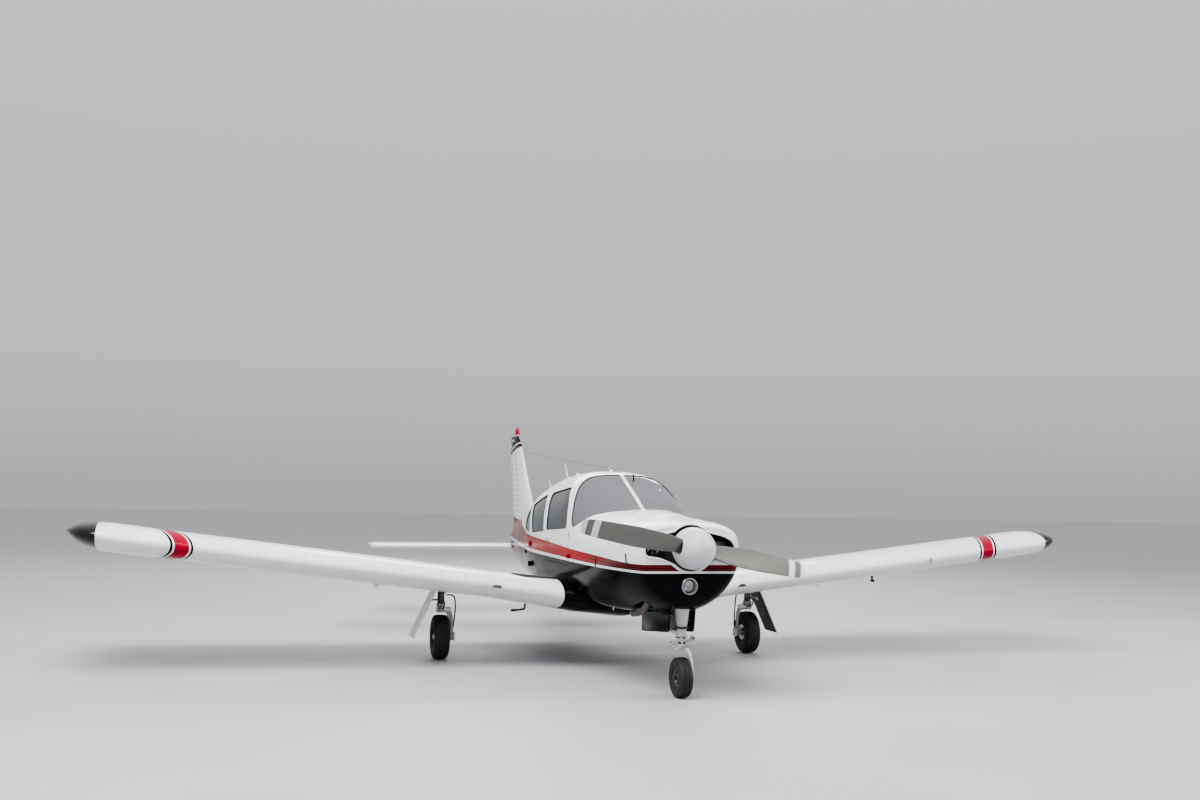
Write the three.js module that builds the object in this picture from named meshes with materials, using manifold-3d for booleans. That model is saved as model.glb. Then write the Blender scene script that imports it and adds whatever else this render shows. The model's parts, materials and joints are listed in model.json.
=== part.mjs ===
// A four-seat, low-wing light aircraft with one engine and a retractable tricycle gear, standing on its wheels.
// Millimetres. +X is the aircraft's own left, +Y runs aft, +Z is up and the ground is Z 0.
// Stations are measured aft from the wing's datum; the finished group is moved so that its middle station is Y 0.
import * as THREE from "three";
import { mergeVertices } from "three/addons/utils/BufferGeometryUtils.js";
import Module from "manifold-3d";

const wasm = await Module();
wasm.setup();

// Driving sizes of the whole aircraft.
const NOSE_STATION = -135; // tip of the spinner
const TAIL_STATION = 7395; // rudder's upper trailing corner
const MIDDLE_STATION = (NOSE_STATION + TAIL_STATION) / 2;
const HALF_SPAN = 4905;
const OVERALL_HEIGHT = 2475;
const SEAT_GAP = 0.3; // between pieces that rest on each other
const MOVING_GAP = 6; // between a moving piece and its neighbour
const PIN_GAP = 0.5; // round a hinge pin
const PIN_SIDES = 12;
const BORE_SIDES = 32; // more sides than the pin, so that the bore clears its corners as it turns

// Thrust line and propeller.
const THRUST_Z = 1206;
const PROP_STATION = 60;
const PROP_RADIUS = 960;
const PROP_TILT = THREE.MathUtils.degToRad(10.5);
const SPINNER_RADIUS = 168;
const SPINNER_BACK = 158;

// Fuselage stations.
const COWL_FRONT = 190;
const FIREWALL = 1100;
const CABIN_END = 4420;
const TAIL_END = 6900;
const COWL_SPLIT_Z = 1030;
const COWL_WALL = 22;
const CABIN_WALL = 40;
const TAIL_WALL = 24;
const FLOOR_Z = 740;
const FLOOR_THICKNESS = 30;
const RING_POINTS = 28;

// Wing.
const DIHEDRAL = THREE.MathUtils.degToRad(7);
const INCIDENCE = THREE.MathUtils.degToRad(4.5);
const WING_LEAD = 1990;
const WING_CHORD = 1600;
const WING_ROOT_Z = 618; // leading edge carried in to the centre line
const WING_THICKNESS = 0.16;
const WING_DROOP = 0.012; // camber as a share of the chord
const GLOVE_X = 1190; // where the straight leading edge begins
const GLOVE_LENGTH = 200; // how far the root's leading edge runs ahead of the straight one
const WING_TIP_X = 4605; // where the separate tip begins, along the wing
const FLAP_HINGE = 0.81; // share of the chord
const FLAP_SPAN = [690, 2560];
const AILERON_SPAN = [2574, 4470];

// Undercarriage.
const MAIN_TRACK_HALF = 1600;
const MAIN_STATION = 2790;
const MAIN_TYRE = { radius: 212, width: 152, rim: 84 };
const NOSE_STATION_GEAR = 370;
const NOSE_TYRE = { radius: 160, width: 120, rim: 66 };

// Tail.
const FIN_TOP = 2361;
const STABILATOR_Z = 900;
const STABILATOR_LEAD = 6330;
const STABILATOR_CHORD = 790;
const STABILATOR_HALF_SPAN = 1960;
const STABILATOR_PIVOT = 6560;

// The fuselage's sections from nose to tail, each a pair of half superellipses about its waist line.
// Columns: station, half width, top, waist, bottom, power of the upper half, power of the lower half.
const FUSELAGE = [
  [190, 385, 1376, 1150, 812, 3.4, 2.0],
  [206, 412, 1388, 1150, 780, 3.6, 2.0],
  [250, 440, 1398, 1148, 735, 3.6, 1.95],
  [400, 478, 1413, 1142, 682, 3.6, 2.0],
  [650, 515, 1430, 1134, 645, 3.1, 2.15],
  [1100, 552, 1464, 1122, 608, 2.5, 2.5],
  [1390, 562, 1482, 1115, 596, 2.6, 2.9],
  [1640, 566, 1592, 1112, 590, 3.0, 3.1],
  [1890, 567, 1702, 1112, 586, 3.4, 3.2],
  [2140, 567, 1806, 1112, 583, 3.4, 3.2],
  [2450, 566, 1836, 1112, 580, 3.0, 3.2],
  [2850, 564, 1828, 1110, 578, 2.7, 3.2],
  [3300, 553, 1790, 1104, 578, 2.7, 3.2],
  [3750, 526, 1722, 1096, 580, 2.7, 3.1],
  [4420, 435, 1612, 1080, 592, 2.6, 3.0],
  [5200, 325, 1468, 1058, 618, 2.4, 2.8],
  [6000, 210, 1322, 1030, 662, 2.1, 2.5],
  [6500, 140, 1262, 1000, 706, 2.1, 2.2],
  [6900, 74, 1235, 985, 770, 2.1, 2.0],
];

const COLOURS = {
  white: { color: 0xe9ebef, roughness: 0.22, metalness: 0.0 },
  black: { color: 0x0b0c0e, roughness: 0.14, metalness: 0.0 },
  red: { color: 0x9c1d24, roughness: 0.25, metalness: 0.0 },
  glass: { color: 0x6d7076, roughness: 0.06, metalness: 0.0 },
  propeller: { color: 0x6f6d68, roughness: 0.45, metalness: 0.2 },
  metal: { color: 0xb9bcc0, roughness: 0.35, metalness: 0.8 },
  gear: { color: 0xd6d6d2, roughness: 0.4, metalness: 0.1 },
  tyre: { color: 0x17181a, roughness: 0.85, metalness: 0.0 },
  cast: { color: 0x55585c, roughness: 0.6, metalness: 0.5 },
  seat: { color: 0x4c4440, roughness: 0.8, metalness: 0.0 },
  panel: { color: 0x1d1e21, roughness: 0.7, metalness: 0.0 },
  lamp: { color: 0xe8edf2, roughness: 0.1, metalness: 0.2 },
  beacon: { color: 0xd5142a, roughness: 0.2, metalness: 0.0 },
};

// A piece's own material, from its colour.
function finish(colour) {
  return new THREE.MeshStandardMaterial(COLOURS[colour]);
}

// A closed three.js geometry as a solid that can be joined and cut, turned right side out.
function solidOf(geometry) {
  const bare = geometry.clone();
  bare.deleteAttribute("normal");
  bare.deleteAttribute("uv");
  const merged = mergeVertices(bare, 1e-3);
  const vertProperties = new Float32Array(merged.attributes.position.array);
  const triVerts = new Uint32Array(merged.index.array);
  let volume = 0;
  const [a, b, c] = [new THREE.Vector3(), new THREE.Vector3(), new THREE.Vector3()];
  for (let i = 0; i < triVerts.length; i += 3) {
    a.fromArray(vertProperties, 3 * triVerts[i]);
    b.fromArray(vertProperties, 3 * triVerts[i + 1]);
    c.fromArray(vertProperties, 3 * triVerts[i + 2]);
    volume += a.dot(b.cross(c));
  }
  if (volume < 0)
    for (let i = 0; i < triVerts.length; i += 3)
      [triVerts[i + 1], triVerts[i + 2]] = [triVerts[i + 2], triVerts[i + 1]];
  return new wasm.Manifold(new wasm.Mesh({ numProp: 3, vertProperties, triVerts }));
}

// A solid back as a three.js geometry with flat faces.
function geometryOf(solid) {
  const { vertProperties, triVerts, numProp } = solid.getMesh();
  const position = new Float32Array(triVerts.length * 3);
  triVerts.forEach((v, i) => position.set(vertProperties.subarray(v * numProp, v * numProp + 3), i * 3));
  const geometry = new THREE.BufferGeometry();
  geometry.setAttribute("position", new THREE.BufferAttribute(position, 3));
  geometry.computeVertexNormals();
  return geometry;
}

// The same solid after a three.js matrix.
function moved(solid, matrix) {
  return solidOf(geometryOf(solid).applyMatrix4(matrix));
}

// The same solid on the other side of the centre line.
function mirrored(solid) {
  return moved(solid, new THREE.Matrix4().makeScale(-1, 1, 1));
}

function joined(solids) {
  return solids.reduce((whole, next) => whole.add(next));
}

function cut(solid, ...tools) {
  return tools.reduce((rest, tool) => rest.subtract(tool), solid);
}

// A closed skin over rings with the same number of points, with its two end rings filled in.
function loft(rings) {
  const count = rings[0].length;
  const positions = rings.flat(2);
  const triangles = [];
  for (let r = 0; r + 1 < rings.length; r++)
    for (let k = 0; k < count; k++) {
      const next = (k + 1) % count;
      const [p, q] = [r * count + k, r * count + next];
      // Each face's diagonal leans the same way left and right, so that a mirrored piece still fits.
      if (next > count / 4 && next < 0.75 * count) triangles.push(p, q, p + count, q, q + count, p + count);
      else triangles.push(p, q, q + count, p, q + count, p + count);
    }
  for (const [ring, start, turn] of [[rings[0], 0, 1], [rings.at(-1), (rings.length - 1) * count, 0]]) {
    const spread = [0, 1, 2].map((k) => {
      const values = ring.map((point) => point[k]);
      return Math.max(...values) - Math.min(...values);
    });
    const flat = spread.indexOf(Math.min(...spread)); // the axis that the ring is flattest along
    const [u, v] = [[1, 2], [2, 0], [0, 1]][flat];
    const faces = THREE.ShapeUtils.triangulateShape(ring.map((p) => new THREE.Vector2(p[u], p[v])), []);
    // The skin's first triangle says which way the cap's edges have to run.
    for (const [a, b, c] of faces) {
      const forward = (b - a + count) % count < (c - a + count) % count;
      const keep = forward === (turn === 0);
      triangles.push(start + a, start + (keep ? b : c), start + (keep ? c : b));
    }
  }
  const geometry = new THREE.BufferGeometry();
  geometry.setAttribute("position", new THREE.Float32BufferAttribute(positions, 3));
  geometry.setIndex(triangles);
  return solidOf(geometry);
}

// An outline with rounded corners; each point is [u, v] or [u, v, radius].
function outline(points, radius = 0) {
  const shape = new THREE.Shape();
  points.forEach(([u, v, own], i) => {
    const here = new THREE.Vector2(u, v);
    const before = new THREE.Vector2(...points[(i + points.length - 1) % points.length]);
    const after = new THREE.Vector2(...points[(i + 1) % points.length]);
    const [back, on] = [before.clone().sub(here), after.clone().sub(here)];
    const r = Math.min(own ?? radius, 0.49 * back.length(), 0.49 * on.length());
    const start = here.clone().addScaledVector(back.normalize(), r);
    const end = here.clone().addScaledVector(on.normalize(), r);
    if (i) shape.lineTo(start.x, start.y);
    else shape.moveTo(start.x, start.y);
    if (r > 0) shape.quadraticCurveTo(here.x, here.y, end.x, end.y);
  });
  shape.closePath();
  return shape;
}

// Outlines pushed along an axis. Along X an outline is [station, height], along Y [x, height], along Z [x, station].
const AXES = {
  x: new THREE.Matrix4().makeBasis(
    new THREE.Vector3(0, 1, 0), new THREE.Vector3(0, 0, 1), new THREE.Vector3(1, 0, 0)),
  y: new THREE.Matrix4().makeBasis(
    new THREE.Vector3(1, 0, 0), new THREE.Vector3(0, 0, 1), new THREE.Vector3(0, 1, 0)),
  z: new THREE.Matrix4(),
};
function prism(axis, shape, from, to) {
  const geometry = new THREE.ExtrudeGeometry(shape, { depth: to - from, bevelEnabled: false, curveSegments: 4 });
  geometry.translate(0, 0, from);
  return solidOf(geometry.applyMatrix4(AXES[axis]));
}

function box([x0, x1], [y0, y1], [z0, z1]) {
  const geometry = new THREE.BoxGeometry(x1 - x0, y1 - y0, z1 - z0);
  return solidOf(geometry.translate((x0 + x1) / 2, (y0 + y1) / 2, (z0 + z1) / 2));
}

// A round bar from one point to another, tapered where it has a second radius.
function rod(from, to, radius, sides = 10, endRadius = radius) {
  const [a, b] = [new THREE.Vector3(...from), new THREE.Vector3(...to)];
  const geometry = new THREE.CylinderGeometry(endRadius, radius, a.distanceTo(b), sides);
  const turn = new THREE.Quaternion().setFromUnitVectors(new THREE.Vector3(0, 1, 0), b.clone().sub(a).normalize());
  geometry.applyQuaternion(turn).translate(...a.add(b).multiplyScalar(0.5).toArray());
  return solidOf(geometry);
}

// A profile of [radius, along] turned about a line in X or Y through a point.
function turned(axis, profile, centre, sides = 24) {
  const geometry = new THREE.LatheGeometry(profile.map(([r, t]) => new THREE.Vector2(r, t)), sides);
  if (axis === "x") geometry.rotateZ(-Math.PI / 2);
  return solidOf(geometry.translate(...centre));
}

function mesh(name, solid, colour) {
  const made = new THREE.Mesh(geometryOf(solid), finish(colour));
  made.name = name;
  return made;
}

// Fuselage.

function sectionAt(station) {
  const last = FUSELAGE.length - 1;
  const i = Math.min(last - 1, Math.max(0, FUSELAGE.findIndex((row) => row[0] > station) - 1));
  const [a, b] = station >= FUSELAGE[last][0] ? [FUSELAGE[last - 1], FUSELAGE[last]] : [FUSELAGE[i], FUSELAGE[i + 1]];
  const share = (station - a[0]) / (b[0] - a[0]);
  return a.map((value, k) => value + share * (b[k] - value));
}

function sectionRing(station, inset) {
  const [, halfWidth, top, waist, bottom, topPower, bottomPower] = sectionAt(station);
  return Array.from({ length: RING_POINTS }, (_, k) => {
    const angle = (2 * Math.PI * (k + 0.5)) / RING_POINTS;
    const [c, s] = [Math.cos(angle), Math.sin(angle)];
    const power = s > 0 ? topPower : bottomPower;
    const height = (s > 0 ? top - waist : waist - bottom) - inset;
    return [
      (halfWidth - inset) * Math.sign(c) * Math.abs(c) ** (2 / power),
      station,
      waist + height * Math.sign(s) * Math.abs(s) ** (2 / power),
    ];
  });
}

function fuselageLoft(from, to, inset = 0) {
  const stations = [from, ...FUSELAGE.map((row) => row[0]).filter((s) => s > from + 1 && s < to - 1), to];
  return loft(stations.map((station) => sectionRing(station, inset)));
}

// Windows, doors and the windscreen, seen from the side as [station, height].
const DOOR_OUTLINE = [[1885, 950, 60], [2868, 950, 60], [2868, 1260, 40], [3032, 1682, 50], [2132, 1718, 80],
  [1938, 1440, 60], [1885, 1290, 60]];
const DOOR_HINGE = [-580, 1888]; // x and station of the upright pin
const BAGGAGE_HINGE = [-546, 3643];
const BAGGAGE_OUTLINE = [[3640, 790], [4180, 790], [4180, 1145], [3640, 1145]];
const WINDOWS = {
  front: [[1982, 1293, 80], [2806, 1248, 40], [2842, 1420, 60], [2948, 1618, 70], [2188, 1676, 20], [2036, 1510, 60]],
  middle: [[2938, 1232, 20], [3530, 1194, 25], [3650, 1345, 60], [3824, 1480, 40], [3162, 1600, 20],
    [3020, 1465, 60]],
  rear: [[3740, 1196, 20], [4215, 1212, 25], [4290, 1310, 40], [4200, 1405, 30], [4010, 1434, 20], [3820, 1310, 40]],
};
const WINDSCREEN = [[1330, 1500], [1480, 1440, 20], [1600, 1360, 30], [1775, 1308, 30], [1838, 1360, 30],
  [1876, 1460, 30], [1976, 1600, 60], [2086, 1736, 60], [2118, 1782, 20], [2126, 1960], [1330, 1960]];
const POST_HALF_WIDTH = 22;
const GLASS_DEPTH = [9, 14]; // how far the pane's outer and inner faces lie inside the skin
const FAR = 900; // well outside the fuselage

function panes(shape, from, to) {
  const layer = cut(
    fuselageLoft(FIREWALL + 20, CABIN_END - 20, GLASS_DEPTH[0]),
    fuselageLoft(FIREWALL + 10, CABIN_END - 10, GLASS_DEPTH[1]),
  );
  return layer.intersect(prism("x", shape, from, to));
}

// An outline whose edges are all drawn in by a distance, so that what fills a hole clears its edge.
function shrunk(points, distance) {
  const count = points.length;
  const area = points.reduce((sum, [u, v], i) => {
    const [nextU, nextV] = points[(i + 1) % count];
    return sum + u * nextV - nextU * v;
  }, 0);
  const edgeNormal = (i) => {
    const [[u0, v0], [u1, v1]] = [points[(i + count) % count], points[(i + 1) % count]];
    return new THREE.Vector2(v0 - v1, u1 - u0).normalize().multiplyScalar(Math.sign(area));
  };
  return points.map(([u, v, radius], i) => {
    const [before, after] = [edgeNormal(i - 1), edgeNormal(i)];
    const push = before.clone().add(after).multiplyScalar(distance / (1 + before.dot(after)));
    const place = [u + push.x, v + push.y];
    return radius === undefined ? place : [...place, radius];
  });
}

// A door's two hinges on an upright pin just outside the skin.
// The knuckle is the door's, the lugs and pin are the shell's.
const KNUCKLE = { radius: 10, half: 18, pin: 4, arm: 46, lug: 9 };
function hingeParts([x, station], heights) {
  const { radius, half, pin, arm, lug } = KNUCKLE;
  const inward = [x - 5, x + arm];
  const knuckles = heights.map((z) => {
    const eye = rod([x, station, z - half], [x, station, z + half], radius, PIN_SIDES);
    return cut(eye.add(box(inward, [station + 5, station + 18], [z - half, z + half])),
      rod([x, station, z - 60], [x, station, z + 60], pin + PIN_GAP, BORE_SIDES));
  });
  const lugs = heights.map((z) => {
    const ends = [[z - half - SEAT_GAP - lug, z - half - SEAT_GAP], [z + half + SEAT_GAP, z + half + SEAT_GAP + lug]];
    const ears = ends.map((span) => box([x - 5, x + 8], [station - 12, station + 5], span));
    const arms = ends.map((span) => box(inward, [station - 24, station - 4], span));
    return joined([...ears, ...arms, rod([x, station, ends[0][0]], [x, station, ends[1][1]], pin, PIN_SIDES)]);
  });
  return { knuckles, lugs };
}

function cabinPieces() {
  const outer = fuselageLoft(FIREWALL, CABIN_END);
  const room = fuselageLoft(FIREWALL + 30, CABIN_END - 30, CABIN_WALL).intersect(
    box([-FAR, FAR], [FIREWALL, CABIN_END], [FLOOR_Z, 3000]));
  const underFloor = fuselageLoft(FIREWALL + 90, CABIN_END + 60, CABIN_WALL).intersect(
    box([-FAR, FAR], [FIREWALL, CABIN_END + 100], [400, FLOOR_Z - FLOOR_THICKNESS]));
  const shell = cut(outer, room, underFloor);
  const post = box([-POST_HALF_WIDTH, POST_HALF_WIDTH], [1200, 2300], [1300, 2100]);
  const screenHole = cut(prism("x", outline(WINDSCREEN), -FAR, FAR), post);
  const sideHoles = Object.values(WINDOWS).map((points) => prism("x", outline(points), -FAR, FAR));
  const doorHole = prism("x", outline(DOOR_OUTLINE), -FAR, -120);
  const baggageHole = prism("x", outline(BAGGAGE_OUTLINE, 50), -FAR, -120);
  const doorHinges = hingeParts(DOOR_HINGE, [1030, 1235]);
  const hatchHinges = hingeParts(BAGGAGE_HINGE, [860, 1070]);
  const inner = fuselageLoft(FIREWALL, CABIN_END, CABIN_WALL * 0.4);
  const lugs = [...doorHinges.lugs, ...hatchHinges.lugs].map((lug) => cut(lug, inner));
  const made = [];
  const openShell = cut(shell, screenHole, ...sideHoles, doorHole, baggageHole);
  made.push(mesh("cabin_shell", joined([openShell, ...lugs]), "white"));

  const doorShape = outline(shrunk(DOOR_OUTLINE, MOVING_GAP));
  const door = cut(shell.intersect(prism("x", doorShape, -FAR, -120)), sideHoles[0]);
  made.push(mesh("cabin_door", joined([door, ...doorHinges.knuckles.map((k) => cut(k, inner))]), "white"));
  const hatch = shell.intersect(prism("x", outline(shrunk(BAGGAGE_OUTLINE, MOVING_GAP), 46), -FAR, -120));
  made.push(mesh("baggage_door", joined([hatch, ...hatchHinges.knuckles.map((k) => cut(k, inner))]), "white"));

  for (const [place, points] of Object.entries(WINDOWS)) {
    const pane = outline(shrunk(points, SEAT_GAP));
    made.push(mesh(`window_left_${place}`, panes(pane, 120, FAR), "glass"));
    made.push(mesh(`window_right_${place}`, panes(pane, -FAR, -120), "glass"));
  }
  const screen = outline(shrunk(WINDSCREEN, SEAT_GAP));
  made.push(mesh("windscreen_left", panes(screen, POST_HALF_WIDTH + SEAT_GAP, FAR), "glass"));
  made.push(mesh("windscreen_right", panes(screen, -FAR, -POST_HALF_WIDTH - SEAT_GAP), "glass"));
  return made;
}

// The hollow tail cone, open to the front, cut away for the rudder and bored for the stabilator's tube.
const RUDDER_HINGE = [[6640, 990], [7085, 2100]]; // two points of the hinge line, [station, height]
const TUBE_RADIUS = 26;

function hingeStation(height) {
  const [[s0, z0], [s1, z1]] = RUDDER_HINGE;
  return s0 + ((height - z0) / (z1 - z0)) * (s1 - s0);
}

const RUDDER_PIN_RADIUS = 9;
function rudderPin(radius, sides) {
  return rod([0, hingeStation(950), 950], [0, hingeStation(1040), 1040], radius, sides);
}

function tailCone() {
  const from = CABIN_END + SEAT_GAP;
  const hollow = fuselageLoft(from - 50, TAIL_END - 340, TAIL_WALL);
  const rudderRoom = prism("x", outline([
    [hingeStation(980) - 48, 980], [7300, 1098], [7300, 1700], [hingeStation(1700) - 48, 1700]]), -300, 300);
  const tubeBore = rod([-400, STABILATOR_PIVOT, STABILATOR_Z], [400, STABILATOR_PIVOT, STABILATOR_Z],
    TUBE_RADIUS + PIN_GAP, BORE_SIDES);
  return cut(fuselageLoft(from, TAIL_END), hollow, rudderRoom, tubeBore).add(rudderPin(RUDDER_PIN_RADIUS, PIN_SIDES));
}

// The cowling: one shell, split where the upper half lifts off, with air inlets either side of the spinner.
const SPINNER_HOLE = 184;
const INLET = [[110, 1060, 10], [182, 1090, 20], [262, 1122, 30], [372, 1134, 30], [392, 1200, 60], [362, 1264, 60],
  [290, 1304, 40], [150, 1334, 20], [110, 1338, 10]];
const LAMP = { radius: 64, height: 902, depth: 60 };
const GEAR_WELL = { halfWidth: 78, stations: [300, 1050] };

function cowlPieces() {
  const to = FIREWALL - SEAT_GAP;
  const shell = cut(fuselageLoft(COWL_FRONT, to), fuselageLoft(COWL_FRONT + 30, to + 60, COWL_WALL));
  const spinnerHole = rod([0, 100, THRUST_Z], [0, 300, THRUST_Z], SPINNER_HOLE, 32);
  const pipeHole = rod([-238, 570, 800], [-250, 640, 600], 44, 12);
  const inlets = [1, -1].map((side) =>
    prism("y", outline(INLET.map(([x, z, r]) => [side * x, z, r])), 150, 300));
  const lampHole = rod([0, 150, LAMP.height], [0, 300, LAMP.height], LAMP.radius + SEAT_GAP, 20);
  const well = box([-GEAR_WELL.halfWidth, GEAR_WELL.halfWidth], GEAR_WELL.stations, [500, 800]);
  const open = cut(shell, spinnerHole, ...inlets, lampHole, well, pipeHole);
  const above = box([-FAR, FAR], [0, 1200], [COWL_SPLIT_Z + SEAT_GAP, 1600]);
  const below = box([-FAR, FAR], [0, 1200], [400, COWL_SPLIT_Z]);
  const lamp = rod([0, COWL_FRONT + 4, LAMP.height], [0, COWL_FRONT + LAMP.depth, LAMP.height], LAMP.radius, 20);
  return [
    mesh("cowl_upper", open.intersect(above), "white"),
    mesh("cowl_lower", open.intersect(below), "black"),
    mesh("landing_light", lamp, "lamp"),
  ];
}

// The engine as one block on four mounts to the firewall, with a bored nose for the propeller's shaft.
const SHAFT_RADIUS = 36;
function engineBlock() {
  const block = box([-362, 362], [400, 930], [905, 1290]);
  const nose = rod([0, 230, THRUST_Z], [0, 430, THRUST_Z], 80, 16);
  const mounts = [[-300, 990], [300, 990], [-300, 1220], [300, 1220]].map(([x, z]) =>
    rod([x, 900, z], [x, FIREWALL - SEAT_GAP, z], 22, 6));
  const bore = rod([0, 200, THRUST_Z], [0, 420, THRUST_Z], SHAFT_RADIUS + 1, 20);
  return cut(joined([block, nose, ...mounts, exhaustPipe()]), bore);
}

// Propeller: two twisted blades on a hub, and the spinner around them.
// Columns: radius, chord, thickness, pitch in degrees.
const BLADE = [
  [60, 110, 60, 60],
  [180, 150, 46, 53],
  [300, 176, 32, 41],
  [480, 184, 24, 31],
  [680, 162, 17, 24],
  [860, 140, 11, 20],
  [935, 110, 8, 19],
  [PROP_RADIUS, 62, 6, 19],
];
function propeller() {
  const half = [1, -1].map((side) => {
    const rings = BLADE.map(([radius, chord, thick, pitch]) => {
      const turn = THREE.MathUtils.degToRad(90 - pitch);
      return Array.from({ length: 12 }, (_, k) => {
        const angle = (2 * Math.PI * k) / 12;
        const [u, v] = [(chord / 2) * Math.cos(angle), (thick / 2) * Math.sin(angle)];
        const [across, along] = [u * Math.sin(turn) - v * Math.cos(turn), u * Math.cos(turn) + v * Math.sin(turn)];
        return [side * radius, PROP_STATION + along, side * across];
      });
    });
    return loft(rings);
  });
  const hub = rod([0, -10, 0], [0, 130, 0], 88, 16);
  const shaft = rod([0, 100, 0], [0, 400, 0], SHAFT_RADIUS, 20);
  return joined([...half, hub, shaft]);
}

function spinner() {
  const length = SPINNER_BACK - NOSE_STATION;
  const steps = 7;
  const profile = Array.from({ length: steps + 1 }, (_, k) => {
    const share = k / steps; // 0 at the tip
    const angle = (Math.PI / 2) * share;
    return [SPINNER_RADIUS * Math.sin(angle) ** 0.82, -length * Math.cos(angle) ** 1.05];
  });
  profile[0][0] = 0;
  const inner = profile.slice(2).map(([r, t]) => [r - 7, t + 7]);
  const outer = [...profile, [SPINNER_RADIUS - 4, 18], [0, 18]];
  const shell = turned("y", outer, [0, SPINNER_BACK - 18, 0], 24);
  const hollow = turned("y", [[0, inner[0][1]], ...inner, [0, inner.at(-1)[1]]], [0, SPINNER_BACK - 18, 0], 24);
  const openings = [1, -1].map((side) =>
    box([side > 0 ? 90 : -300, side > 0 ? 300 : -90], [-20, 128], [-62, 62]));
  const shaftHole = rod([0, 90, 0], [0, 300, 0], SHAFT_RADIUS + SEAT_GAP, 20);
  return cut(shell, hollow, ...openings, shaftHole);
}

// Wing, in its own frame: X along the span, Y aft, Z up, with its leading edge at Z 0 on the line X.

// A wing section as [aft, up] from the leading edge, with `count` points over and under.
function airfoil(chord, thickness, count = 9, droop = WING_DROOP) {
  const share = (k) => 0.5 - 0.5 * Math.cos((Math.PI * k) / count);
  const half = (t) => 5 * thickness * chord *
    (0.2969 * Math.sqrt(t) - 0.126 * t - 0.3516 * t ** 2 + 0.2843 * t ** 3 - 0.0996 * t ** 4);
  const camber = (t) => 4 * droop * chord * t * (1 - t);
  const upper = Array.from({ length: count + 1 }, (_, k) => [share(k), 1]);
  const lower = Array.from({ length: count - 1 }, (_, k) => [share(count - 1 - k), -1]);
  return [...upper, ...lower].map(([t, side]) => [t * chord, camber(t) + side * Math.max(half(t), t > 0 ? 3 : 0)]);
}

function wingRing(x, lead, chord, thickness, lift = 0) {
  return airfoil(chord, thickness).map(([aft, up]) => [
    x,
    WING_LEAD + lead + aft * Math.cos(INCIDENCE) + up * Math.sin(INCIDENCE),
    lift + up * Math.cos(INCIDENCE) - aft * Math.sin(INCIDENCE),
  ]);
}

const hingeAft = FLAP_HINGE * WING_CHORD;
const HINGE_RADIUS = 43;
const PIN_RADIUS = 8;
const PIN_REACH = 30; // either side of the surface's end
const FLAP_HINGE_Y = WING_LEAD + hingeAft * Math.cos(INCIDENCE);
const FLAP_HINGE_Z = -hingeAft * Math.sin(INCIDENCE) + 11;

// A flap or an aileron: a round nose on the hinge line, running to a thin trailing edge.
function movingSurface([from, to]) {
  const trail = [WING_LEAD + WING_CHORD * Math.cos(INCIDENCE), -WING_CHORD * Math.sin(INCIDENCE)];
  const nose = Array.from({ length: 9 }, (_, k) => {
    const angle = Math.PI / 2 + (Math.PI * k) / 8;
    return [FLAP_HINGE_Y + HINGE_RADIUS * Math.cos(angle), FLAP_HINGE_Z + HINGE_RADIUS * Math.sin(angle)];
  });
  const points = [...nose, [trail[0], trail[1] - 3], [trail[0], trail[1] + 3]];
  return loft([from, to].map((x) => points.map(([y, z]) => [x, y, z])));
}

function mainWing() {
  const chord = WING_CHORD;
  const inner = 330;
  const gloveRoot = GLOVE_LENGTH * ((GLOVE_X - inner) / (GLOVE_X - 560));
  return loft([
    wingRing(inner, -gloveRoot, chord + gloveRoot, WING_THICKNESS * 0.98),
    wingRing(GLOVE_X, 0, chord, WING_THICKNESS),
    wingRing(WING_TIP_X, 0, chord, WING_THICKNESS),
  ]);
}

// Columns: x, share of the way aft, share of the chord, share of the thickness.
const TIP_SECTIONS = [
  [WING_TIP_X + SEAT_GAP, 0, 1, 1],
  [WING_TIP_X + 110, 25, 0.975, 0.9],
  [WING_TIP_X + 210, 95, 0.92, 0.7],
  [WING_TIP_X + 285, 200, 0.83, 0.44],
  [HALF_SPAN / Math.cos(DIHEDRAL), 330, 0.7, 0.13],
];
function wingTip() {
  return loft(TIP_SECTIONS.map(([x, aft, chordShare, thickShare]) =>
    wingRing(x, aft, WING_CHORD * chordShare, (WING_THICKNESS * thickShare) / chordShare, 10 * (1 - thickShare))));
}

// The undercarriage's well under the wing: round for the wheel, with a slot for the leg.
const WELL = { wheelX: 1130, radius: 245, slotHalf: 95, roof: 30 };
const JACK_PAD = { x: 2250, station: 2500, radius: 32, face: -158 };

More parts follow.
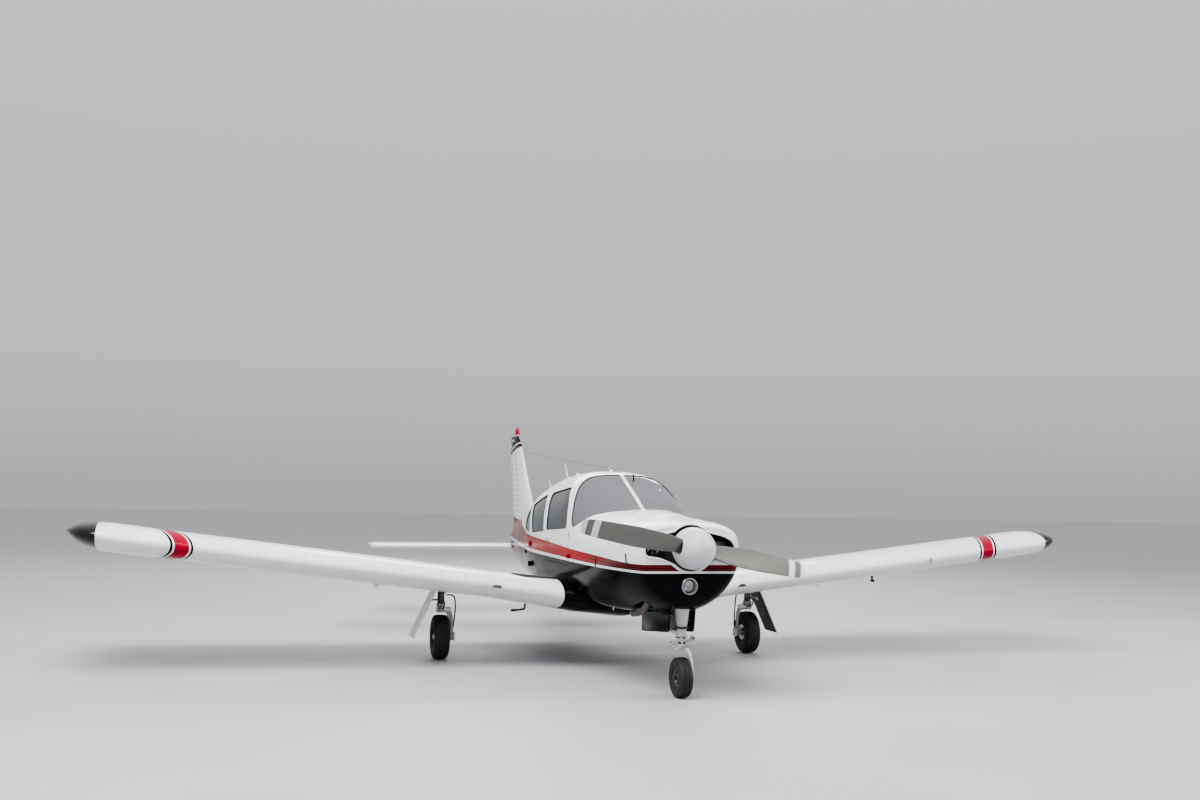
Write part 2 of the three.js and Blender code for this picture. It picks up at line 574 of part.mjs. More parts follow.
function wingPieces() {
  const frame = new THREE.Matrix4().makeRotationY(-DIHEDRAL).setPosition(0, 0, WING_ROOT_Z);
  const inWing = frame.clone().invert();
  const body = moved(fuselageLoft(COWL_FRONT, TAIL_END, -SEAT_GAP), inWing);
  const behind = box([-FAR, 6000], [FLAP_HINGE_Y - HINGE_RADIUS - MOVING_GAP, 4200], [-600, 400]);
  const pocket = ([from, to]) => behind.intersect(box([from - MOVING_GAP, to + MOVING_GAP], [0, 5000], [-700, 500]));
  const well = joined([
    prism("z", new THREE.Shape().absarc(WELL.wheelX, MAIN_STATION, WELL.radius, 0, 2 * Math.PI), -300, WELL.roof),
    box([WELL.wheelX, MAIN_TRACK_HALF + 90], [MAIN_STATION - WELL.slotHalf, MAIN_STATION + WELL.slotHalf],
      [-300, WELL.roof]),
  ]);
  const { x: padX, station: padStation } = JACK_PAD;
  const pad = rod([padX, padStation, -40], [padX, padStation, JACK_PAD.face], JACK_PAD.radius, 16);
  const wing = cut(mainWing(), body, pocket([FLAP_SPAN[0], AILERON_SPAN[1]]), well).add(pad);
  const [pins, bores] = [[0, PIN_SIDES], [PIN_GAP, BORE_SIDES]].map(([gap, sides]) =>
    [FLAP_SPAN[0], AILERON_SPAN[1]].map((x) => {
      const [from, to] = [-1, 1].map((end) => [x + end * (PIN_REACH + gap), FLAP_HINGE_Y, FLAP_HINGE_Z]);
      return rod(from, to, PIN_RADIUS + gap, sides);
    }));
  return { frame, pieces: [
    ["wing", joined([wing, ...pins]), "white"],
    ["wing_tip", wingTip(), "black"],
    ["flap", cut(movingSurface(FLAP_SPAN), bores[0]), "white"],
    ["aileron", cut(movingSurface(AILERON_SPAN), bores[1]), "white"],
  ] };
}

// Tail surfaces.

// A symmetrical section lying level: [x, station] at a height.
function levelRing(lead, chord, thickness, height, count = 8) {
  return airfoil(chord, thickness, count, 0).map(([aft, side]) => [side, lead + aft, height]);
}

// Columns: height, leading edge's station, chord to the hinge line's front face is worked out from the hinge.
const FIN_LEADS = [[1120, 5600], [1465, 5980], [2170, 6674], [2290, 6800], [FIN_TOP, 6930]];
function finAndRudder() {
  const trailAt = (z) => 7093 + ((z - 1265) * (7369 - 7093)) / (2103 - 1265);
  const fin = loft(FIN_LEADS.map(([z, lead]) => levelRing(lead, trailAt(z) - lead, 0.085, z)));
  const behind = prism("x", outline([[hingeStation(900) - 34, 900], [8200, 900], [8200, 2600],
    [hingeStation(2600) - 34, 2600]]), -200, 200);
  const cone = fuselageLoft(COWL_FRONT, TAIL_END, -SEAT_GAP);
  const noseRadius = (z) => 32 - ((z - 1000) * 8) / 1300;
  const heights = [985, 1500, 2100, FIN_TOP - 2];
  const rudder = loft(heights.map((z) => {
    const [h, r] = [hingeStation(z), noseRadius(z)];
    const trail = z > 2200 ? TAIL_STATION - 30 : trailAt(z);
    const nose = Array.from({ length: 9 }, (_, k) => {
      const angle = Math.PI / 2 + (Math.PI * k) / 8;
      return [r * Math.sin(angle), h + r * Math.cos(angle), z];
    });
    return [...nose, [-3, trail, z], [3, trail, z]];
  }));
  const under = prism("x", outline([[6400, 700], [7500, 700], [7500, 1180], [6600, 990], [6400, 990]]), -200, 200);
  const finSolid = cut(fin, cone, behind);
  const bore = rudderPin(RUDDER_PIN_RADIUS + PIN_GAP, BORE_SIDES);
  return [mesh("fin", finSolid, "white"), mesh("rudder", cut(rudder, under, bore), "white")];
}

const TAB_HINGE = 6960;
const TAB_HALF_SPAN = 1150;
const TAB_PIN_RADIUS = 5;
function stabilatorPieces() {
  const chord = STABILATOR_CHORD;
  const rows = [[185, 0, 1, 1], [STABILATOR_HALF_SPAN - 90, 0, 1, 1], [STABILATOR_HALF_SPAN - 25, 45, 0.9, 0.75],
    [STABILATOR_HALF_SPAN, 130, 0.72, 0.3]];
  const half = loft(rows.map(([x, aft, chordShare, thickShare]) =>
    airfoil(chord * chordShare, (0.1 * thickShare) / chordShare, 8, 0).map(([back, up]) =>
      [x, STABILATOR_LEAD + aft + back, STABILATOR_Z + up])));
  const tabRoom = box([-TAB_HALF_SPAN - MOVING_GAP, TAB_HALF_SPAN + MOVING_GAP],
    [TAB_HINGE - 14 - MOVING_GAP, 7300], [700, 1100]);
  const tube = rod([-200, STABILATOR_PIVOT, STABILATOR_Z], [200, STABILATOR_PIVOT, STABILATOR_Z], TUBE_RADIUS, 16);
  const whole = cut(joined([half, mirrored(half), tube]), tabRoom);
  const trail = STABILATOR_LEAD + chord;
  const nose = Array.from({ length: 7 }, (_, k) => {
    const angle = Math.PI / 2 + (Math.PI * k) / 6;
    return [TAB_HINGE + 14 * Math.cos(angle), STABILATOR_Z + 14 * Math.sin(angle)];
  });
  const points = [...nose, [trail, STABILATOR_Z - 3], [trail, STABILATOR_Z + 3]];
  const tab = loft([-TAB_HALF_SPAN, TAB_HALF_SPAN].map((x) => points.map(([y, z]) => [x, y, z])));
  const pins = (radius, sides) => [1, -1].map((side) => rod([side * (TAB_HALF_SPAN - 25), TAB_HINGE, STABILATOR_Z],
    [side * (TAB_HALF_SPAN + 25), TAB_HINGE, STABILATOR_Z], radius, sides));
  return [
    mesh("stabilator", joined([whole, ...pins(TAB_PIN_RADIUS, PIN_SIDES)]), "white"),
    mesh("stabilator_tab", cut(tab, ...pins(TAB_PIN_RADIUS + PIN_GAP, BORE_SIDES)), "white"),
  ];
}

// Wheels: a tyre as one ring about its rim, and a rim bored for the axle.
const WHEEL_SIDES = 24;
function tyre({ radius, width, rim }) {
  const [half, side] = [width / 2, radius - rim];
  const profile = [
    [rim, -half * 0.62], [rim + side * 0.2, -half * 0.84], [rim + side * 0.52, -half],
    [rim + side * 0.8, -half * 0.86], [rim + side * 0.95, -half * 0.5], [radius, -half * 0.1],
    [radius, half * 0.1], [rim + side * 0.95, half * 0.5], [rim + side * 0.8, half * 0.86],
    [rim + side * 0.52, half], [rim + side * 0.2, half * 0.84], [rim, half * 0.62],
  ];
  return turned("x", [...profile, profile[0]], [0, 0, 0], WHEEL_SIDES);
}
function rimOf({ width, rim }, bore) {
  const [half, r] = [width * 0.31, rim - SEAT_GAP];
  const profile = [
    [bore, -half * 0.9], [r * 0.42, -half * 0.9], [r * 0.56, -half * 0.45], [r * 0.86, -half * 0.5], [r * 0.9, -half],
    [r, -half], [r, half], [r * 0.9, half], [r * 0.86, half * 0.5], [r * 0.56, half * 0.45], [r * 0.42, half * 0.9],
    [bore, half * 0.9],
  ];
  return turned("x", [...profile, profile[0]], [0, 0, 0], WHEEL_SIDES);
}
const AXLE_RADIUS = 17;

// A bent bar along a list of points, as one skin with a ring at each bend.
function bar(points, radius, sides = 8) {
  const path = points.map((point) => new THREE.Vector3(...point));
  const steps = path.slice(1).map((point, i) => point.clone().sub(path[i]).normalize());
  const side = new THREE.Vector3(0.31, 0.95, 0.05);
  const rings = path.map((point, i) => {
    const [before, after] = [steps[Math.max(0, i - 1)], steps[Math.min(i, steps.length - 1)]];
    const along = before.clone().add(after).normalize();
    const u = side.clone().addScaledVector(along, -side.dot(along)).normalize();
    const v = along.clone().cross(u);
    side.copy(u);
    return Array.from({ length: sides }, (_, k) => {
      const angle = (2 * Math.PI * k) / sides;
      return point.clone().addScaledVector(u, radius * Math.cos(angle)).addScaledVector(v, radius * Math.sin(angle))
        .toArray();
    });
  });
  return loft(rings);
}

// Nose gear, about the strut's own line: the housing is fixed, and the fork below it steers.
const TRUNNION = { halfLength: 72, height: 860, radius: 26 };
const NOSE_STRUT = { radius: 24, bore: 25, foot: 455 }; // the sliding tube, and the lower end of its housing
const FORK_CROWN = 400;
const TOW_LUG = { height: 434, halfLength: 78, radius: 11 };
function noseGearPieces() {
  const axle = NOSE_TYRE.radius;
  const { halfLength, height } = TRUNNION;
  const { foot } = NOSE_STRUT;
  const housing = joined([
    rod([0, 0, height + 45], [0, 0, 700], 68, 20),
    rod([0, 0, 700], [0, 0, foot + 55], 66, 20, 40),
    rod([0, 0, foot + 56], [0, 0, foot], 46, 16),
    rod([-halfLength, 0, height], [halfLength, 0, height], TRUNNION.radius, 12),
    bar([[0, 30, 620], [0, 380, 655], [0, FIREWALL - NOSE_STATION_GEAR + 20, 695]], 17),
  ]);
  const bore = rod([0, 0, 300], [0, 0, 640], NOSE_STRUT.bore, 16);
  const behindWall = box([-FAR, FAR], [FIREWALL - NOSE_STATION_GEAR - SEAT_GAP, 1500], [400, 1000]);
  const fork = joined([
    rod([0, 0, FORK_CROWN - 15], [0, 0, 630], NOSE_STRUT.radius, 16),
    rod([0, 0, FORK_CROWN - 18], [0, 0, FORK_CROWN + 26], 38, 16),
    bar([[0, 0, FORK_CROWN - 5], [48, 0, 380], [80, 0, 330], [98, 0, 260], [98, 0, axle]], 13),
    rod([70, 0, axle], [-60, 0, axle], AXLE_RADIUS, 16),
    rod([110, 0, axle], [66, 0, axle], 26, 16),
    rod([-50, 0, axle], [-64, 0, axle], 24, 12),
    box([-22, 22], [-70, -20], [FORK_CROWN - 4, FORK_CROWN + 12]),
    rod([-TOW_LUG.halfLength, 0, TOW_LUG.height], [TOW_LUG.halfLength, 0, TOW_LUG.height], TOW_LUG.radius, 10),
    rod([0, 0, FORK_CROWN + 20], [0, 0, FORK_CROWN + 48], 34, 16),
  ]);
  return { housing: cut(housing, bore, behindWall), fork };
}

// The two panels that close over the nose gear, hanging from the cowl's lower edge.
const NOSE_DOOR = [[330, 760, 40], [1085, 760, 40], [1085, 450, 15], [400, 540, 40]];
const NOSE_DOOR_OUT = 24; // from the edge of the gear well
const NOSE_DOOR_THICKNESS = 8;
function noseGearDoors(skin) {
  const x = GEAR_WELL.halfWidth + NOSE_DOOR_OUT;
  const left = cut(prism("x", outline(NOSE_DOOR), x, x + NOSE_DOOR_THICKNESS), skin);
  return [["left", left], ["right", mirrored(left)]];
}

// Main gear on the left, about the wheel's own middle plane.
function mainGearPieces() {
  const roofZ = (x) => WING_ROOT_Z + Math.tan(DIHEDRAL) * x;
  const top = roofZ(MAIN_TRACK_HALF) + WELL.roof / Math.cos(DIHEDRAL) - 6;
  const armX = -MAIN_TYRE.width / 2 - 30;
  const leg = joined([
    rod([0, 0, 470], [0, 0, top - 10], LEG_RADIUS, 16),
    rod([0, -82, top - 40], [0, 82, top - 40], 22, 12),
    rod([0, 0, 458], [0, 0, 500], 42, 16),
    bar([[0, 0, 478], [-62, 0, 466], [armX, 0, 400], [armX - 2, 0, MAIN_TYRE.radius]], 17),
    rod([armX - 16, 0, MAIN_TYRE.radius], [62, 0, MAIN_TYRE.radius], AXLE_RADIUS, 16),
    rod([armX - 18, 0, MAIN_TYRE.radius], [armX + 22, 0, MAIN_TYRE.radius], 34, 16),
    rod([54, 0, MAIN_TYRE.radius], [66, 0, MAIN_TYRE.radius], 25, 12),
    box([armX - 13, armX + 19], [28, 120], [MAIN_TYRE.radius - 50, MAIN_TYRE.radius + 40]),
    bar([[0, -20, 590], [0, -110, 530], [-20, -20, 478]], 11),
    bar([[-20, 0, 560], [-280, 0, roofZ(MAIN_TRACK_HALF - 280) + 20]], 15),
  ]);
  return leg;
}

// The panel that closes over the leg, hung from the wing outboard of it and stayed to the leg.
const LEG_RADIUS = 34;
const MAIN_DOOR = { top: [67, 664.4], bottom: [272, 214], thick: 10, halfLength: 150, stayShare: 0.22 };

function mainGearDoor() {
  const { top: [topX, topZ], bottom: [bottomX, bottomZ], thick, halfLength, stayShare } = MAIN_DOOR;
  const underWing = topZ + thick * Math.tan(DIHEDRAL); // the plate's upper edge runs along the wing
  const edges = [[topX, topZ], [topX + thick, underWing], [bottomX + thick, bottomZ], [bottomX, bottomZ]];
  const plate = prism("y", outline(edges), -halfLength, halfLength);
  const [x, z] = [topX + (bottomX - topX) * stayShare, topZ + (bottomZ - topZ) * stayShare];
  const stay = rod([LEG_RADIUS + SEAT_GAP, 0, z], [x + thick / 2, 0, z], 9, 8);
  return plate.add(stay);
}

// Seats, panel and controls: plain solids that fill the cabin where the real ones do.
function seat(width, depth) {
  const half = width / 2;
  const cushion = outline([[0, 150], [depth, 190], [depth, 300], [0, 290]], 40);
  const back = outline([[depth - 120, 230], [depth + 20, 230], [depth + 150, 760], [depth + 40, 780]], 45);
  const foot = outline([[60, 0], [depth - 60, 0], [depth - 60, 190], [60, 190]]);
  return joined([prism("x", cushion, -half, half), prism("x", back, -half, half),
    prism("x", foot, -half + 60, half - 60)]);
}

function panelAndControls() {
  const board = prism("x", outline([[1640, 960], [1665, 960], [1690, 1290], [1665, 1300]]), -470, 470);
  const shield = prism("x", outline([[1420, 1330], [1450, 1365], [1750, 1318], [1745, 1296], [1660, 1286]]),
    -455, 455);
  const foot = prism("x", outline([[1600, FLOOR_Z + SEAT_GAP], [1660, FLOOR_Z + SEAT_GAP], [1664, 980], [1640, 980]]),
    -90, 90);
  const wheels = [-1, 1].map((side) => {
    const x = side * 250;
    const crescent = outline([[x - 165, 1215, 10], [x - 150, 1100, 40], [x + 150, 1100, 40], [x + 165, 1215, 10],
      [x + 130, 1215, 10], [x + 120, 1140, 20], [x - 120, 1140, 20], [x - 130, 1215, 10]]);
    return joined([rod([x, 1650, 1120], [x, 1900, 1120], 14, 8), prism("y", crescent, 1890, 1916)]);
  });
  return joined([board, shield, foot, ...wheels]);
}

function boardingStep() {
  return bar([[-280, 3900, 640], [-470, 3900, 600], [-530, 3900, 370], [-680, 3900, 335]], 14);
}

function exhaustPipe() {
  const outer = bar([[-235, 520, 960], [-240, 590, 760], [-250, 640, 640]], 32, 8);
  const bore = rod([-246, 622, 680], [-252, 650, 620], 26, 10);
  return cut(outer, bore);
}

// The whole aircraft.
const aircraft = new THREE.Group();
const airframe = new THREE.Group();
airframe.position.y = -MIDDLE_STATION;
aircraft.add(airframe);

const [cowlUpper, cowlLower, landingLight] = cowlPieces();
const fuselageSkin = fuselageLoft(COWL_FRONT, TAIL_END, -SEAT_GAP);

airframe.add(...cabinPieces(), mesh("tail_cone", tailCone(), "black"));
airframe.add(cowlUpper, cowlLower, landingLight, mesh("engine_block", engineBlock(), "cast"));
airframe.add(...finAndRudder(), ...stabilatorPieces());
airframe.add(mesh("boarding_step", cut(boardingStep(), fuselageSkin), "metal"));

const beacon = new THREE.Mesh(
  new THREE.CylinderGeometry(26, 33, OVERALL_HEIGHT - FIN_TOP - SEAT_GAP, 16), finish("beacon"));
beacon.name = "beacon";
beacon.rotation.x = Math.PI / 2;
beacon.position.set(0, 6985, (OVERALL_HEIGHT + FIN_TOP + SEAT_GAP) / 2);
airframe.add(beacon);

const powerplant = new THREE.Group();
powerplant.position.z = THRUST_Z;
powerplant.rotation.y = PROP_TILT;
powerplant.add(mesh("propeller", propeller(), "propeller"), mesh("spinner", cut(spinner(), propeller()), "white"));
airframe.add(powerplant);

const { frame: wingFrame, pieces: wingParts } = wingPieces();
const leg = mainGearPieces();
const legDoor = mainGearDoor();
for (const [side, sign] of [["left", 1], ["right", -1]]) {
  const wing = new THREE.Group();
  wing.applyMatrix4(new THREE.Matrix4().makeScale(sign, 1, 1).multiply(wingFrame));
  for (const [name, solid, colour] of wingParts) wing.add(mesh(`${name}_${side}`, solid, colour));
  airframe.add(wing);

  const gear = new THREE.Group();
  gear.scale.x = sign;
  gear.position.set(sign * MAIN_TRACK_HALF, MAIN_STATION, 0);
  const tyreMesh = mesh(`main_tyre_${side}`, tyre(MAIN_TYRE), "tyre");
  const rimMesh = mesh(`main_rim_${side}`, rimOf(MAIN_TYRE, AXLE_RADIUS + 1), "metal");
  tyreMesh.position.z = MAIN_TYRE.radius;
  rimMesh.position.z = MAIN_TYRE.radius;
  gear.add(mesh(`main_leg_${side}`, leg, "gear"), mesh(`main_gear_door_${side}`, legDoor, "white"));
  gear.add(tyreMesh, rimMesh);
  airframe.add(gear);
}

const noseGear = new THREE.Group();
noseGear.position.y = NOSE_STATION_GEAR;
const { housing, fork } = noseGearPieces();
noseGear.add(mesh("nose_strut", housing, "gear"), mesh("nose_fork", fork, "gear"));
for (const [name, solid, colour] of [["nose_tyre", tyre(NOSE_TYRE), "tyre"],
  ["nose_rim", rimOf(NOSE_TYRE, AXLE_RADIUS + 1), "metal"]]) {
  const wheelPiece = mesh(name, solid, colour);
  wheelPiece.position.z = NOSE_TYRE.radius;
  noseGear.add(wheelPiece);
}
airframe.add(noseGear);
for (const [side, panel] of noseGearDoors(fuselageSkin)) airframe.add(mesh(`nose_gear_door_${side}`, panel, "black"));

const cabinRoom = fuselageLoft(FIREWALL + 60, CABIN_END - 60, CABIN_WALL + 12);

// Columns: name, middle x, front station, width, depth.
const SEATS = [["front_seat_left", 262, 2120, 430, 470], ["front_seat_right", -262, 2120, 430, 470],
  ["rear_seat", 0, 2980, 980, 460]];
for (const [name, x, station, width, depth] of SEATS) {
  const place = new THREE.Matrix4().makeTranslation(x, station, FLOOR_Z + SEAT_GAP);
  airframe.add(mesh(name, moved(seat(width, depth), place).intersect(cabinRoom), "seat"));
}
airframe.add(mesh("instrument_panel", panelAndControls().intersect(cabinRoom), "panel"));

export default aircraft;
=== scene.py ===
# %% [markdown]
# A four-seat light aircraft in Blender
# This lesson builds the looks of a low-wing light aircraft on top of its measured frame.
# The frame brings the bodies, the joints and plain solids; each solid is swapped here for a finer piece.
# Lengths are metres. +X is the aircraft's left, +Y runs aft and +Z is up.

# %% tools and frame
import json
from math import cos, pi, radians, sin, sqrt, tan

import bmesh
import bpy
import numpy as np
from mathutils import Matrix, Vector

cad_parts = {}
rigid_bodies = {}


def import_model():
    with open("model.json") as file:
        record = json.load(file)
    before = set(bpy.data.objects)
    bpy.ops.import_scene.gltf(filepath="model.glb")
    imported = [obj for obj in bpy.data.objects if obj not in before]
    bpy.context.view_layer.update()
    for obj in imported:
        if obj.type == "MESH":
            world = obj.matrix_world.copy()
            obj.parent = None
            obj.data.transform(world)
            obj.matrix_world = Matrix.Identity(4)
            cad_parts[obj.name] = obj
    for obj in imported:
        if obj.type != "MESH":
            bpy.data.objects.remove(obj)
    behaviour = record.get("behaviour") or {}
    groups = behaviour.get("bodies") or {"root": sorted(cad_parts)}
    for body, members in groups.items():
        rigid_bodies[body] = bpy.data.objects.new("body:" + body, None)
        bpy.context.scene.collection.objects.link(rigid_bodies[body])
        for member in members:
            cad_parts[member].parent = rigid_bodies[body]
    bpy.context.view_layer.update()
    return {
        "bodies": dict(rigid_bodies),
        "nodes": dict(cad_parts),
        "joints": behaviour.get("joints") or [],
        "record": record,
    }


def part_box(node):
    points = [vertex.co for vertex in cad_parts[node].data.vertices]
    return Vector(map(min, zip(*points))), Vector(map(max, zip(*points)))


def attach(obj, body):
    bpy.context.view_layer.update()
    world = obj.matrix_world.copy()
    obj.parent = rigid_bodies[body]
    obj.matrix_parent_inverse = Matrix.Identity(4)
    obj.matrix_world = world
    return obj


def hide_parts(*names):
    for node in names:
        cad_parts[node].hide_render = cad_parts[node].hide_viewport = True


for leftover in list(bpy.data.objects):
    bpy.data.objects.remove(leftover, do_unlink=True)
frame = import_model()

# %% [markdown]
# Stations are distances aft of the wing's datum, as in the part's own tables.
# The main wheel stands at station 2.790, so its place in the frame gives the shift from stations to Y.

# %% datum
wheel_low, wheel_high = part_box("main_tyre_left")
DATUM = (wheel_low.y + wheel_high.y) / 2 - 2.79
print("datum", round(DATUM, 4))


def at(x, station, z):
    """A point given by x, station and height."""
    return Vector((x, station + DATUM, z))


# %% [markdown]
# The camera stands where the photographer stood: ahead of the nose on the aircraft's right, at eye height.
# Its place and turn were solved from the wheels, the wing tips and the fin, so it needs no shift.

# %% camera
CAMERA_PLACE = at(-3.317, -8.766, 1.661)
YAW, PITCH, ROLL = radians(15.85), radians(4.31), radians(1.09)
FOCAL_PIXELS = 1184.1
forward = Vector((sin(YAW) * cos(PITCH), cos(YAW) * cos(PITCH), sin(PITCH)))
level = Vector((cos(YAW), -sin(YAW), 0))
raised = level.cross(forward)
right = cos(ROLL) * level + sin(ROLL) * raised
up = cos(ROLL) * raised - sin(ROLL) * level
camera_data = bpy.data.cameras.new("camera")
camera_data.sensor_width = 36
camera_data.lens = 36 * FOCAL_PIXELS / 1200
camera_data.clip_start, camera_data.clip_end = 0.05, 400
camera = bpy.data.objects.new("camera", camera_data)
camera.matrix_world = Matrix.Translation(CAMERA_PLACE) @ Matrix((right, up, -forward)).transposed().to_4x4()
bpy.context.scene.collection.objects.link(camera)
bpy.context.scene.camera = camera
print("lens", round(camera_data.lens, 2), "mm")

# %% [markdown]
# The skins are smooth curves through a few measured sections.
# A monotone cubic passes through each value without overshooting,
# so a roof line never bulges between sections.

# %% smooth curves through a table


def through(xs, ys, where):
    """A monotone cubic through the points (xs, ys), read at the values in where."""
    xs, ys, where = (np.asarray(a, float) for a in (xs, ys, where))
    step, slope = np.diff(xs), np.diff(ys) / np.diff(xs)
    tangent = np.zeros_like(ys)
    tangent[0], tangent[-1] = slope[0], slope[-1]
    a, b = 2 * step[1:] + step[:-1], step[1:] + 2 * step[:-1]
    same = slope[:-1] * slope[1:] > 0
    before, after = np.where(same, slope[:-1], 1), np.where(same, slope[1:], 1)
    tangent[1:-1] = np.where(same, (a + b) / (a / before + b / after), 0)
    i = np.clip(np.searchsorted(xs, where, side="right") - 1, 0, len(xs) - 2)
    h, t = step[i], (where - xs[i]) / step[i]
    return (
        ys[i] * (1 + 2 * t) * (1 - t) ** 2 + h * tangent[i] * t * (1 - t) ** 2
        + ys[i + 1] * t * t * (3 - 2 * t) + h * tangent[i + 1] * t * t * (t - 1))


print("curve ready:", through([0, 1, 2], [0, 1, 1], [0.5]))

# %% [markdown]
# The fuselage is a table of sections measured off the photograph. Each is a rounded box whose upper and
# lower halves have their own power: two makes an ellipse, and more makes the sides flatter.

# %% fuselage sections
# Columns: station, half width, top, waist, bottom, power of the upper half, power of the lower half.
FUSELAGE = np.array([
    [0.19, 0.385, 1.376, 1.15, 0.812, 3.4, 2.0],
    [0.206, 0.412, 1.388, 1.15, 0.78, 3.6, 2.0],
    [0.25, 0.44, 1.398, 1.148, 0.735, 3.6, 1.95],
    [0.4, 0.478, 1.413, 1.142, 0.682, 3.6, 2.0],
    [0.65, 0.515, 1.43, 1.134, 0.645, 3.1, 2.15],
    [1.1, 0.552, 1.464, 1.122, 0.608, 2.5, 2.5],
    [1.39, 0.562, 1.482, 1.115, 0.596, 2.6, 2.9],
    [1.64, 0.566, 1.592, 1.112, 0.59, 3.0, 3.1],
    [1.89, 0.567, 1.702, 1.112, 0.586, 3.4, 3.2],
    [2.14, 0.567, 1.806, 1.112, 0.583, 3.4, 3.2],
    [2.45, 0.566, 1.836, 1.112, 0.58, 3.0, 3.2],
    [2.85, 0.564, 1.828, 1.11, 0.578, 2.7, 3.2],
    [3.3, 0.553, 1.79, 1.104, 0.578, 2.7, 3.2],
    [3.75, 0.526, 1.722, 1.096, 0.58, 2.7, 3.1],
    [4.42, 0.435, 1.612, 1.08, 0.592, 2.6, 3.0],
    [5.2, 0.325, 1.468, 1.058, 0.618, 2.4, 2.8],
    [6.0, 0.21, 1.322, 1.03, 0.662, 2.1, 2.5],
    [6.5, 0.14, 1.262, 1.0, 0.706, 2.1, 2.2],
    [6.9, 0.074, 1.235, 0.985, 0.77, 2.1, 2.0]])


def section(stations):
    """Half width, top, waist, bottom and the two powers at each station."""
    return [through(FUSELAGE[:, 0], FUSELAGE[:, k], stations) for k in range(1, 7)]


def read(table, value):
    """The other columns of a table where its first column has the value."""
    return [float(through(table[:, 0], column, [value])[0]) for column in table[:, 1:].T]


print("sections", len(FUSELAGE))

# %% [markdown]
# A ring is walked round in even steps along its arc, so that the faces of a loft are even too.
# The same formula, as a field around the skin, gives its exact outward direction anywhere.

# %% rings and normals of the skin


def hoop(station, inset=0.0, count=128):
    """One ring of the fuselage, evenly spaced from the top centre round by the left side."""
    half, top, waist, bottom, above, below = read(FUSELAGE, station)
    angle = np.linspace(0, 2 * pi, 1441)
    s, c = np.sin(angle), np.cos(angle)
    power = np.where(c > 0, above, below)
    height = np.where(c > 0, top - waist, waist - bottom) - inset
    x = (half - inset) * np.sign(s) * np.abs(s) ** (2 / power)
    z = waist + height * np.sign(c) * np.abs(c) ** (2 / power)
    arc = np.r_[0, np.cumsum(np.hypot(np.diff(x), np.diff(z)))]
    even = np.linspace(0, arc[-1], count + 1)[:-1]
    return np.stack([np.interp(even, arc, x), np.full(count, station + DATUM), np.interp(even, arc, z)], -1)


def skin_field(points):
    """One on the skin and less inside it, for points in the frame."""
    half, top, waist, bottom, above, below = section(points[:, 1] - DATUM)
    z = points[:, 2] - waist
    power = np.where(z > 0, above, below)
    height = np.where(z > 0, top - waist, waist - bottom)
    return (np.abs(points[:, 0] / half) ** power + np.abs(z / height) ** power) ** (1 / power)


def skin_normals(points):
    """The skin's outward direction at each point, and how deep the point lies under the skin."""
    step = 1e-4
    slope = np.stack(
        [(skin_field(points + d) - skin_field(points - d)) / (2 * step) for d in np.eye(3) * step], -1)
    size = np.linalg.norm(slope, axis=1) + 1e-9
    return slope / size[:, None], (1 - skin_field(points)) / size


print("roof at station 2.3:", section([2.3])[1].round(3))

# %% [markdown]
# Every piece is made from a few kinds of shape: a loft over rings, a turned profile, a tube and a block.
# A loft also stores how far each point lies along and around it; paint and rivets use those two lengths.

# %% shapes
collection = bpy.context.scene.collection
SIDES = (1, "left"), (-1, "right")


def put(name, vertices, faces, uv=None):
    """A mesh object from plain lists, facing outward."""
    mesh = bpy.data.meshes.new(name)
    mesh.from_pydata([tuple(v) for v in vertices], [], [tuple(f) for f in faces])
    if uv is not None:
        mesh.uv_layers.new(name="flow").data.foreach_set("uv", np.asarray(uv, np.float32).ravel())
    built = bmesh.new()
    built.from_mesh(mesh)
    if built.calc_volume(signed=True) < 0:
        bmesh.ops.reverse_faces(built, faces=built.faces)
        built.to_mesh(mesh)
    built.free()
    obj = bpy.data.objects.new(name, mesh)
    collection.objects.link(obj)
    return obj


def lofted(rings, caps=True):
    """Vertices, faces and flow of a skin over an array of closed rings."""
    rings = np.asarray(rings, float)
    n, m = rings.shape[:2]
    i, j = (a.ravel() for a in np.meshgrid(np.arange(n - 1), np.arange(m), indexing="ij"))
    k = (j + 1) % m
    faces = np.stack([i * m + j, i * m + k, (i + 1) * m + k, (i + 1) * m + j], -1)
    along = np.r_[0, np.cumsum(np.linalg.norm(np.diff(rings.mean(1), axis=0), axis=1))]
    edge = np.linalg.norm(np.roll(rings, -1, 1) - rings, axis=2)
    around = np.concatenate([np.zeros((n, 1)), np.cumsum(edge, 1)], 1)
    around = np.minimum(around, around[:, -1:] - around)
    uv = np.stack([np.stack([along[i], around[i, j]], -1), np.stack([along[i], around[i, j + 1]], -1),
        np.stack([along[i + 1], around[i + 1, j + 1]], -1), np.stack([along[i + 1], around[i + 1, j]], -1)],
        1)
    faces, uv = faces.tolist(), uv.reshape(-1, 2)
    if caps:
        faces += [list(range(m))[::-1], list(range((n - 1) * m, n * m))]
        uv = np.concatenate([uv, np.zeros((2 * m, 2))])
    return rings.reshape(-1, 3).tolist(), faces, uv


def loft(name, rings, caps=True):
    return put(name, *lofted(rings, caps))


def turns(count):
    """Evenly spaced angles once round."""
    return np.linspace(0, 2 * pi, count + 1)[:-1]


print("lofts ready")

# %% [markdown]
# Flat outlines give the windows, doors and brackets. Their corners are rounded with short curves,
# and the same outline drawn inward leaves the gap between a door and its frame.

# %% outlines


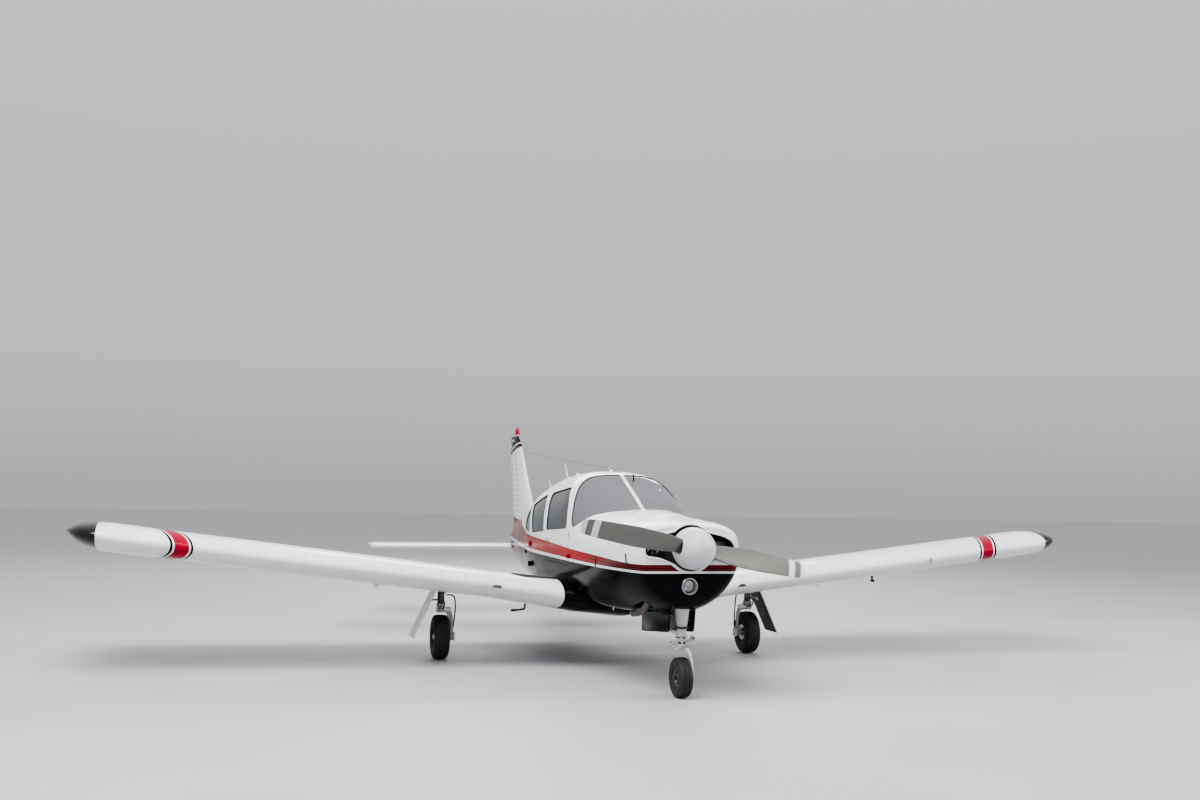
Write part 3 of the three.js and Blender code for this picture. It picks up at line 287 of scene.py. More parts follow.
def rounded(points, radius=0.0, steps=6):
    """An outline with its corners rounded; each point is (u, v) or (u, v, its own radius)."""
    made, count = [], len(points)
    for i, point in enumerate(points):
        here = np.array(point[:2], float)
        back = np.array(points[i - 1][:2]) - here
        ahead = np.array(points[(i + 1) % count][:2]) - here
        reach = min(point[2] if len(point) > 2 else radius, 0.49 * np.hypot(*back), 0.49 * np.hypot(*ahead))
        if reach <= 0:
            made.append(here)
            continue
        a, b = here + back / np.hypot(*back) * reach, here + ahead / np.hypot(*ahead) * reach
        made += [(1 - t) ** 2 * a + 2 * t * (1 - t) * here + t * t * b
            for t in np.linspace(0, 1, steps + 1)]
    return np.array(made)


def inward(points, distance):
    """The same outline with each edge drawn in by a distance."""
    flat = np.array([p[:2] for p in points], float)
    ahead = np.roll(flat, -1, 0) - flat
    turn = np.sign((flat[:, 0] * np.roll(flat[:, 1], -1) - np.roll(flat[:, 0], -1) * flat[:, 1]).sum())
    normal = turn * np.stack([-ahead[:, 1], ahead[:, 0]], -1) / np.linalg.norm(ahead, axis=1)[:, None]
    before = np.roll(normal, 1, 0)
    push = (before + normal) * distance / (1 + (before * normal).sum(1))[:, None]
    return [tuple(p) + tuple(q[2:]) for p, q in zip(flat + push, points)]


def placed(outline, depth, axis):
    """An outline at a depth: (station, z) along x, (x, z) along y and (x, station) along z."""
    u, v, w = outline[:, 0], outline[:, 1], np.full(len(outline), depth)
    return np.stack({"x": (w, u + DATUM, v), "y": (u, w + DATUM, v), "z": (u, v + DATUM, w)}[axis], -1)


def prism(outline, low, high, axis="x"):
    """An outline pushed along an axis, as a cutting tool."""
    return loft("prism", [placed(outline, end, axis) for end in (low, high)])


def crate(low, high):
    """A plain box used as a cutting tool, from one corner to the other in x, station and z."""
    outline = np.array([[low[0], low[2]], [high[0], low[2]], [high[0], high[2]], [low[0], high[2]]])
    return prism(outline, low[1], high[1], "y")


print("outlines ready")

# %% [markdown]
# Openings are cut with booleans, because a cut edge is as crisp as a sawn one and follows any curve.
# Each cut is applied at once, so that no modifier is left behind.

# %% cutting


def bake(obj):
    """Applies an object's modifiers to its mesh."""
    mesh = bpy.data.meshes.new_from_object(obj.evaluated_get(bpy.context.evaluated_depsgraph_get()))
    obj.modifiers.clear()
    obj.data = mesh
    return obj


def discard(*objs):
    for obj in objs:
        bpy.data.objects.remove(obj, do_unlink=True)


def carve(obj, *tools, how="DIFFERENCE", keep=False):
    """Cuts obj with each tool in turn, or leaves what they share, or joins them."""
    for tool in tools:
        modifier = obj.modifiers.new("cut", "BOOLEAN")
        modifier.operation, modifier.solver, modifier.object = how, "MANIFOLD", tool
    bake(obj)
    if not keep:
        discard(*tools)
    return obj


def twin(obj, name):
    """A second object with its own copy of the mesh."""
    other = bpy.data.objects.new(name, obj.data.copy())
    collection.objects.link(other)
    return other


print("cutting ready")

# %% [markdown]
# Each piece gets smooth shading with creases at its edges, and its own list of finishes.
# The values of all its faces or corners are read at once into an array, which is quicker than one by one.

# %% skins and finishes


def soften(obj, angle=35):
    """Smooth shading with creases where faces meet at more than the angle."""
    obj.data.shade_smooth()
    obj.data.set_sharp_from_angle(angle=radians(angle))
    return obj


def hull(start, end, inset=0.0, spacing=0.03, count=128):
    """The fuselage between two stations, its skin drawn in by the inset."""
    stations = np.linspace(start, end, max(2, round((end - start) / spacing) + 1))
    return loft("hull", [hoop(s, inset, count) for s in stations])


def coated(obj, *materials, angle=35):
    """Smooth shading and a new list of finishes."""
    soften(obj, angle).data.materials.clear()
    for material in materials:
        obj.data.materials.append(material)
    return obj


def vectors(items, name):
    """A vector of each item of a mesh, as rows of an array."""
    values = np.zeros(len(items) * 3)
    items.foreach_get(name, values)
    return values.reshape(-1, 3)


def numbers(items, name):
    """A whole number of each item of a mesh."""
    values = np.zeros(len(items), int)
    items.foreach_get(name, values)
    return values


print("finishing helpers ready")

# %% [markdown]
# A cut leaves long thin faces on a curved skin, and their shading would ripple.
# So the skin's own formula gives the shading there, and the direction of a face picks its finish.

# %% skin, lining and floor


def dress(obj, materials, floor=None):
    """Sorts a piece of the fuselage into skin, lining and floor; curved faces get the skin's own normals."""
    mesh = coated(obj, *materials).data
    n = len(mesh.polygons)
    centre, facing = vectors(mesh.polygons, "center"), vectors(mesh.polygons, "normal")
    corner, vertex = vectors(mesh.corner_normals, "vector"), numbers(mesh.loops, "vertex_index")
    outward = skin_normals(centre)[0]
    share = (outward * facing).sum(1)
    level = np.zeros(n, bool) if floor is None else (
        (np.abs(centre[:, 2] - floor) < 0.002) & (facing[:, 2] > 0.98))
    index = np.zeros(n, int)
    index[(share < -0.9) & ~level] = 1
    index[level] = 2
    mesh.polygons.foreach_set("material_index", np.minimum(index, len(materials) - 1))
    owner = np.repeat(np.arange(n), numbers(mesh.polygons, "loop_total"))
    curved = (np.abs(share) > 0.93)[owner] & ~level[owner]
    smooth = skin_normals(vectors(mesh.vertices, "co"))[0][vertex] * np.sign(share)[owner][:, None]
    corner[curved] = smooth[curved]
    mesh.normals_split_custom_set([tuple(v) for v in corner])
    return obj


def finished(obj, name, body, slot, *nodes):
    """Names a piece, puts it on its body and lets it stand for its CAD nodes."""
    obj.name = name
    obj.data.name = name
    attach(obj, body)
    if nodes:
        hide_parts(*nodes)
    return obj


print("shapes ready")

# %% [markdown]
# Finishes are small node graphs: noise, distances and curves drive colour, roughness and bump.
# A short helper adds nodes and joins them, so that each finish reads like a formula.

# %% node helper


class Graph:
    """A material whose nodes are added and joined by calls."""

    def __init__(self, name):
        self.material = bpy.data.materials.new(name)
        self.material.use_nodes = True
        self.nodes, self.links = self.material.node_tree.nodes, self.material.node_tree.links
        self.shader = self.nodes["Principled BSDF"]
        self.place = self.nodes.new("ShaderNodeTexCoord").outputs["Object"]
        self.flow = None
        self.matt = 0.0

    def feed(self, socket, value):
        if isinstance(value, bpy.types.NodeSocket):
            self.links.new(value, socket)
        elif socket.type == "RGBA":
            socket.default_value = (*value, 1)[:4]
        else:
            socket.default_value = value

    def math(self, operation, *values, clamp=False):
        node = self.nodes.new("ShaderNodeMath")
        node.operation, node.use_clamp = operation, clamp
        for socket, value in zip(node.inputs, values):
            self.feed(socket, value)
        return node.outputs[0]

    def plus(self, a, b):
        return self.math("ADD", a, b)

    def minus(self, a, b):
        return self.math("SUBTRACT", a, b)

    def times(self, a, b):
        return self.math("MULTIPLY", a, b)

    def scaled(self, a, b, c, clamp=False):
        """a times b, plus c."""
        return self.math("MULTIPLY_ADD", a, b, c, clamp=clamp)

    def axes(self, vector=None):
        node = self.nodes.new("ShaderNodeSeparateXYZ")
        self.feed(node.inputs[0], self.place if vector is None else vector)
        return node.outputs

    def flows(self):
        """How far along and how far around a loft the point lies."""
        if self.flow is None:
            node = self.nodes.new("ShaderNodeUVMap")
            node.uv_map = "flow"
            self.flow = self.axes(node.outputs[0])
        return self.flow

    def noise(self, scale, detail=4.0, rough=0.5, stretch=None):
        vector = self.place
        if stretch:
            node = self.nodes.new("ShaderNodeVectorMath")
            node.operation = "MULTIPLY"
            self.feed(node.inputs[0], self.place)
            node.inputs[1].default_value = stretch
            vector = node.outputs[0]
        node = self.nodes.new("ShaderNodeTexNoise")
        for name, value in (("Vector", vector), ("Scale", scale), ("Detail", detail), ("Roughness", rough)):
            self.feed(node.inputs[name], value)
        return node.outputs["Fac"]

    def span(self, value, low, high, to_low=0.0, to_high=1.0):
        node = self.nodes.new("ShaderNodeMapRange")
        for socket, v in zip(node.inputs, (value, low, high, to_low, to_high)):
            self.feed(socket, v)
        return node.outputs[0]

    def curve(self, value, points, low, high):
        """A smooth function of a value through points, whose outputs lie between low and high."""
        first, last = points[0][0], points[-1][0]
        node = self.nodes.new("ShaderNodeFloatCurve")
        line = node.mapping.curves[0]
        for i, (x, y) in enumerate(points):
            x, y = (x - first) / (last - first), (y - low) / (high - low)
            if i < 2:
                line.points[i].location = (x, y)
            else:
                line.points.new(x, y)
        node.mapping.update()
        self.feed(node.inputs["Value"], self.span(value, first, last))
        return self.span(node.outputs[0], 0, 1, low, high)

    def mix(self, share, a, b):
        node = self.nodes.new("ShaderNodeMix")
        node.data_type = "RGBA"
        self.feed(node.inputs[0], share)
        self.feed(node.inputs[6], a)
        self.feed(node.inputs[7], b)
        return node.outputs[2]

    def above(self, value, edge, blur=0.0012):
        """One where value passes edge, with a soft step as wide as the blur."""
        return self.scaled(self.minus(value, edge), 1 / blur, 0.5, clamp=True)

    def inside(self, value, low, high, blur=0.0012):
        return self.times(self.above(value, low, blur), self.above(high, value, blur))

    def all(self, *values):
        whole = values[0]
        for value in values[1:]:
            whole = self.times(whole, value)
        return whole

    def any(self, *values):
        whole = values[0] if values else 0.0
        for value in values[1:]:
            whole = self.math("MAXIMUM", whole, value)
        return whole

    def near(self, value, places, width):
        """One within half the width of any of the places."""
        return self.any(*[self.math("COMPARE", value, p, width / 2) for p in places])

    def gap(self, value, spacing, offset=0.0):
        """The distance to the nearest multiple of the spacing."""
        return self.math("PINGPONG", self.plus(value, offset), spacing / 2)

    def bump(self, height, distance, strength=1.0):
        node = self.nodes.new("ShaderNodeBump")
        node.inputs["Strength"].default_value = strength
        node.inputs["Distance"].default_value = distance
        self.feed(node.inputs["Height"], height)
        return node.outputs["Normal"]

    def shade(self, **values):
        for name, value in values.items():
            self.feed(self.shader.inputs[name.replace("_", " ").title().replace("Ior", "IOR")], value)
        return self.material


def tinted(g, colour, spread, scale=3.0):
    """A colour that wanders a little lighter and darker with the noise."""
    dark = tuple(c * (1 - spread) for c in colour)
    light = tuple(min(1, c * (1 + spread)) for c in colour)
    return g.mix(g.noise(scale, 3), dark, light)


def plain(name, colour, roughness, spread=0.08, grain=400.0, depth=0.0003, wander=0.12, scale=6.0,
        **values):
    """A finish with wandering colour and roughness and a fine grain."""
    g = Graph(name)
    rough = g.span(g.noise(scale * 2, 5), 0.3, 0.7, max(0.02, roughness - wander),
        min(1, roughness + wander))
    return g.shade(
        base_color=tinted(g, colour, spread, scale), roughness=rough,
        normal=g.bump(g.noise(grain, 3), depth), **values)


print("node helper ready")

# %% [markdown]
# The paint scheme follows the photograph: glossy black below, a white line, a red band and white above.
# The band's edges are curves of the station, and it turns maroon with a dark line in it near the nose.
# Behind the cabin it widens until the whole tail cone under the fin is red-brown.
# Panel lines and rivets are bumps on the same loft lengths, with a little dust low down.

# %% paint
WHITE, BLACK = (0.8, 0.81, 0.82), (0.004, 0.004, 0.005)
RED, MAROON, TAIL_RED = (0.33, 0.005, 0.008), (0.07, 0.004, 0.014), (0.17, 0.03, 0.018)
BAND_TOP = [(0.0, 1.066), (0.4, 1.071), (0.9, 1.089), (1.86, 1.109), (2.8, 1.135), (3.9, 1.159), (4.6, 1.2),
    (5.2, 1.262), (5.7, 1.3), (7.5, 1.3)]
FRAMES = [1.1, 1.39, 3.36, 3.62, 4.42, 4.95, 5.5, 6.05, 6.33]
LINES_ROUND = [0.3, 0.62, 1.02, 1.45]


def rivets(g, across, along, spacing=0.028, radius=0.0022):
    """Small round heads in a row: across is the distance from the row, along the length down it."""
    apart = g.math("SQRT", g.plus(g.times(across, across),
        g.times(g.gap(along, spacing), g.gap(along, spacing))))
    return g.scaled(apart, -1 / radius, 1.0, clamp=True)


def white_colour(g):
    return g.mix(g.span(g.noise(0.8, 5), 0.35, 0.75), WHITE, (0.7, 0.71, 0.71))


def black_colour(g):
    return g.mix(g.span(g.noise(3.5, 6, 0.7), 0.55, 0.8, 0.0, 0.25), BLACK, (0.03, 0.028, 0.025))


def painted(g, colour, lines, heads, gloss=0.05):
    """Coated paint over panel lines and rivet heads, wandering a little in gloss."""
    dust = g.noise(2.2, 6, 0.6)
    rough = g.math("MAXIMUM", g.span(dust, 0.35, 0.7, 0.12, 0.22), g.times(g.matt, 0.9))
    ripple = g.times(g.noise(5.0, 2), 0.5)
    height = g.plus(g.minus(heads, g.times(lines, 2.0)), ripple)
    shown = g.mix(g.times(lines, 0.5), colour, (0.06, 0.06, 0.06))
    return g.shade(
        base_color=shown, roughness=rough, normal=g.bump(height, 0.0006),
        coat_weight=gloss * 0.6, coat_roughness=0.06, specular_ior_level=gloss)


print("paint helpers ready")

# %% [markdown]
# The fuselage wears all of it at once: each colour has an edge that is a formula of station and height.

# %% livery


def livery():
    g = Graph("livery")
    x, y, z = g.axes()
    station = g.minus(y, DATUM)
    around = g.flows()[1]
    top = g.curve(station, BAND_TOP, 1.0, 1.4)
    rise = g.span(station, 0.3, 4.5, 0.0, 0.018)
    line_low = g.minus(1.003, rise)
    line_high = g.plus(line_low, g.span(station, 0.2, 3.5, 0.018, 0.034))
    lean = g.scaled(z, -1.4, g.math("ABSOLUTE", x))
    behind = g.above(station, 0.8, 0.01)
    band = g.all(g.inside(z, g.plus(line_high, 0.004), top),
        g.any(behind, g.above(lean, -1.33, 0.004)))
    edge = g.all(g.inside(z, line_high, g.plus(top, 0.005)),
        g.any(behind, g.above(lean, -1.339, 0.004)))
    middle = g.minus(z, g.times(g.plus(top, line_high), 0.5))
    groove = g.all(
        g.inside(middle, -0.0035, 0.0035), g.above(1.25, station, 0.9))
    nose = g.above(1.0, station, 0.9)
    tail = g.above(station, 4.4, 1.2)
    grain = g.noise(1.7, 4)
    red = g.mix(nose, RED, MAROON)
    red = g.mix(tail, red, TAIL_RED)
    red = g.mix(g.span(grain, 0.3, 0.8, 0.0, 0.3), red, (0.42, 0.05, 0.03))
    red = g.mix(groove, red, (0.02, 0.004, 0.006))
    colour = g.mix(edge, white_colour(g), (0.02, 0.008, 0.01))
    colour = g.mix(band, colour, red)
    colour = g.mix(g.above(line_low, z), colour, black_colour(g))
    colour = g.mix(g.all(g.above(station, 5.05, 0.3), g.above(line_low, z)), colour, TAIL_RED)
    lines = g.any(
        g.near(station, FRAMES, 0.0022),
        g.all(g.near(around, LINES_ROUND, 0.0022), g.above(station, 4.42)),
        g.all(g.near(station, [0.252], 0.002), g.above(z, 1.031)),
        g.all(g.near(z, [1.0305], 0.003), g.above(1.1, station)))
    rows = [rivets(g, g.minus(station, s + d), around) for s in FRAMES for d in (-0.014, 0.014)]
    rows += [g.all(rivets(g, g.minus(around, a + 0.014), station), g.above(station, 4.42))
        for a in LINES_ROUND]
    return painted(g, colour, lines, g.any(*rows))


paint = livery()
print("livery ready")

# %% [markdown]
# Wings, fin and tips have white paint with their own bands, cut across the span or at a slant.
# The walkway on the right wing is a matt grey patch on the upper skin alone.

# %% paint of wings and tail


def panel_paint(name, colour_of, lines_along, lines_around, spacing=0.028, gloss=0.05):
    """Paint on a wing or a tail surface; its rivet rows run along and across the span."""
    g = Graph(name)
    along, around, _ = g.flows()
    lines = g.any(g.near(along, lines_along, 0.002), g.near(around, lines_around, 0.002))
    rows = [rivets(g, g.minus(along, a), around, spacing) for a in lines_along]
    rows += [rivets(g, g.minus(around, a + 0.012), along, spacing) for a in lines_around]
    return painted(g, colour_of(g), lines, g.any(*rows), gloss)


CRIMSON, BAND_SLANT = (0.33, 0.008, 0.028), 0.44
WING_BANDS = [(3.866, 4.055, BLACK), (3.885, 4.033, WHITE), (3.9, 4.018, CRIMSON)]
FIN_BANDS = [(2.178, 9, BLACK), (2.192, 2.226, MAROON), (2.232, 2.248, WHITE)]
FOOT_LINE, FOOT_TOP = 1.2436, 1.2396


def wing_colour(g):
    """White, with slanting bands near the tip, a walkway on the right and a black root."""
    x, y, z = g.axes()
    out = g.minus(g.math("ABSOLUTE", x), g.times(g.minus(y, DATUM + 2.02), BAND_SLANT))
    colour = white_colour(g)
    for low, high, band in WING_BANDS:
        colour = g.mix(g.inside(out, low, high), colour, band)
    upright = g.axes(g.nodes.new("ShaderNodeTexCoord").outputs["Normal"])[2]
    walk = g.all(
        g.inside(g.times(x, -1.0), 0.6, 1.02, 0.003),
        g.inside(y, DATUM + 2.09, DATUM + 3.24, 0.003), g.above(upright, 0.2, 0.1),
        g.above(g.plus(x, y), DATUM + 1.17, 0.003))
    g.matt = walk
    colour = g.mix(walk, colour, g.mix(g.noise(260, 2), (0.02, 0.02, 0.022), (0.07, 0.07, 0.074)))
    return g.mix(g.above(0.615, g.math("ABSOLUTE", x), 0.002), colour, black_colour(g))


def tail_colour(g):
    """White, with a black cap at the fin's top above two slanting bands, a red-brown foot and painted shade
    beside the pressed beads.
    """
    x, y, z = g.axes()
    station = g.minus(y, DATUM)
    slant = g.scaled(g.minus(station, 6.9), 0.16, z)
    foot = g.scaled(g.minus(station, 6.52), -0.0556, z)
    colour = white_colour(g)
    for low, high, band in FIN_BANDS:
        colour = g.mix(g.inside(slant, low, high), colour, band)
    colour = g.mix(g.above(FOOT_LINE, foot), colour, BLACK)
    colour = g.mix(g.above(FOOT_TOP, foot), colour, TAIL_RED)
    # Painted shade: short dark grey lines beside each pressed bead of fin and rudder, where the bead's flank
    # falls into shade.
    aft = g.scaled(z, -0.4009, g.minus(station, 6.2431))
    marks = g.all(g.above(0.0075, g.gap(z, 0.0685, 0.014), 0.003), g.inside(z, 1.27, 2.12),
        g.any(g.inside(aft, 0.07, 0.225, 0.01), g.inside(aft, -0.185, -0.085, 0.01)))
    return g.mix(g.times(marks, 0.85), colour, (0.12, 0.12, 0.125))


def tip_colour(g):
    """White up to a slanting edge, then black."""
    x, y, z = g.axes()
    out = g.scaled(g.minus(y, DATUM + 2.02), -0.03, g.math("ABSOLUTE", x))
    return g.mix(g.above(out, TIP_EDGE), white_colour(g), BLACK)


wing_paint = panel_paint("wing_paint", wing_colour, [0.86, 1.35, 1.95, 2.55, 3.15, 3.72],
    [0.22, 0.62, 1.02])
fin_paint = panel_paint("fin_paint", tail_colour, [0.16, 0.55, 0.9], [0.1, 0.42])
white_paint = panel_paint("white_paint", white_colour, [0.5, 1.0, 1.5], [0.12, 0.45])
gloss_white = panel_paint("gloss_white", white_colour, [], [0.004])
gloss_black = panel_paint("gloss_black", black_colour, [], [0.004])
TIP_EDGE = 4.643
tip_paint = panel_paint("tip_paint", tip_colour, [], [0.004], gloss=0.3)
print("paint ready")

# %% [markdown]
# The other finishes are metals, rubber, glass, plastics and cloth, each with its own grain and wear.

# %% other finishes
metal = plain("metal", (0.56, 0.57, 0.58), 0.34, metallic=1.0, depth=0.0002, grain=260.0)
steel = plain("steel", (0.42, 0.42, 0.43), 0.24, metallic=1.0, depth=0.0001)
chrome = plain("chrome", (0.72, 0.73, 0.74), 0.1, metallic=1.0, depth=0.00005, wander=0.05)
cast = plain("cast", (0.2, 0.2, 0.205), 0.62, metallic=0.85, depth=0.0008, grain=180.0, spread=0.25)
exhaust_metal = plain("exhaust_metal", (0.13, 0.105, 0.09), 0.5, metallic=0.7, depth=0.0004, spread=0.3,
    scale=20.0)
dark_metal = plain("dark_metal", (0.055, 0.055, 0.058), 0.55, metallic=0.6, depth=0.0005, spread=0.3)
gear_white = plain("gear_white", (0.44, 0.44, 0.42), 0.38, spread=0.14, scale=14.0, depth=0.0003,
    coat_weight=0.2)
cream = plain("cream", (0.4, 0.38, 0.27), 0.45, spread=0.2)
# Painted shade: the main legs' strut, stay and torque links are dark grey, standing for the shade under the
# wing.
shaded_gear_grey = plain("shaded_gear_grey", (0.11, 0.11, 0.11), 0.42, spread=0.4, scale=30.0, specular_ior_level=0.3)
rubber = plain("rubber", (0.012, 0.012, 0.013), 0.78, spread=0.35, scale=9.0, depth=0.0006, grain=320.0)
hose = plain("hose", (0.01, 0.01, 0.011), 0.5, depth=0.0003)
black_plastic = plain("black_plastic", (0.012, 0.012, 0.013), 0.45, depth=0.0004, grain=600.0)
seal = plain("seal", (0.018, 0.018, 0.018), 0.6, depth=0.0003)
sealant = plain("sealant", (0.44, 0.43, 0.36), 0.7, depth=0.0006, grain=120.0)
lining = plain("lining", (0.34, 0.32, 0.29), 0.8, spread=0.12, depth=0.0008, grain=220.0)
carpet = plain("carpet", (0.055, 0.045, 0.04), 0.95, spread=0.4, scale=60.0, depth=0.003, grain=700.0)
face_plastic = plain("face_plastic", (0.022, 0.022, 0.024), 0.6, depth=0.0005, grain=500.0)
print("finishes ready")

# %% [markdown]
# Cloth, glass, tyres and lenses have a pattern of their own: a weave, a haze, moulding lines or ribs.
# A wave, a distance or noise makes it, as a bump too fine to be worth any faces.

# %% cloth, glass, rubber and lenses


def cloth_finish():
    """Woven seat cloth: two crossing sets of threads, with a tone that wanders with noise."""
    g = Graph("seat_cloth")
    x, y, z = g.axes()
    weave = g.times(g.math("SINE", g.times(g.plus(y, z), 2600.0)),
        g.math("SINE", g.times(x, 2600.0)))
    colour = g.mix(g.noise(40, 5), (0.045, 0.036, 0.03), (0.085, 0.068, 0.056))
    height = g.plus(g.times(weave, 0.4), g.noise(25, 4))
    return g.shade(base_color=colour, roughness=g.span(g.noise(12, 4), 0.3, 0.7, 0.78, 0.95),
        normal=g.bump(height, 0.0012), sheen_weight=0.25, sheen_roughness=0.5)


def glass_finish(name, tint, roughness, clear=1.0):
    """Clear sheet with faint haze and scratches."""
    g = Graph(name)
    haze = g.span(g.noise(3.0, 6, 0.65), 0.5, 0.8, roughness, roughness + 0.05)
    return g.shade(base_color=g.mix(g.noise(1.5, 3), tint, tuple(min(1, c * 1.03) for c in tint)),
        roughness=haze, transmission_weight=clear, ior=1.45,
        normal=g.bump(g.noise(1.6, 2), 0.002, 0.25))


def tyre_finish():
    """Black rubber with a dusty tread and fine moulding lines round the wall."""
    g = Graph("tyre_rubber")
    along, around, _ = g.flows()
    dust = g.span(g.noise(14, 6, 0.7), 0.45, 0.75)
    colour = g.mix(g.times(dust, 0.5), (0.011, 0.011, 0.012), (0.055, 0.05, 0.045))
    height = g.plus(g.noise(380, 3), g.times(g.gap(along, 0.004), 60.0))
    return g.shade(base_color=colour, roughness=g.span(dust, 0, 1, 0.62, 0.88),
        normal=g.bump(height, 0.0005))


def lens_finish(name, colour):
    """Moulded lens plastic with fine ribs across it."""
    g = Graph(name)
    ribs = g.gap(g.axes()[2], 0.006)
    return g.shade(base_color=tinted(g, colour, 0.1, 20), roughness=0.12, transmission_weight=0.6, ior=1.48,
        normal=g.bump(g.times(ribs, 200.0), 0.0006))


cloth = cloth_finish()
side_glass = glass_finish("side_glass", (0.19, 0.21, 0.21), 0.015, 0.9)
screen_glass = glass_finish("screen_glass", (0.3, 0.29, 0.315), 0.02, 0.58)
lens_clear = glass_finish("lens_clear", (0.95, 0.96, 0.97), 0.01)
tyre_rubber = tyre_finish()
red_lens = lens_finish("red_lens", (0.55, 0.015, 0.02))
green_lens = lens_finish("green_lens", (0.02, 0.35, 0.1))
print("cloth, glass, rubber and lenses ready")

# %% [markdown]
# The cabin and the cowl are real shells: a skin loft with a smaller loft cut out of it.
# Doors, windows and the windscreen are outlines seen from the side, pushed through the shell.
# After cutting, the faces take their normals from the exact skin, so the gloss stays even up to each edge.

# %% cabin and doors
FLOOR_Z, WALL = 0.74, 0.034
WINDOWS = {
    "front": [(1.982, 1.293, 0.08), (2.806, 1.248, 0.04), (2.842, 1.42, 0.06), (2.948, 1.618, 0.07),
        (2.188, 1.676, 0.02), (2.036, 1.51, 0.06)],
    "middle": [(2.938, 1.232, 0.02), (3.53, 1.194, 0.025), (3.65, 1.345, 0.06), (3.824, 1.48, 0.04),
        (3.162, 1.6, 0.02), (3.02, 1.465, 0.06)],
    "rear": [(3.74, 1.196, 0.02), (4.215, 1.212, 0.025), (4.29, 1.31, 0.04), (4.2, 1.405, 0.03),
        (4.01, 1.434, 0.02), (3.82, 1.31, 0.04)]}
WINDSCREEN = [(1.33, 1.5), (1.48, 1.44, 0.02), (1.6, 1.36, 0.03), (1.775, 1.308, 0.03), (1.838, 1.36, 0.03),
    (1.876, 1.46, 0.03), (1.976, 1.6, 0.06), (2.086, 1.736, 0.06), (2.118, 1.782, 0.02),
    (2.126, 1.96), (1.33, 1.96)]
DOOR = [(1.885, 0.95, 0.06), (2.868, 0.95, 0.06), (2.868, 1.26, 0.04), (3.032, 1.682, 0.05),
    (2.132, 1.718, 0.08),
    (1.938, 1.44, 0.06), (1.885, 1.29, 0.06)]
HATCH = [(3.64, 0.79, 0.05), (4.18, 0.79, 0.05), (4.18, 1.145, 0.05), (3.64, 1.145, 0.05)]
POST_HALF, DOOR_GAP = 0.017, 0.004
CABIN_FRONT, CABIN_BACK = 1.1, 4.42
OUT, IN = -0.9, -0.12

walls = hull(CABIN_FRONT, CABIN_BACK)
room = carve(hull(1.13, 4.39, WALL), crate((-1, 1.0, FLOOR_Z), (1, 4.6, 3)), how="INTERSECT")
keel = carve(hull(1.19, 4.5, WALL), crate((-1, 1.0, 0.3), (1, 4.6, 0.71)), how="INTERSECT")
carve(walls, room, keel)

screen_hole = carve(prism(rounded(WINDSCREEN), -0.9, 0.9),
    crate((-POST_HALF, 1.2, 1.2), (POST_HALF, 2.4, 2.2)))
window_holes = {name: prism(rounded(points), -0.9, 0.9) for name, points in WINDOWS.items()}
door_hole = prism(rounded(DOOR), OUT, IN)
hatch_hole = prism(rounded(HATCH), OUT, IN)

door = carve(twin(walls, "door"), prism(rounded(inward(DOOR, DOOR_GAP)), OUT, IN), how="INTERSECT")
carve(door, window_holes["front"], keep=True)
hatch = carve(twin(walls, "hatch"), prism(rounded(inward(HATCH, DOOR_GAP)), OUT, IN), how="INTERSECT")
carve(walls, screen_hole, *window_holes.values(), door_hole, hatch_hole, keep=True)
discard(screen_hole, door_hole, hatch_hole, *window_holes.values())

finished(dress(walls, [paint, lining, carpet], FLOOR_Z), "cabin_shell_skin", "airframe", "white_paint",
    "cabin_shell")
for panel, name in ((door, "cabin_door"), (hatch, "baggage_door")):
    finished(dress(panel, [paint, lining]), f"{name}_skin", name, "white_paint", name)
print("cabin faces", len(walls.data.polygons))

# %% [markdown]
# Each pane is a thin layer a few millimetres under the skin, with a dark seal strip round its edge.
# The windscreen also has the pale sealant band that shows behind its rear and top edges.

# %% windows
outer_layer, inner_layer = hull(1.15, 4.4, 0.006, 0.04), hull(1.14, 4.41, 0.011, 0.04)
pane_layer = carve(twin(outer_layer, "layer"), inner_layer, keep=True)
seal_layer = carve(hull(1.15, 4.4, -0.0016, 0.04), hull(1.14, 4.41, 0.01, 0.04))
band_layer = carve(hull(1.15, 4.4, 0.0125, 0.04), hull(1.14, 4.41, 0.0165, 0.04))
discard(outer_layer, inner_layer)


def from_layer(layer, outline, low, high, name, material, body, slot, *nodes, hole=None):
    """The part of a layer inside an outline, on one side, with the inside of a hole left out."""
    piece = carve(twin(layer, name), prism(outline, low, high), how="INTERSECT")
    if hole is not None:
        carve(piece, prism(hole, -0.95, 0.95))
    return finished(dress(piece, [material]), name, body, slot, *nodes)


for side, low, high in (("left", -IN, -OUT), ("right", OUT, IN)):
    for place, points in WINDOWS.items():
        body = "cabin_door" if (side, place) == ("right", "front") else "airframe"
        label = f"window_{side}_{place}"
        from_layer(pane_layer, rounded(inward(points, 0.001)), low, high, f"{label}_pane", side_glass, body,
            "window", label)
        from_layer(seal_layer, rounded(inward(points, -0.0015)), low, high, f"{label}_seal", seal, body,
            "tyre",
            hole=rounded(inward(points, 0.0045)))
    near, far = (POST_HALF, -OUT) if side == "left" else (OUT, -POST_HALF)
    from_layer(pane_layer, rounded(inward(WINDSCREEN, 0.001)), near, far, f"windscreen_{side}_pane",
        screen_glass,
        "airframe", "window", f"windscreen_{side}")
    inner = [(s - 0.046, z - (0.02 if z > 1.7 else 0), *r) if s > 1.8 else (s, z, *r)
        for s, z, *r in WINDSCREEN]
    from_layer(band_layer, rounded(inward(WINDSCREEN, -0.006)), near, far, f"windscreen_{side}_sealant",
        sealant,
        "airframe", "cabin_trim", hole=rounded(inner))
    from_layer(seal_layer, rounded(inward(WINDSCREEN, -0.0012)), near, far, f"windscreen_{side}_seal", seal,
        "airframe", "tyre", hole=rounded(inward(WINDSCREEN, 0.0035)))
discard(pane_layer, seal_layer, band_layer)
print("windows ready")

# %% [markdown]
# The tail cone carries the fin's foot and leaves room for the rudder and the stabilator's tube.
# A bulkhead closes the cabin behind the bags.

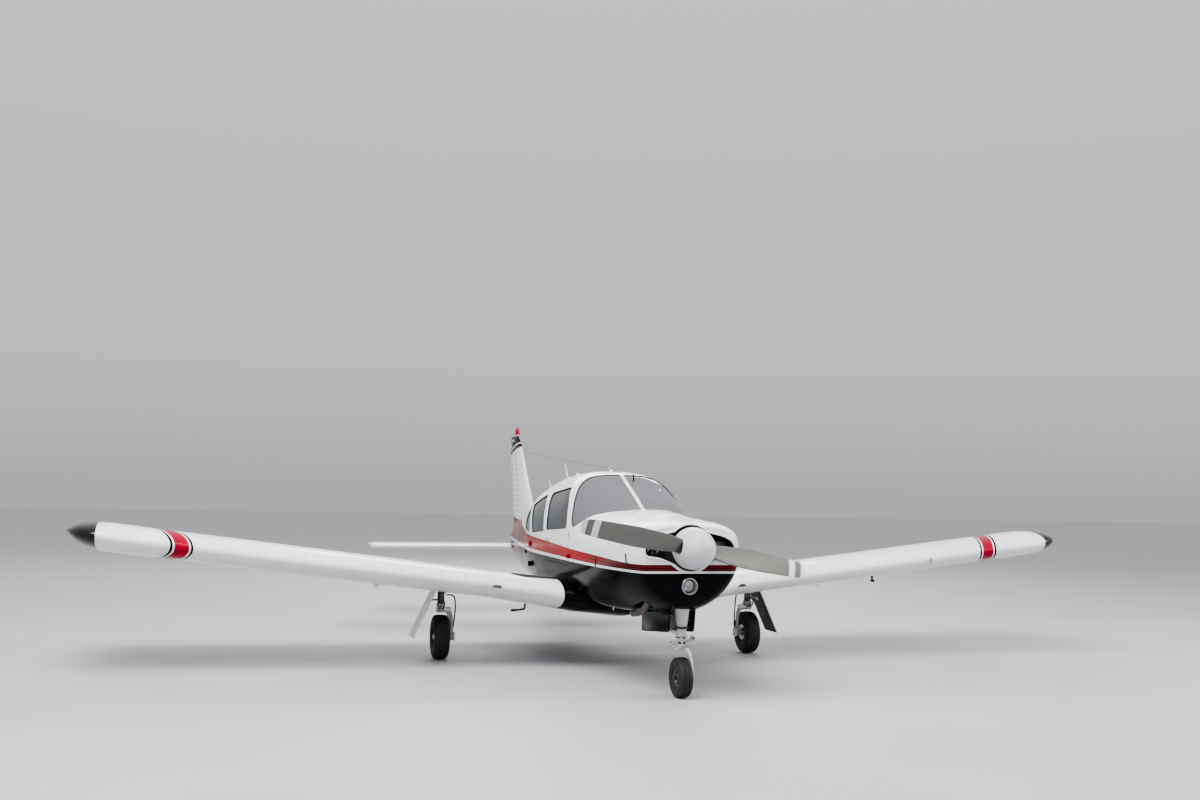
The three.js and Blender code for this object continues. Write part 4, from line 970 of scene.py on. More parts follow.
# %% tail cone
HINGE = np.array([[6.64, 0.99], [7.085, 2.1]])
STABILATOR_Z, PIVOT = 0.9, 6.56


def hinge_station(z):
    return HINGE[0, 0] + (z - HINGE[0, 1]) / (HINGE[1, 1] - HINGE[0, 1]) * (HINGE[1, 0] - HINGE[0, 0])


cone = hull(4.4203, 6.9)
rudder_room = prism(np.array([
    [hinge_station(0.98) - 0.044, 0.98], [7.3, 1.098], [7.3, 1.7], [hinge_station(1.7) - 0.044, 1.7]]),
        -0.3, 0.3)
slot_room = prism(rounded([(6.46, 0.862), (6.66, 0.862), (6.66, 0.938), (6.46, 0.938)], 0.03), -0.4, 0.4)
carve(cone, rudder_room, slot_room)
finished(dress(cone, [paint, dark_metal]), "tail_cone_skin", "airframe", "black_paint", "tail_cone")
bulkhead = carve(hull(4.36, 4.378, WALL + 0.001, 0.01), crate((-1, 4.0, 0.3), (1, 4.6, FLOOR_Z)))
finished(dress(bulkhead, [lining]), "baggage_bulkhead", "airframe", "cabin_trim")
print("tail cone faces", len(cone.data.polygons))

# %% [markdown]
# The cowl is two halves with one moustache-shaped opening.
# The opening's lip is rolled metal, so the edge is followed round and a bead is swept along it later.

# %% cowl
THRUST_Z, SPLIT_Z, LAMP_Z = 1.206, 1.03, 0.902
INLET = [(0.11, 1.06), (0.182, 1.09, 0.02), (0.262, 1.122, 0.03), (0.372, 1.134, 0.03), (0.392, 1.2, 0.06),
    (0.362, 1.264, 0.06), (0.29, 1.304, 0.04), (0.15, 1.334, 0.02), (0.11, 1.338)]
HOLE_RADIUS = 0.189


def inlet_outline():
    """The whole opening seen from ahead: two inlets joined by the ring round the spinner."""
    turn = turns(72)
    ring = put("hole", [(HOLE_RADIUS * cos(a), 0.1 + DATUM, THRUST_Z + HOLE_RADIUS * sin(a)) for a in turn]
        + [(HOLE_RADIUS * cos(a), 0.35 + DATUM, THRUST_Z + HOLE_RADIUS * sin(a)) for a in turn],
        [list(range(72))[::-1], list(range(72, 144))]
            + [[k, (k + 1) % 72, 72 + (k + 1) % 72, 72 + k] for k in range(72)])
    sides = [prism(rounded([(side * x, z, *r) for x, z, *r in INLET]), 0.1, 0.35, "y") for side in (1, -1)]
    return carve(ring, *sides, how="UNION")


opening = inlet_outline()
border = bmesh.new()
border.from_mesh(opening.data)
front = min(v.co.y for v in border.verts)
rim = [e for e in border.edges if all(abs(v.co.y - front) < 1e-4 for v in e.verts)
    and len({round(f.normal.y, 1) for f in e.link_faces}) > 1]
print("opening edge pieces", len(rim))
loop, edge = [rim[0].verts[0]], rim[0]
while True:
    step = edge.other_vert(loop[-1])
    if step == loop[0]:
        break
    loop.append(step)
    edge = next(e for e in step.link_edges if e in rim and e != edge)
lip_path = [Vector((v.co.x, 0.19 + DATUM, v.co.z)) for v in loop]
border.free()

cowl = hull(0.19, 1.0997, spacing=0.018)
carve(cowl, hull(0.212, 1.13, 0.009, 0.03))
pipe_hole = prism(rounded([(-0.3, 0.46), (-0.2, 0.46), (-0.2, 0.68), (-0.3, 0.68)], 0.045), 0.5, 0.9, "z")
gear_well = crate((-0.078, 0.3, 0.5), (0.078, 1.05, 0.8))
lamp_turn = turns(48)
lamp_hole = prism(np.stack([0.064 * np.cos(lamp_turn), LAMP_Z + 0.064 * np.sin(lamp_turn)], -1), 0.1, 0.3,
    "y")
carve(cowl, opening, pipe_hole, gear_well, lamp_hole)
for name, low, high, node in (("cowl_upper", SPLIT_Z + 0.0008, 1.7, "white_paint"),
        ("cowl_lower", 0.3, SPLIT_Z, "black_paint")):
    half = carve(twin(cowl, name), crate((-1, 0.0, low), (1, 1.3, high)), how="INTERSECT")
    finished(dress(half, [paint, dark_metal]), f"{name}_skin", "airframe", node, name)
discard(cowl)
print("cowl ready")

# %% [markdown]
# Small parts are turned profiles, swept tubes and blocks, as a lathe, a bender and a mill would make them.
# They cover the undercarriage, the engine and the fittings.

# %% small shapes


def lathe(profile, centre, axis="x", sides=48):
    """A profile of (radius, along) turned about an axis through the centre, given by x, station and z.

    A profile that comes back to its first point makes a ring, and any other is closed by its two ends.
    """
    ring_shaped = tuple(profile[0]) == tuple(profile[-1])
    named = {"x": (1, 0, 0), "y": (0, 1, 0), "z": (0, 0, 1)}
    direction = Vector(named[axis] if isinstance(axis, str) else axis).normalized()
    u = direction.orthogonal().normalized()
    v = direction.cross(u)
    middle = at(*centre)
    rings = []
    for r, t in profile:
        r = max(r, 1e-5)
        rings.append([middle + direction * t + (u * cos(a) + v * sin(a)) * r for a in turns(sides)])
    rings = [[tuple(p) for p in ring] for ring in rings]
    return joined(rings[:-1]) if ring_shaped else lofted(rings)


def rod(radius, low, high, centre, axis="x", sides=48):
    """A plain round bar that reaches from low to high along an axis through the centre."""
    return lathe([(0, low), (radius, low), (radius, high), (0, high)], centre, axis, sides)


def joined(rings):
    """Rings lofted one to the next, and the last back to the first."""
    vertices, faces, uv = lofted(rings + [rings[0]], caps=False)
    last = len(rings) * len(rings[0])
    return vertices[:last], [[v % last for v in face] for face in faces], uv


def tube(points, radius, sides=16, bend=6, loop=False):
    """A round bar through points given by x, station and z, its bends smoothed; the radius may be a list."""
    path = [at(*p) for p in points]
    widths = list(radius) if hasattr(radius, "__len__") else [radius] * len(path)
    if len(path) > 2 and bend > 1:
        ends = (path[-1], path[0]) if loop else (2 * path[0] - path[1], 2 * path[-1] - path[-2])
        wide = [ends[0]] + path + [ends[1]] + ([path[1]] if loop else [])
        fine, fine_widths = [], []
        for i in range(1, len(wide) - 2):
            a, b, c, d = wide[i - 1:i + 3]
            w0, w1 = widths[(i - 1) % len(widths)], widths[i % len(widths)]
            for t in np.linspace(0, 1, bend + 1)[:-1]:
                fine.append(0.5 * (2 * b + (c - a) * t + (2 * a - 5 * b + 4 * c - d) * t * t
                    + (3 * b - a - 3 * c + d) * t ** 3))
                fine_widths.append(w0 + (w1 - w0) * t)
        if not loop:
            fine.append(path[-1])
            fine_widths.append(widths[-1])
        path, widths = fine, fine_widths
    count = len(path)
    side = Vector((0.31, 0.93, 0.17))
    rings = []
    for i, p in enumerate(path):
        before = path[i - 1] if i or loop else path[0]
        after = path[(i + 1) % count] if i + 1 < count or loop else path[-1]
        along = (after - before).normalized()
        side = (side - along * side.dot(along)).normalized()
        other = along.cross(side)
        rings.append([tuple(p + (side * cos(a) + other * sin(a)) * widths[i]) for a in turns(sides)])
    return joined(rings) if loop else lofted(rings)


print("bars and tubes ready")

# %% [markdown]
# Brackets and caps are blocks and plates with a small bevel, since no made edge is perfectly sharp.

# %% blocks, plates and balls


def block(low, high, bevel=0.004, turn=None):
    """A box with rounded edges between two corners in x, station and z, turned about its centre."""
    a, b = at(*map(min, low, high)), at(*map(max, low, high))
    middle, size = (a + b) / 2, b - a
    built = bmesh.new()
    bmesh.ops.create_cube(built, size=1)
    bmesh.ops.scale(built, vec=size, verts=built.verts)
    if bevel > 0:
        bmesh.ops.bevel(built, geom=built.edges[:], offset=min(bevel, min(size) * 0.45), segments=2,
            profile=0.6,
            affect="EDGES", clamp_overlap=True)
    matrix = Matrix.Translation(middle)
    if turn:
        matrix = matrix @ Matrix.Rotation(radians(turn[1]), 4, turn[0])
    bmesh.ops.transform(built, matrix=matrix, verts=built.verts)
    built.verts.index_update()
    made = [tuple(v.co) for v in built.verts], [[v.index for v in f.verts] for f in built.faces], None
    built.free()
    return made


def plate(outline, low, high, axis="x", bevel=0.003):
    """An outline pushed along an axis, with its rim rounded over."""
    steps = [(low, bevel), (low + bevel * 0.3, bevel * 0.3), (low + bevel, 0), (high - bevel, 0),
        (high - bevel * 0.3, bevel * 0.3), (high, bevel)]
    rings = []
    for end, draw in steps:
        flat = np.array([p[:2] for p in inward([tuple(p) for p in outline], draw)]) if draw else outline
        rings.append(placed(flat, end, axis))
    return lofted(rings)


def ball(centre, radius, squeeze=(1, 1, 1), sides=24):
    """A rounded lump about a centre, squeezed along x, y and z."""
    middle = at(*centre)
    rings = []
    for latitude in np.linspace(-1.53, 1.53, sides // 2):
        rings.append([(middle.x + squeeze[0] * radius * cos(latitude) * cos(a),
            middle.y + squeeze[1] * radius * cos(latitude) * sin(a),
            middle.z + squeeze[2] * radius * sin(latitude)) for a in turns(sides)])
    return lofted(rings)


print("blocks ready")

# %% [markdown]
# A leg or an engine is dozens of small shells. Joined, they are one piece with a few finishes,
# which is easier to carry on a body than dozens of objects.

# %% joining shells


def assemble(name, parts, body, slot, *nodes, crease=35):
    """Joins (shape, finish) pairs into one piece with a finish for each shell."""
    vertices, faces, uvs, marks, finishes = [], [], [], [], []
    for shape, finish in parts:
        own, own_faces, own_uv = shape
        built = bmesh.new()
        for v in own:
            built.verts.new(v)
        built.verts.ensure_lookup_table()
        for f in own_faces:
            built.faces.new([built.verts[i] for i in f])
        turned = built.calc_volume(signed=True) < 0
        built.free()
        if finish not in finishes:
            finishes.append(finish)
        start = len(vertices)
        vertices += list(own)
        loops = sum(len(f) for f in own_faces)
        own_uv = np.zeros((loops, 2)) if own_uv is None else np.asarray(own_uv)
        place = 0
        for f in own_faces:
            uv = own_uv[place:place + len(f)]
            place += len(f)
            faces.append([start + i for i in (reversed(f) if turned else f)])
            uvs.append(uv[::-1] if turned else uv)
            marks.append(finishes.index(finish))
    mesh = bpy.data.meshes.new(name)
    mesh.from_pydata(vertices, [], faces)
    mesh.uv_layers.new(name="flow").data.foreach_set("uv", np.concatenate(uvs).astype(np.float32).ravel())
    for finish in finishes:
        mesh.materials.append(finish)
    mesh.polygons.foreach_set("material_index", marks)
    obj = bpy.data.objects.new(name, mesh)
    collection.objects.link(obj)
    soften(obj, crease)
    return finished(obj, name, body, slot, *nodes)


def bolt(centre, axis="x", radius=0.006, height=0.005):
    """A hexagonal bolt head whose flat stands out along the axis."""
    return lathe([(0, 0), (radius, 0), (radius, height * 0.8), (radius * 0.8, height), (0, height)], centre,
        axis, 6)


assemble("cowl_lip", [
    (tube([(v.x, v.y - DATUM, v.z) for v in lip_path], 0.0085, 12, 1, True), paint)],
    "airframe", "white_paint")
print("small shapes ready")

# %% [markdown]
# The wing's section is a laminar-looking foil with a thick middle, carried straight along the span.
# Ahead of the flaps its leading edge runs forward to the root, as the photograph shows.
# Thin lips of skin reach over the flap's and aileron's round noses and hide the hinge gap.

# %% wings
DIHEDRAL, INCIDENCE = radians(7), radians(4.5)
LEAD, CHORD, ROOT_Z, THICKNESS = 1.99, 1.6, 0.618, 0.16
GLOVE_X, GLOVE_LENGTH, TIP_X, HALF_SPAN = 1.19, 0.2, 4.605, 4.905
FLAP_SPAN, AILERON_SPAN = (0.692, 2.558), (2.576, 4.468)
HINGE_Y = LEAD + 0.81 * CHORD * cos(INCIDENCE)
HINGE_Z = -0.81 * CHORD * sin(INCIDENCE) + 0.011


def foil(chord, thickness, count=48, droop=0.012):
    """Points (aft, up) over the top from the leading edge and back under it."""
    t = 0.5 - 0.5 * np.cos(np.linspace(0, pi, count + 1))
    half = 5 * thickness * chord * (
        0.2969 * np.sqrt(t) - 0.126 * t - 0.3516 * t ** 2 + 0.2843 * t ** 3 - 0.0996 * t ** 4)
    half = np.maximum(half, np.where(t > 0, 0.0012, 0))
    camber = 4 * droop * chord * t * (1 - t)
    upper, lower = np.stack([t * chord, camber + half], -1), np.stack([t * chord, camber - half], -1)
    return np.concatenate([upper, lower[:0:-1]])


def wing_ring(x, lead=0.0, chord=CHORD, thickness=THICKNESS, lift=0.0):
    """A section of the wing at x along the span, in the wing's own frame."""
    aft, rise = foil(chord, thickness).T
    c, s = cos(INCIDENCE), sin(INCIDENCE)
    return np.stack([np.full(len(aft), x), LEAD + lead + aft * c + rise * s, lift + rise * c - aft * s], -1)


def on_wing(points, side=1):
    """Points of the wing's own frame turned up by the dihedral and set on one side."""
    points = np.asarray(points, float)
    x, y, z = points[..., 0], points[..., 1], points[..., 2]
    c, s = cos(DIHEDRAL), sin(DIHEDRAL)
    return np.stack([side * (x * c - z * s), y + DATUM, x * s + z * c + ROOT_Z], -1)


def under_wing(x, y, z, side=1):
    """A point of the wing's own frame as x, station and z, for placing fittings."""
    p = on_wing([x, y, z], side)
    return float(p[0]), float(p[1]) - DATUM, float(p[2])


def glove(x):
    return GLOVE_LENGTH * (GLOVE_X - x) / (GLOVE_X - 0.56)


sample = wing_ring(0)
top_line, low_line = sample[:49], sample[:48:-1]


def top_at(y):
    return float(np.interp(y, top_line[:, 1], top_line[:, 2]))


def low_at(y):
    return float(np.interp(y, low_line[:, 1], low_line[:, 2]))


print("hinge line", round(HINGE_Y, 4), round(HINGE_Z, 4))

# %% [markdown]
# The tools are drawn in the wing's own frame and turned up with it: one pocket for flap and aileron,
# the wheel well with its slot for the leg, and the half-moon intake in the leading edge.

# %% cutting tools of the wing
wing_rings = [wing_ring(x, -glove(x), CHORD + glove(x)) for x in np.linspace(0.4, GLOVE_X, 12)]
wing_rings += [wing_ring(x) for x in np.linspace(GLOVE_X, TIP_X, 40)[1:]]
lip = 0.0016
pocket = np.array([(HINGE_Y - 0.049, low_at(HINGE_Y - 0.049) + lip),
    (HINGE_Y - 0.02, low_at(HINGE_Y - 0.02) + lip), (HINGE_Y - 0.02, -0.6), (4.2, -0.6), (4.2, 0.4),
    (HINGE_Y + 0.01, 0.4), (HINGE_Y + 0.01, top_at(HINGE_Y + 0.01) - lip),
    (HINGE_Y - 0.049, top_at(HINGE_Y - 0.049) - lip)])
WHEEL_X, WELL_RADIUS, SLOT_HALF, ROOF, MAIN_STATION, TRACK = 1.13, 0.245, 0.095, 0.03, 2.79, 1.6
round_well = np.stack([WHEEL_X + WELL_RADIUS * np.cos(lamp_turn),
    MAIN_STATION + WELL_RADIUS * np.sin(lamp_turn)], -1)
slot_well = np.array([(WHEEL_X, MAIN_STATION - SLOT_HALF), (TRACK + 0.09, MAIN_STATION - SLOT_HALF),
    (TRACK + 0.09, MAIN_STATION + SLOT_HALF), (WHEEL_X, MAIN_STATION + SLOT_HALF)])


def wing_tool(rings, side):
    return loft("tool", on_wing(rings, side))


def pushed(outline, low, high):
    """An outline of (x, station) pushed through the wing's height."""
    return np.array([[(x, y, z) for x, y in outline] for z in (low, high)])


half_moon = rounded([(-0.047, -0.016, 0.004), (-0.044, 0.0, 0.012), (-0.022, 0.014, 0.012),
    (0.022, 0.014, 0.012), (0.044, 0.0, 0.012), (0.047, -0.016, 0.004)])
print("tools ready")

# %% [markdown]
# The belly fairing carries the wing's underside across the body. It is a loft over the lower halves
# of five wing sections. Each wing is then cut, also by the body it runs into.

# %% wing skins and belly
body_tool = hull(1.3, 4.3, 0.006, 0.06, 96)
belly_rings = []
for x in (-0.64, -0.42, 0.0, 0.42, 0.64):
    extra = glove(max(abs(x), 0.42))
    ring = wing_ring(abs(x), -extra, CHORD + extra)
    under = np.roll(ring, -49, axis=0)
    under = np.array([p for p in under if p[2] < -0.035])
    spaced = np.interp(np.linspace(0, 1, 40), np.linspace(0, 1, len(under)), np.arange(len(under)))
    under = np.stack([np.interp(spaced, np.arange(len(under)), under[:, k]) for k in range(3)], -1)
    belly_rings.append(on_wing(under, 1 if x >= 0 else -1))
belly = loft("belly", belly_rings)
finished(coated(belly, gloss_black), "belly_fairing", "airframe", "black_paint")
for side, label in SIDES:
    wing = loft("wing", on_wing(wing_rings, side))
    tools = [wing_tool([[(x, *p) for p in pocket] for x in (FLAP_SPAN[0] - 0.006, AILERON_SPAN[1] + 0.006)],
        side),
        wing_tool(pushed(round_well, -0.3, ROOF), side), wing_tool(pushed(slot_well, -0.3, ROOF), side),
        wing_tool([[(1.212 + u, y, v - 0.008) for u, v in half_moon] for y in (1.9, 2.06)], side)]
    carve(wing, *tools)
    carve(wing, body_tool, keep=True)
    coated(wing, wing_paint, dark_metal)
    centres = vectors(wing.data.polygons, "center")
    c, s = cos(DIHEDRAL), sin(DIHEDRAL)
    own_x = side * centres[:, 0] * c + (centres[:, 2] - ROOT_Z) * s
    own_z = -side * centres[:, 0] * s + (centres[:, 2] - ROOT_Z) * c
    own_y = centres[:, 1] - DATUM
    in_well = (np.hypot(own_x - WHEEL_X, own_y - MAIN_STATION) < WELL_RADIUS + 0.001) | (
        (own_x > WHEEL_X) & (own_x < TRACK + 0.091) & (np.abs(own_y - MAIN_STATION) < SLOT_HALF + 0.001))
    wing.data.polygons.foreach_set("material_index", (in_well & (own_z < ROOF + 0.001)).astype(int))
    finished(wing, f"wing_{label}_skin", "airframe", "white_paint", f"wing_{label}")
discard(body_tool)
print("wing faces", len(wing.data.polygons))

# %% [markdown]
# The tips are plastic caps that droop and draw back. A table says how the section shrinks toward the end.

# %% wing tips
# Columns: x along the span, how far aft it starts, share of the chord, share of the thickness.
TIP_TABLE = np.array([[TIP_X + 0.0003, 0, 1, 1], [4.715, 0.02, 0.98, 0.95], [4.815, 0.08, 0.93, 0.81],
    [4.89, 0.18, 0.85, 0.56], [HALF_SPAN / cos(DIHEDRAL), 0.31, 0.72, 0.16]])
for side, label in SIDES:
    rings = []
    for share in np.sin(np.linspace(0, pi / 2, 18)):
        x = TIP_TABLE[0, 0] + share * (TIP_TABLE[-1, 0] - TIP_TABLE[0, 0])
        aft, long, thick = read(TIP_TABLE, x)
        rings.append(wing_ring(x, aft, CHORD * long, THICKNESS * thick / long, 0.01 * (1 - thick)))
    tip = coated(loft("tip", on_wing(rings, side)), tip_paint)
    finished(tip, f"wing_tip_{label}_skin", "airframe", "tip_plastic", f"wing_tip_{label}")
print("wings ready")

# %% [markdown]
# Flaps and ailerons have a round nose on the hinge line.
# Pressed beads along the chord stiffen their thin skin, so the beads are real waves in the loft's rings.

# %% flaps and ailerons
NOSE_RADIUS = 0.042


def control_rings(span, pitch=0.118, bead=0.0024):
    """Rings of a flap or an aileron, its skins pressed out along beads."""
    trail = LEAD + CHORD * cos(INCIDENCE)
    blend = HINGE_Y + 0.075
    ys = np.linspace(blend, trail, 22)
    over = [(y, top_at(y)) for y in ys]
    below = [(y, low_at(y)) for y in ys[::-1]]
    turn = np.linspace(-pi / 2, -3 * pi / 2, 20)
    nose = [(HINGE_Y + NOSE_RADIUS * cos(a), HINGE_Z + NOSE_RADIUS * sin(a)) for a in turn]
    ring = np.array(nose + over + below)
    lift = np.r_[np.zeros(20), np.ones(22), -np.ones(22)]
    share = np.clip((ring[:, 0] - blend - 0.01) / 0.03, 0, 1) * np.clip((trail - 0.03 - ring[:, 0]) / 0.03,
        0, 1)
    rings = []
    for x in np.arange(span[0], span[1] + 1e-6, (span[1] - span[0]) / round((span[1] - span[0]) / 0.0118)):
        wave = max(0.0, cos(2 * pi * (x - span[0] - pitch / 2) / pitch)) ** 5
        rings.append(np.stack([np.full(len(ring), x), ring[:, 0], ring[:, 1] + lift * share * wave * bead],
            -1))
    return rings


for side, label in SIDES:
    for kind, span in (("flap", FLAP_SPAN), ("aileron", AILERON_SPAN)):
        surface = coated(loft(kind, on_wing(control_rings(span), side)), gloss_white, angle=40)
        finished(surface, f"{kind}_{label}_skin", f"{kind}_{label}", "white_paint", f"{kind}_{label}")
print("flaps and ailerons ready")

# %% [markdown]
# The fin and rudder share one outline. Both skins have short horizontal beads in columns,
# which catch the light, so they are shaped and not only painted.

# %% fin and rudder
FIN_TOP, TAIL_STATION = 2.361, 7.365
FIN_LEADS = np.array([[1.12, 5.6], [1.465, 5.98], [2.17, 6.674], [2.29, 6.8], [FIN_TOP, 6.93]])


def trail_at(z):
    return 7.093 + (z - 1.265) * (7.369 - 7.093) / (2.103 - 1.265)


def top_round(z, radius=0.045):
    """Narrows the sections near the top so that the cap is rounded."""
    return sqrt(max(0.02, 1 - (max(0.0, z - (FIN_TOP - radius)) / radius) ** 2))


def bead_rise(z, first, last, pitch):
    """The height of the pressed beads at z, as a share."""
    if not first - pitch / 3 < z < last + pitch / 3:
        return 0.0
    return max(0.0, cos(2 * pi * (z - first) / pitch)) ** 5


fin_rings = []
for z in np.r_[np.linspace(1.1, 2.31, 174), np.linspace(2.315, FIN_TOP, 9)]:
    lead = read(FIN_LEADS, max(z, 1.12))[0]
    aft, wide = foil(trail_at(z) - lead, 0.085 * top_round(z), 40, 0.0).T
    station = lead + aft
    reach = np.clip((station - (hinge_station(z) - 0.24)) / 0.03, 0, 1) * np.clip(
        (hinge_station(z) - 0.07 - station) / 0.03, 0, 1)
    wide = wide + np.sign(wide) * reach * 0.0022 * bead_rise(z, 1.36, 1.9, 0.078)
    fin_rings.append(np.stack([wide, station + DATUM, np.full(len(aft), z)], -1))
fin = loft("fin", fin_rings)
behind = prism(np.array([[hinge_station(0.9) - 0.034, 0.9], [8.2, 0.9], [8.2, 2.6],
    [hinge_station(2.6) - 0.034, 2.6]]), -0.2, 0.2)
carve(fin, behind)
finished(coated(fin, fin_paint, angle=40), "fin_skin", "airframe", "white_paint", "fin")
print("fin ready")

# %% [markdown]
# The rudder's round nose turns inside the tail cone and behind the fin, about the slanting hinge line.

# %% rudder
rudder_rings = []
for z in np.r_[np.linspace(0.987, 2.31, 236), np.linspace(2.315, FIN_TOP - 0.002, 8)]:
    hinge, radius = hinge_station(z), (0.031 - (z - 1.0) * 0.008 / 1.3) * top_round(z)
    trail = trail_at(z) + (TAIL_STATION - trail_at(z)) * min(1.0, max(0.0, (z - 2.16) / 0.05))
    turn = np.linspace(0, pi, 17)
    nose = np.stack([radius * np.cos(turn), hinge - radius * np.sin(turn)], -1)
    side_s = np.linspace(hinge + 0.01, trail, 20)
    width = np.interp(side_s, [hinge + 0.01, trail], [radius, 0.0022])
    reach = np.clip((side_s - hinge - 0.035) / 0.03, 0, 1) * np.clip((trail - 0.045 - side_s) / 0.03, 0, 1)
    rise = 0.0034 * bead_rise(z, 1.14, 2.1, 0.0685)
    ring = np.concatenate([nose, np.stack([-(width + reach * rise), side_s], -1),
        np.stack([width + reach * rise, side_s], -1)[::-1]])
    rudder_rings.append(np.stack([ring[:, 0], ring[:, 1] + DATUM, np.full(len(ring), z)], -1))
rudder = loft("rudder", rudder_rings)
under = prism(np.array([[6.4, 0.7], [7.5, 0.7], [7.5, 1.18], [6.6, 0.99], [6.4, 0.99]]), -0.2, 0.2)
carve(rudder, under)
finished(coated(rudder, fin_paint, angle=40), "rudder_skin", "rudder", "white_paint", "rudder")
print("fin and rudder ready")

# %% [markdown]
# The stabilator turns whole about a tube through the tail cone.
# The gap for the tab is cut from both halves before they are joined.

# %% stabilator
STAB_LEAD, STAB_CHORD, STAB_HALF, TAB_HINGE, TAB_HALF = 6.33, 0.79, 1.96, 6.96, 1.15
STAB_TABLE = np.array([[0.185, 0, 1, 1], [STAB_HALF - 0.09, 0, 1, 1], [STAB_HALF - 0.025, 0.045, 0.9, 0.75],
    [STAB_HALF, 0.13, 0.72, 0.2]])


def stab_ring(x):
    aft, chord, thick = read(STAB_TABLE, x)
    back, rise = foil(STAB_CHORD * chord, 0.1 * thick / chord, 36, 0.0).T
    return np.stack([np.full(len(back), x), STAB_LEAD + aft + back + DATUM, STABILATOR_Z + rise], -1)


tab_gap = crate((-TAB_HALF - 0.005, TAB_HINGE - 0.019, 0.7), (TAB_HALF + 0.005, 7.3, 1.1))
stab_parts = []
for side in (1, -1):
    xs = np.r_[np.linspace(0.185, STAB_HALF - 0.1, 30),
        STAB_HALF - 0.1 + 0.1 * np.sin(np.linspace(0, 1, 12)[1:] * pi / 2)]
    half = loft("half", [stab_ring(x) * np.array([side, 1, 1]) for x in xs])
    stab_parts.append(carve(half, tab_gap, keep=True))
discard(tab_gap)
stabilator = carve(stab_parts[0], stab_parts[1], how="UNION")
finished(coated(stabilator, white_paint, angle=40), "stabilator_skin", "stabilator", "white_paint",
    "stabilator")
assemble("stabilator_tube", [
    (rod(0.025, -0.2, 0.2, (0, PIVOT, STABILATOR_Z), "x", 32), metal)]
        + [(lathe([(0.022, 0), (0.036, 0.001), (0.036, 0.006), (0.022, 0.008)],
        (side * 0.176, PIVOT, STABILATOR_Z), "x", 32), steel) for side in (1, -1)], "stabilator",
        "gear_metal")
print("stabilator ready")

# %% [markdown]
# The tab is one straight loft with a round nose, held by four small hinges.

# %% stabilator tab
turn = np.linspace(-pi / 2, -3 * pi / 2, 14)
tab_ring = [(TAB_HINGE + 0.0135 * cos(a), STABILATOR_Z + 0.0135 * sin(a)) for a in turn]
tab_ring += [(TAB_HINGE + t, STABILATOR_Z + 0.0135 - t * 0.0118 / (STAB_LEAD + STAB_CHORD - TAB_HINGE))
    for t in np.linspace(0.01, STAB_LEAD + STAB_CHORD - TAB_HINGE, 10)]
tab_ring += [(s, 2 * STABILATOR_Z - z) for s, z in tab_ring[:13:-1]]
tab = loft("tab", [[(x, s + DATUM, z) for s, z in tab_ring] for x in np.linspace(-TAB_HALF, TAB_HALF, 60)])
finished(coated(tab, white_paint), "stabilator_tab_skin", "stabilator_tab", "white_paint", "stabilator_tab")
hinges = [block((x - 0.02, TAB_HINGE - 0.02, STABILATOR_Z + 0.012),
    (x + 0.02, TAB_HINGE + 0.018, STABILATOR_Z + 0.018), 0.002) for x in (-1.05, -0.5, 0.5, 1.05)]
assemble("stabilator_tab_hinges", [(h, metal) for h in hinges], "stabilator_tab", "gear_metal")
print("tab ready")

# %% [markdown]
# The propeller has two metal blades with a warm grey face, a white band, a grey band and a white tip.
# It rests a little off level, so the blades are made along x and turned about the hub by that angle.

# %% propeller and spinner
PROP_TILT, PROP_STATION, SPIN_RADIUS, SPIN_BACK, SPIN_TIP = radians(10.5), 0.06, 0.168, 0.158, -0.135
BLADE = np.array([
    [0.06, 0.11, 0.06, 55], [0.18, 0.158, 0.044, 43], [0.3, 0.178, 0.032, 37], [0.48, 0.184, 0.024, 31],
    [0.68, 0.162, 0.017, 24], [0.86, 0.14, 0.011, 20], [0.935, 0.11, 0.008, 19], [0.96, 0.062, 0.006, 19]])
SPIN = Matrix.Rotation(PROP_TILT, 3, "Y")
HUB_CENTRE, LAMP_CENTRE = (0, 0, THRUST_Z), (0, 0.19, LAMP_Z)
HUB = at(*HUB_CENTRE)


def spun(points):
    """Points measured from the hub, turned to the blades' rest angle."""
    turn = np.array(SPIN)
    return np.asarray(points, float) @ turn.T + np.array([HUB.x, HUB.y, HUB.z])


def blade_finish():
    """Warm grey blades, banded by the distance from the hub, with small chips."""
    g = Graph("blade_finish")
    x, y, z = g.axes()
    up = g.minus(z, THRUST_Z)
    reach = g.math("SQRT", g.plus(g.times(x, x), g.times(up, up)))
    pale, grey = (0.72, 0.72, 0.7), g.mix(g.noise(30, 6, 0.6), (0.135, 0.13, 0.12), (0.19, 0.185, 0.17))
    colour = grey
    for edge, band in ((0.812, pale), (0.865, grey), (0.917, pale)):
        colour = g.mix(g.above(reach, edge), colour, band)
    chips = g.span(g.noise(160, 4, 0.7), 0.62, 0.72)
    colour = g.mix(g.times(chips, 0.4), colour, (0.42, 0.42, 0.42))
    return g.shade(base_color=colour, metallic=0.35,
        roughness=g.span(g.noise(18, 5), 0.3, 0.7, 0.34, 0.5),
        normal=g.bump(g.noise(300, 3), 0.0003))


blade_paint = blade_finish()
spinner_paint = plain("spinner_paint", (0.56, 0.56, 0.575), 0.34, spread=0.04, scale=20.0, grain=900.0,
    depth=0.0002)


print("blade finish ready")

# %% [markdown]
# Each blade is a loft of sections, flatter at the back, whose pitch falls toward the tip.
# The sections stand closer together at the end, where the tip is rounded.

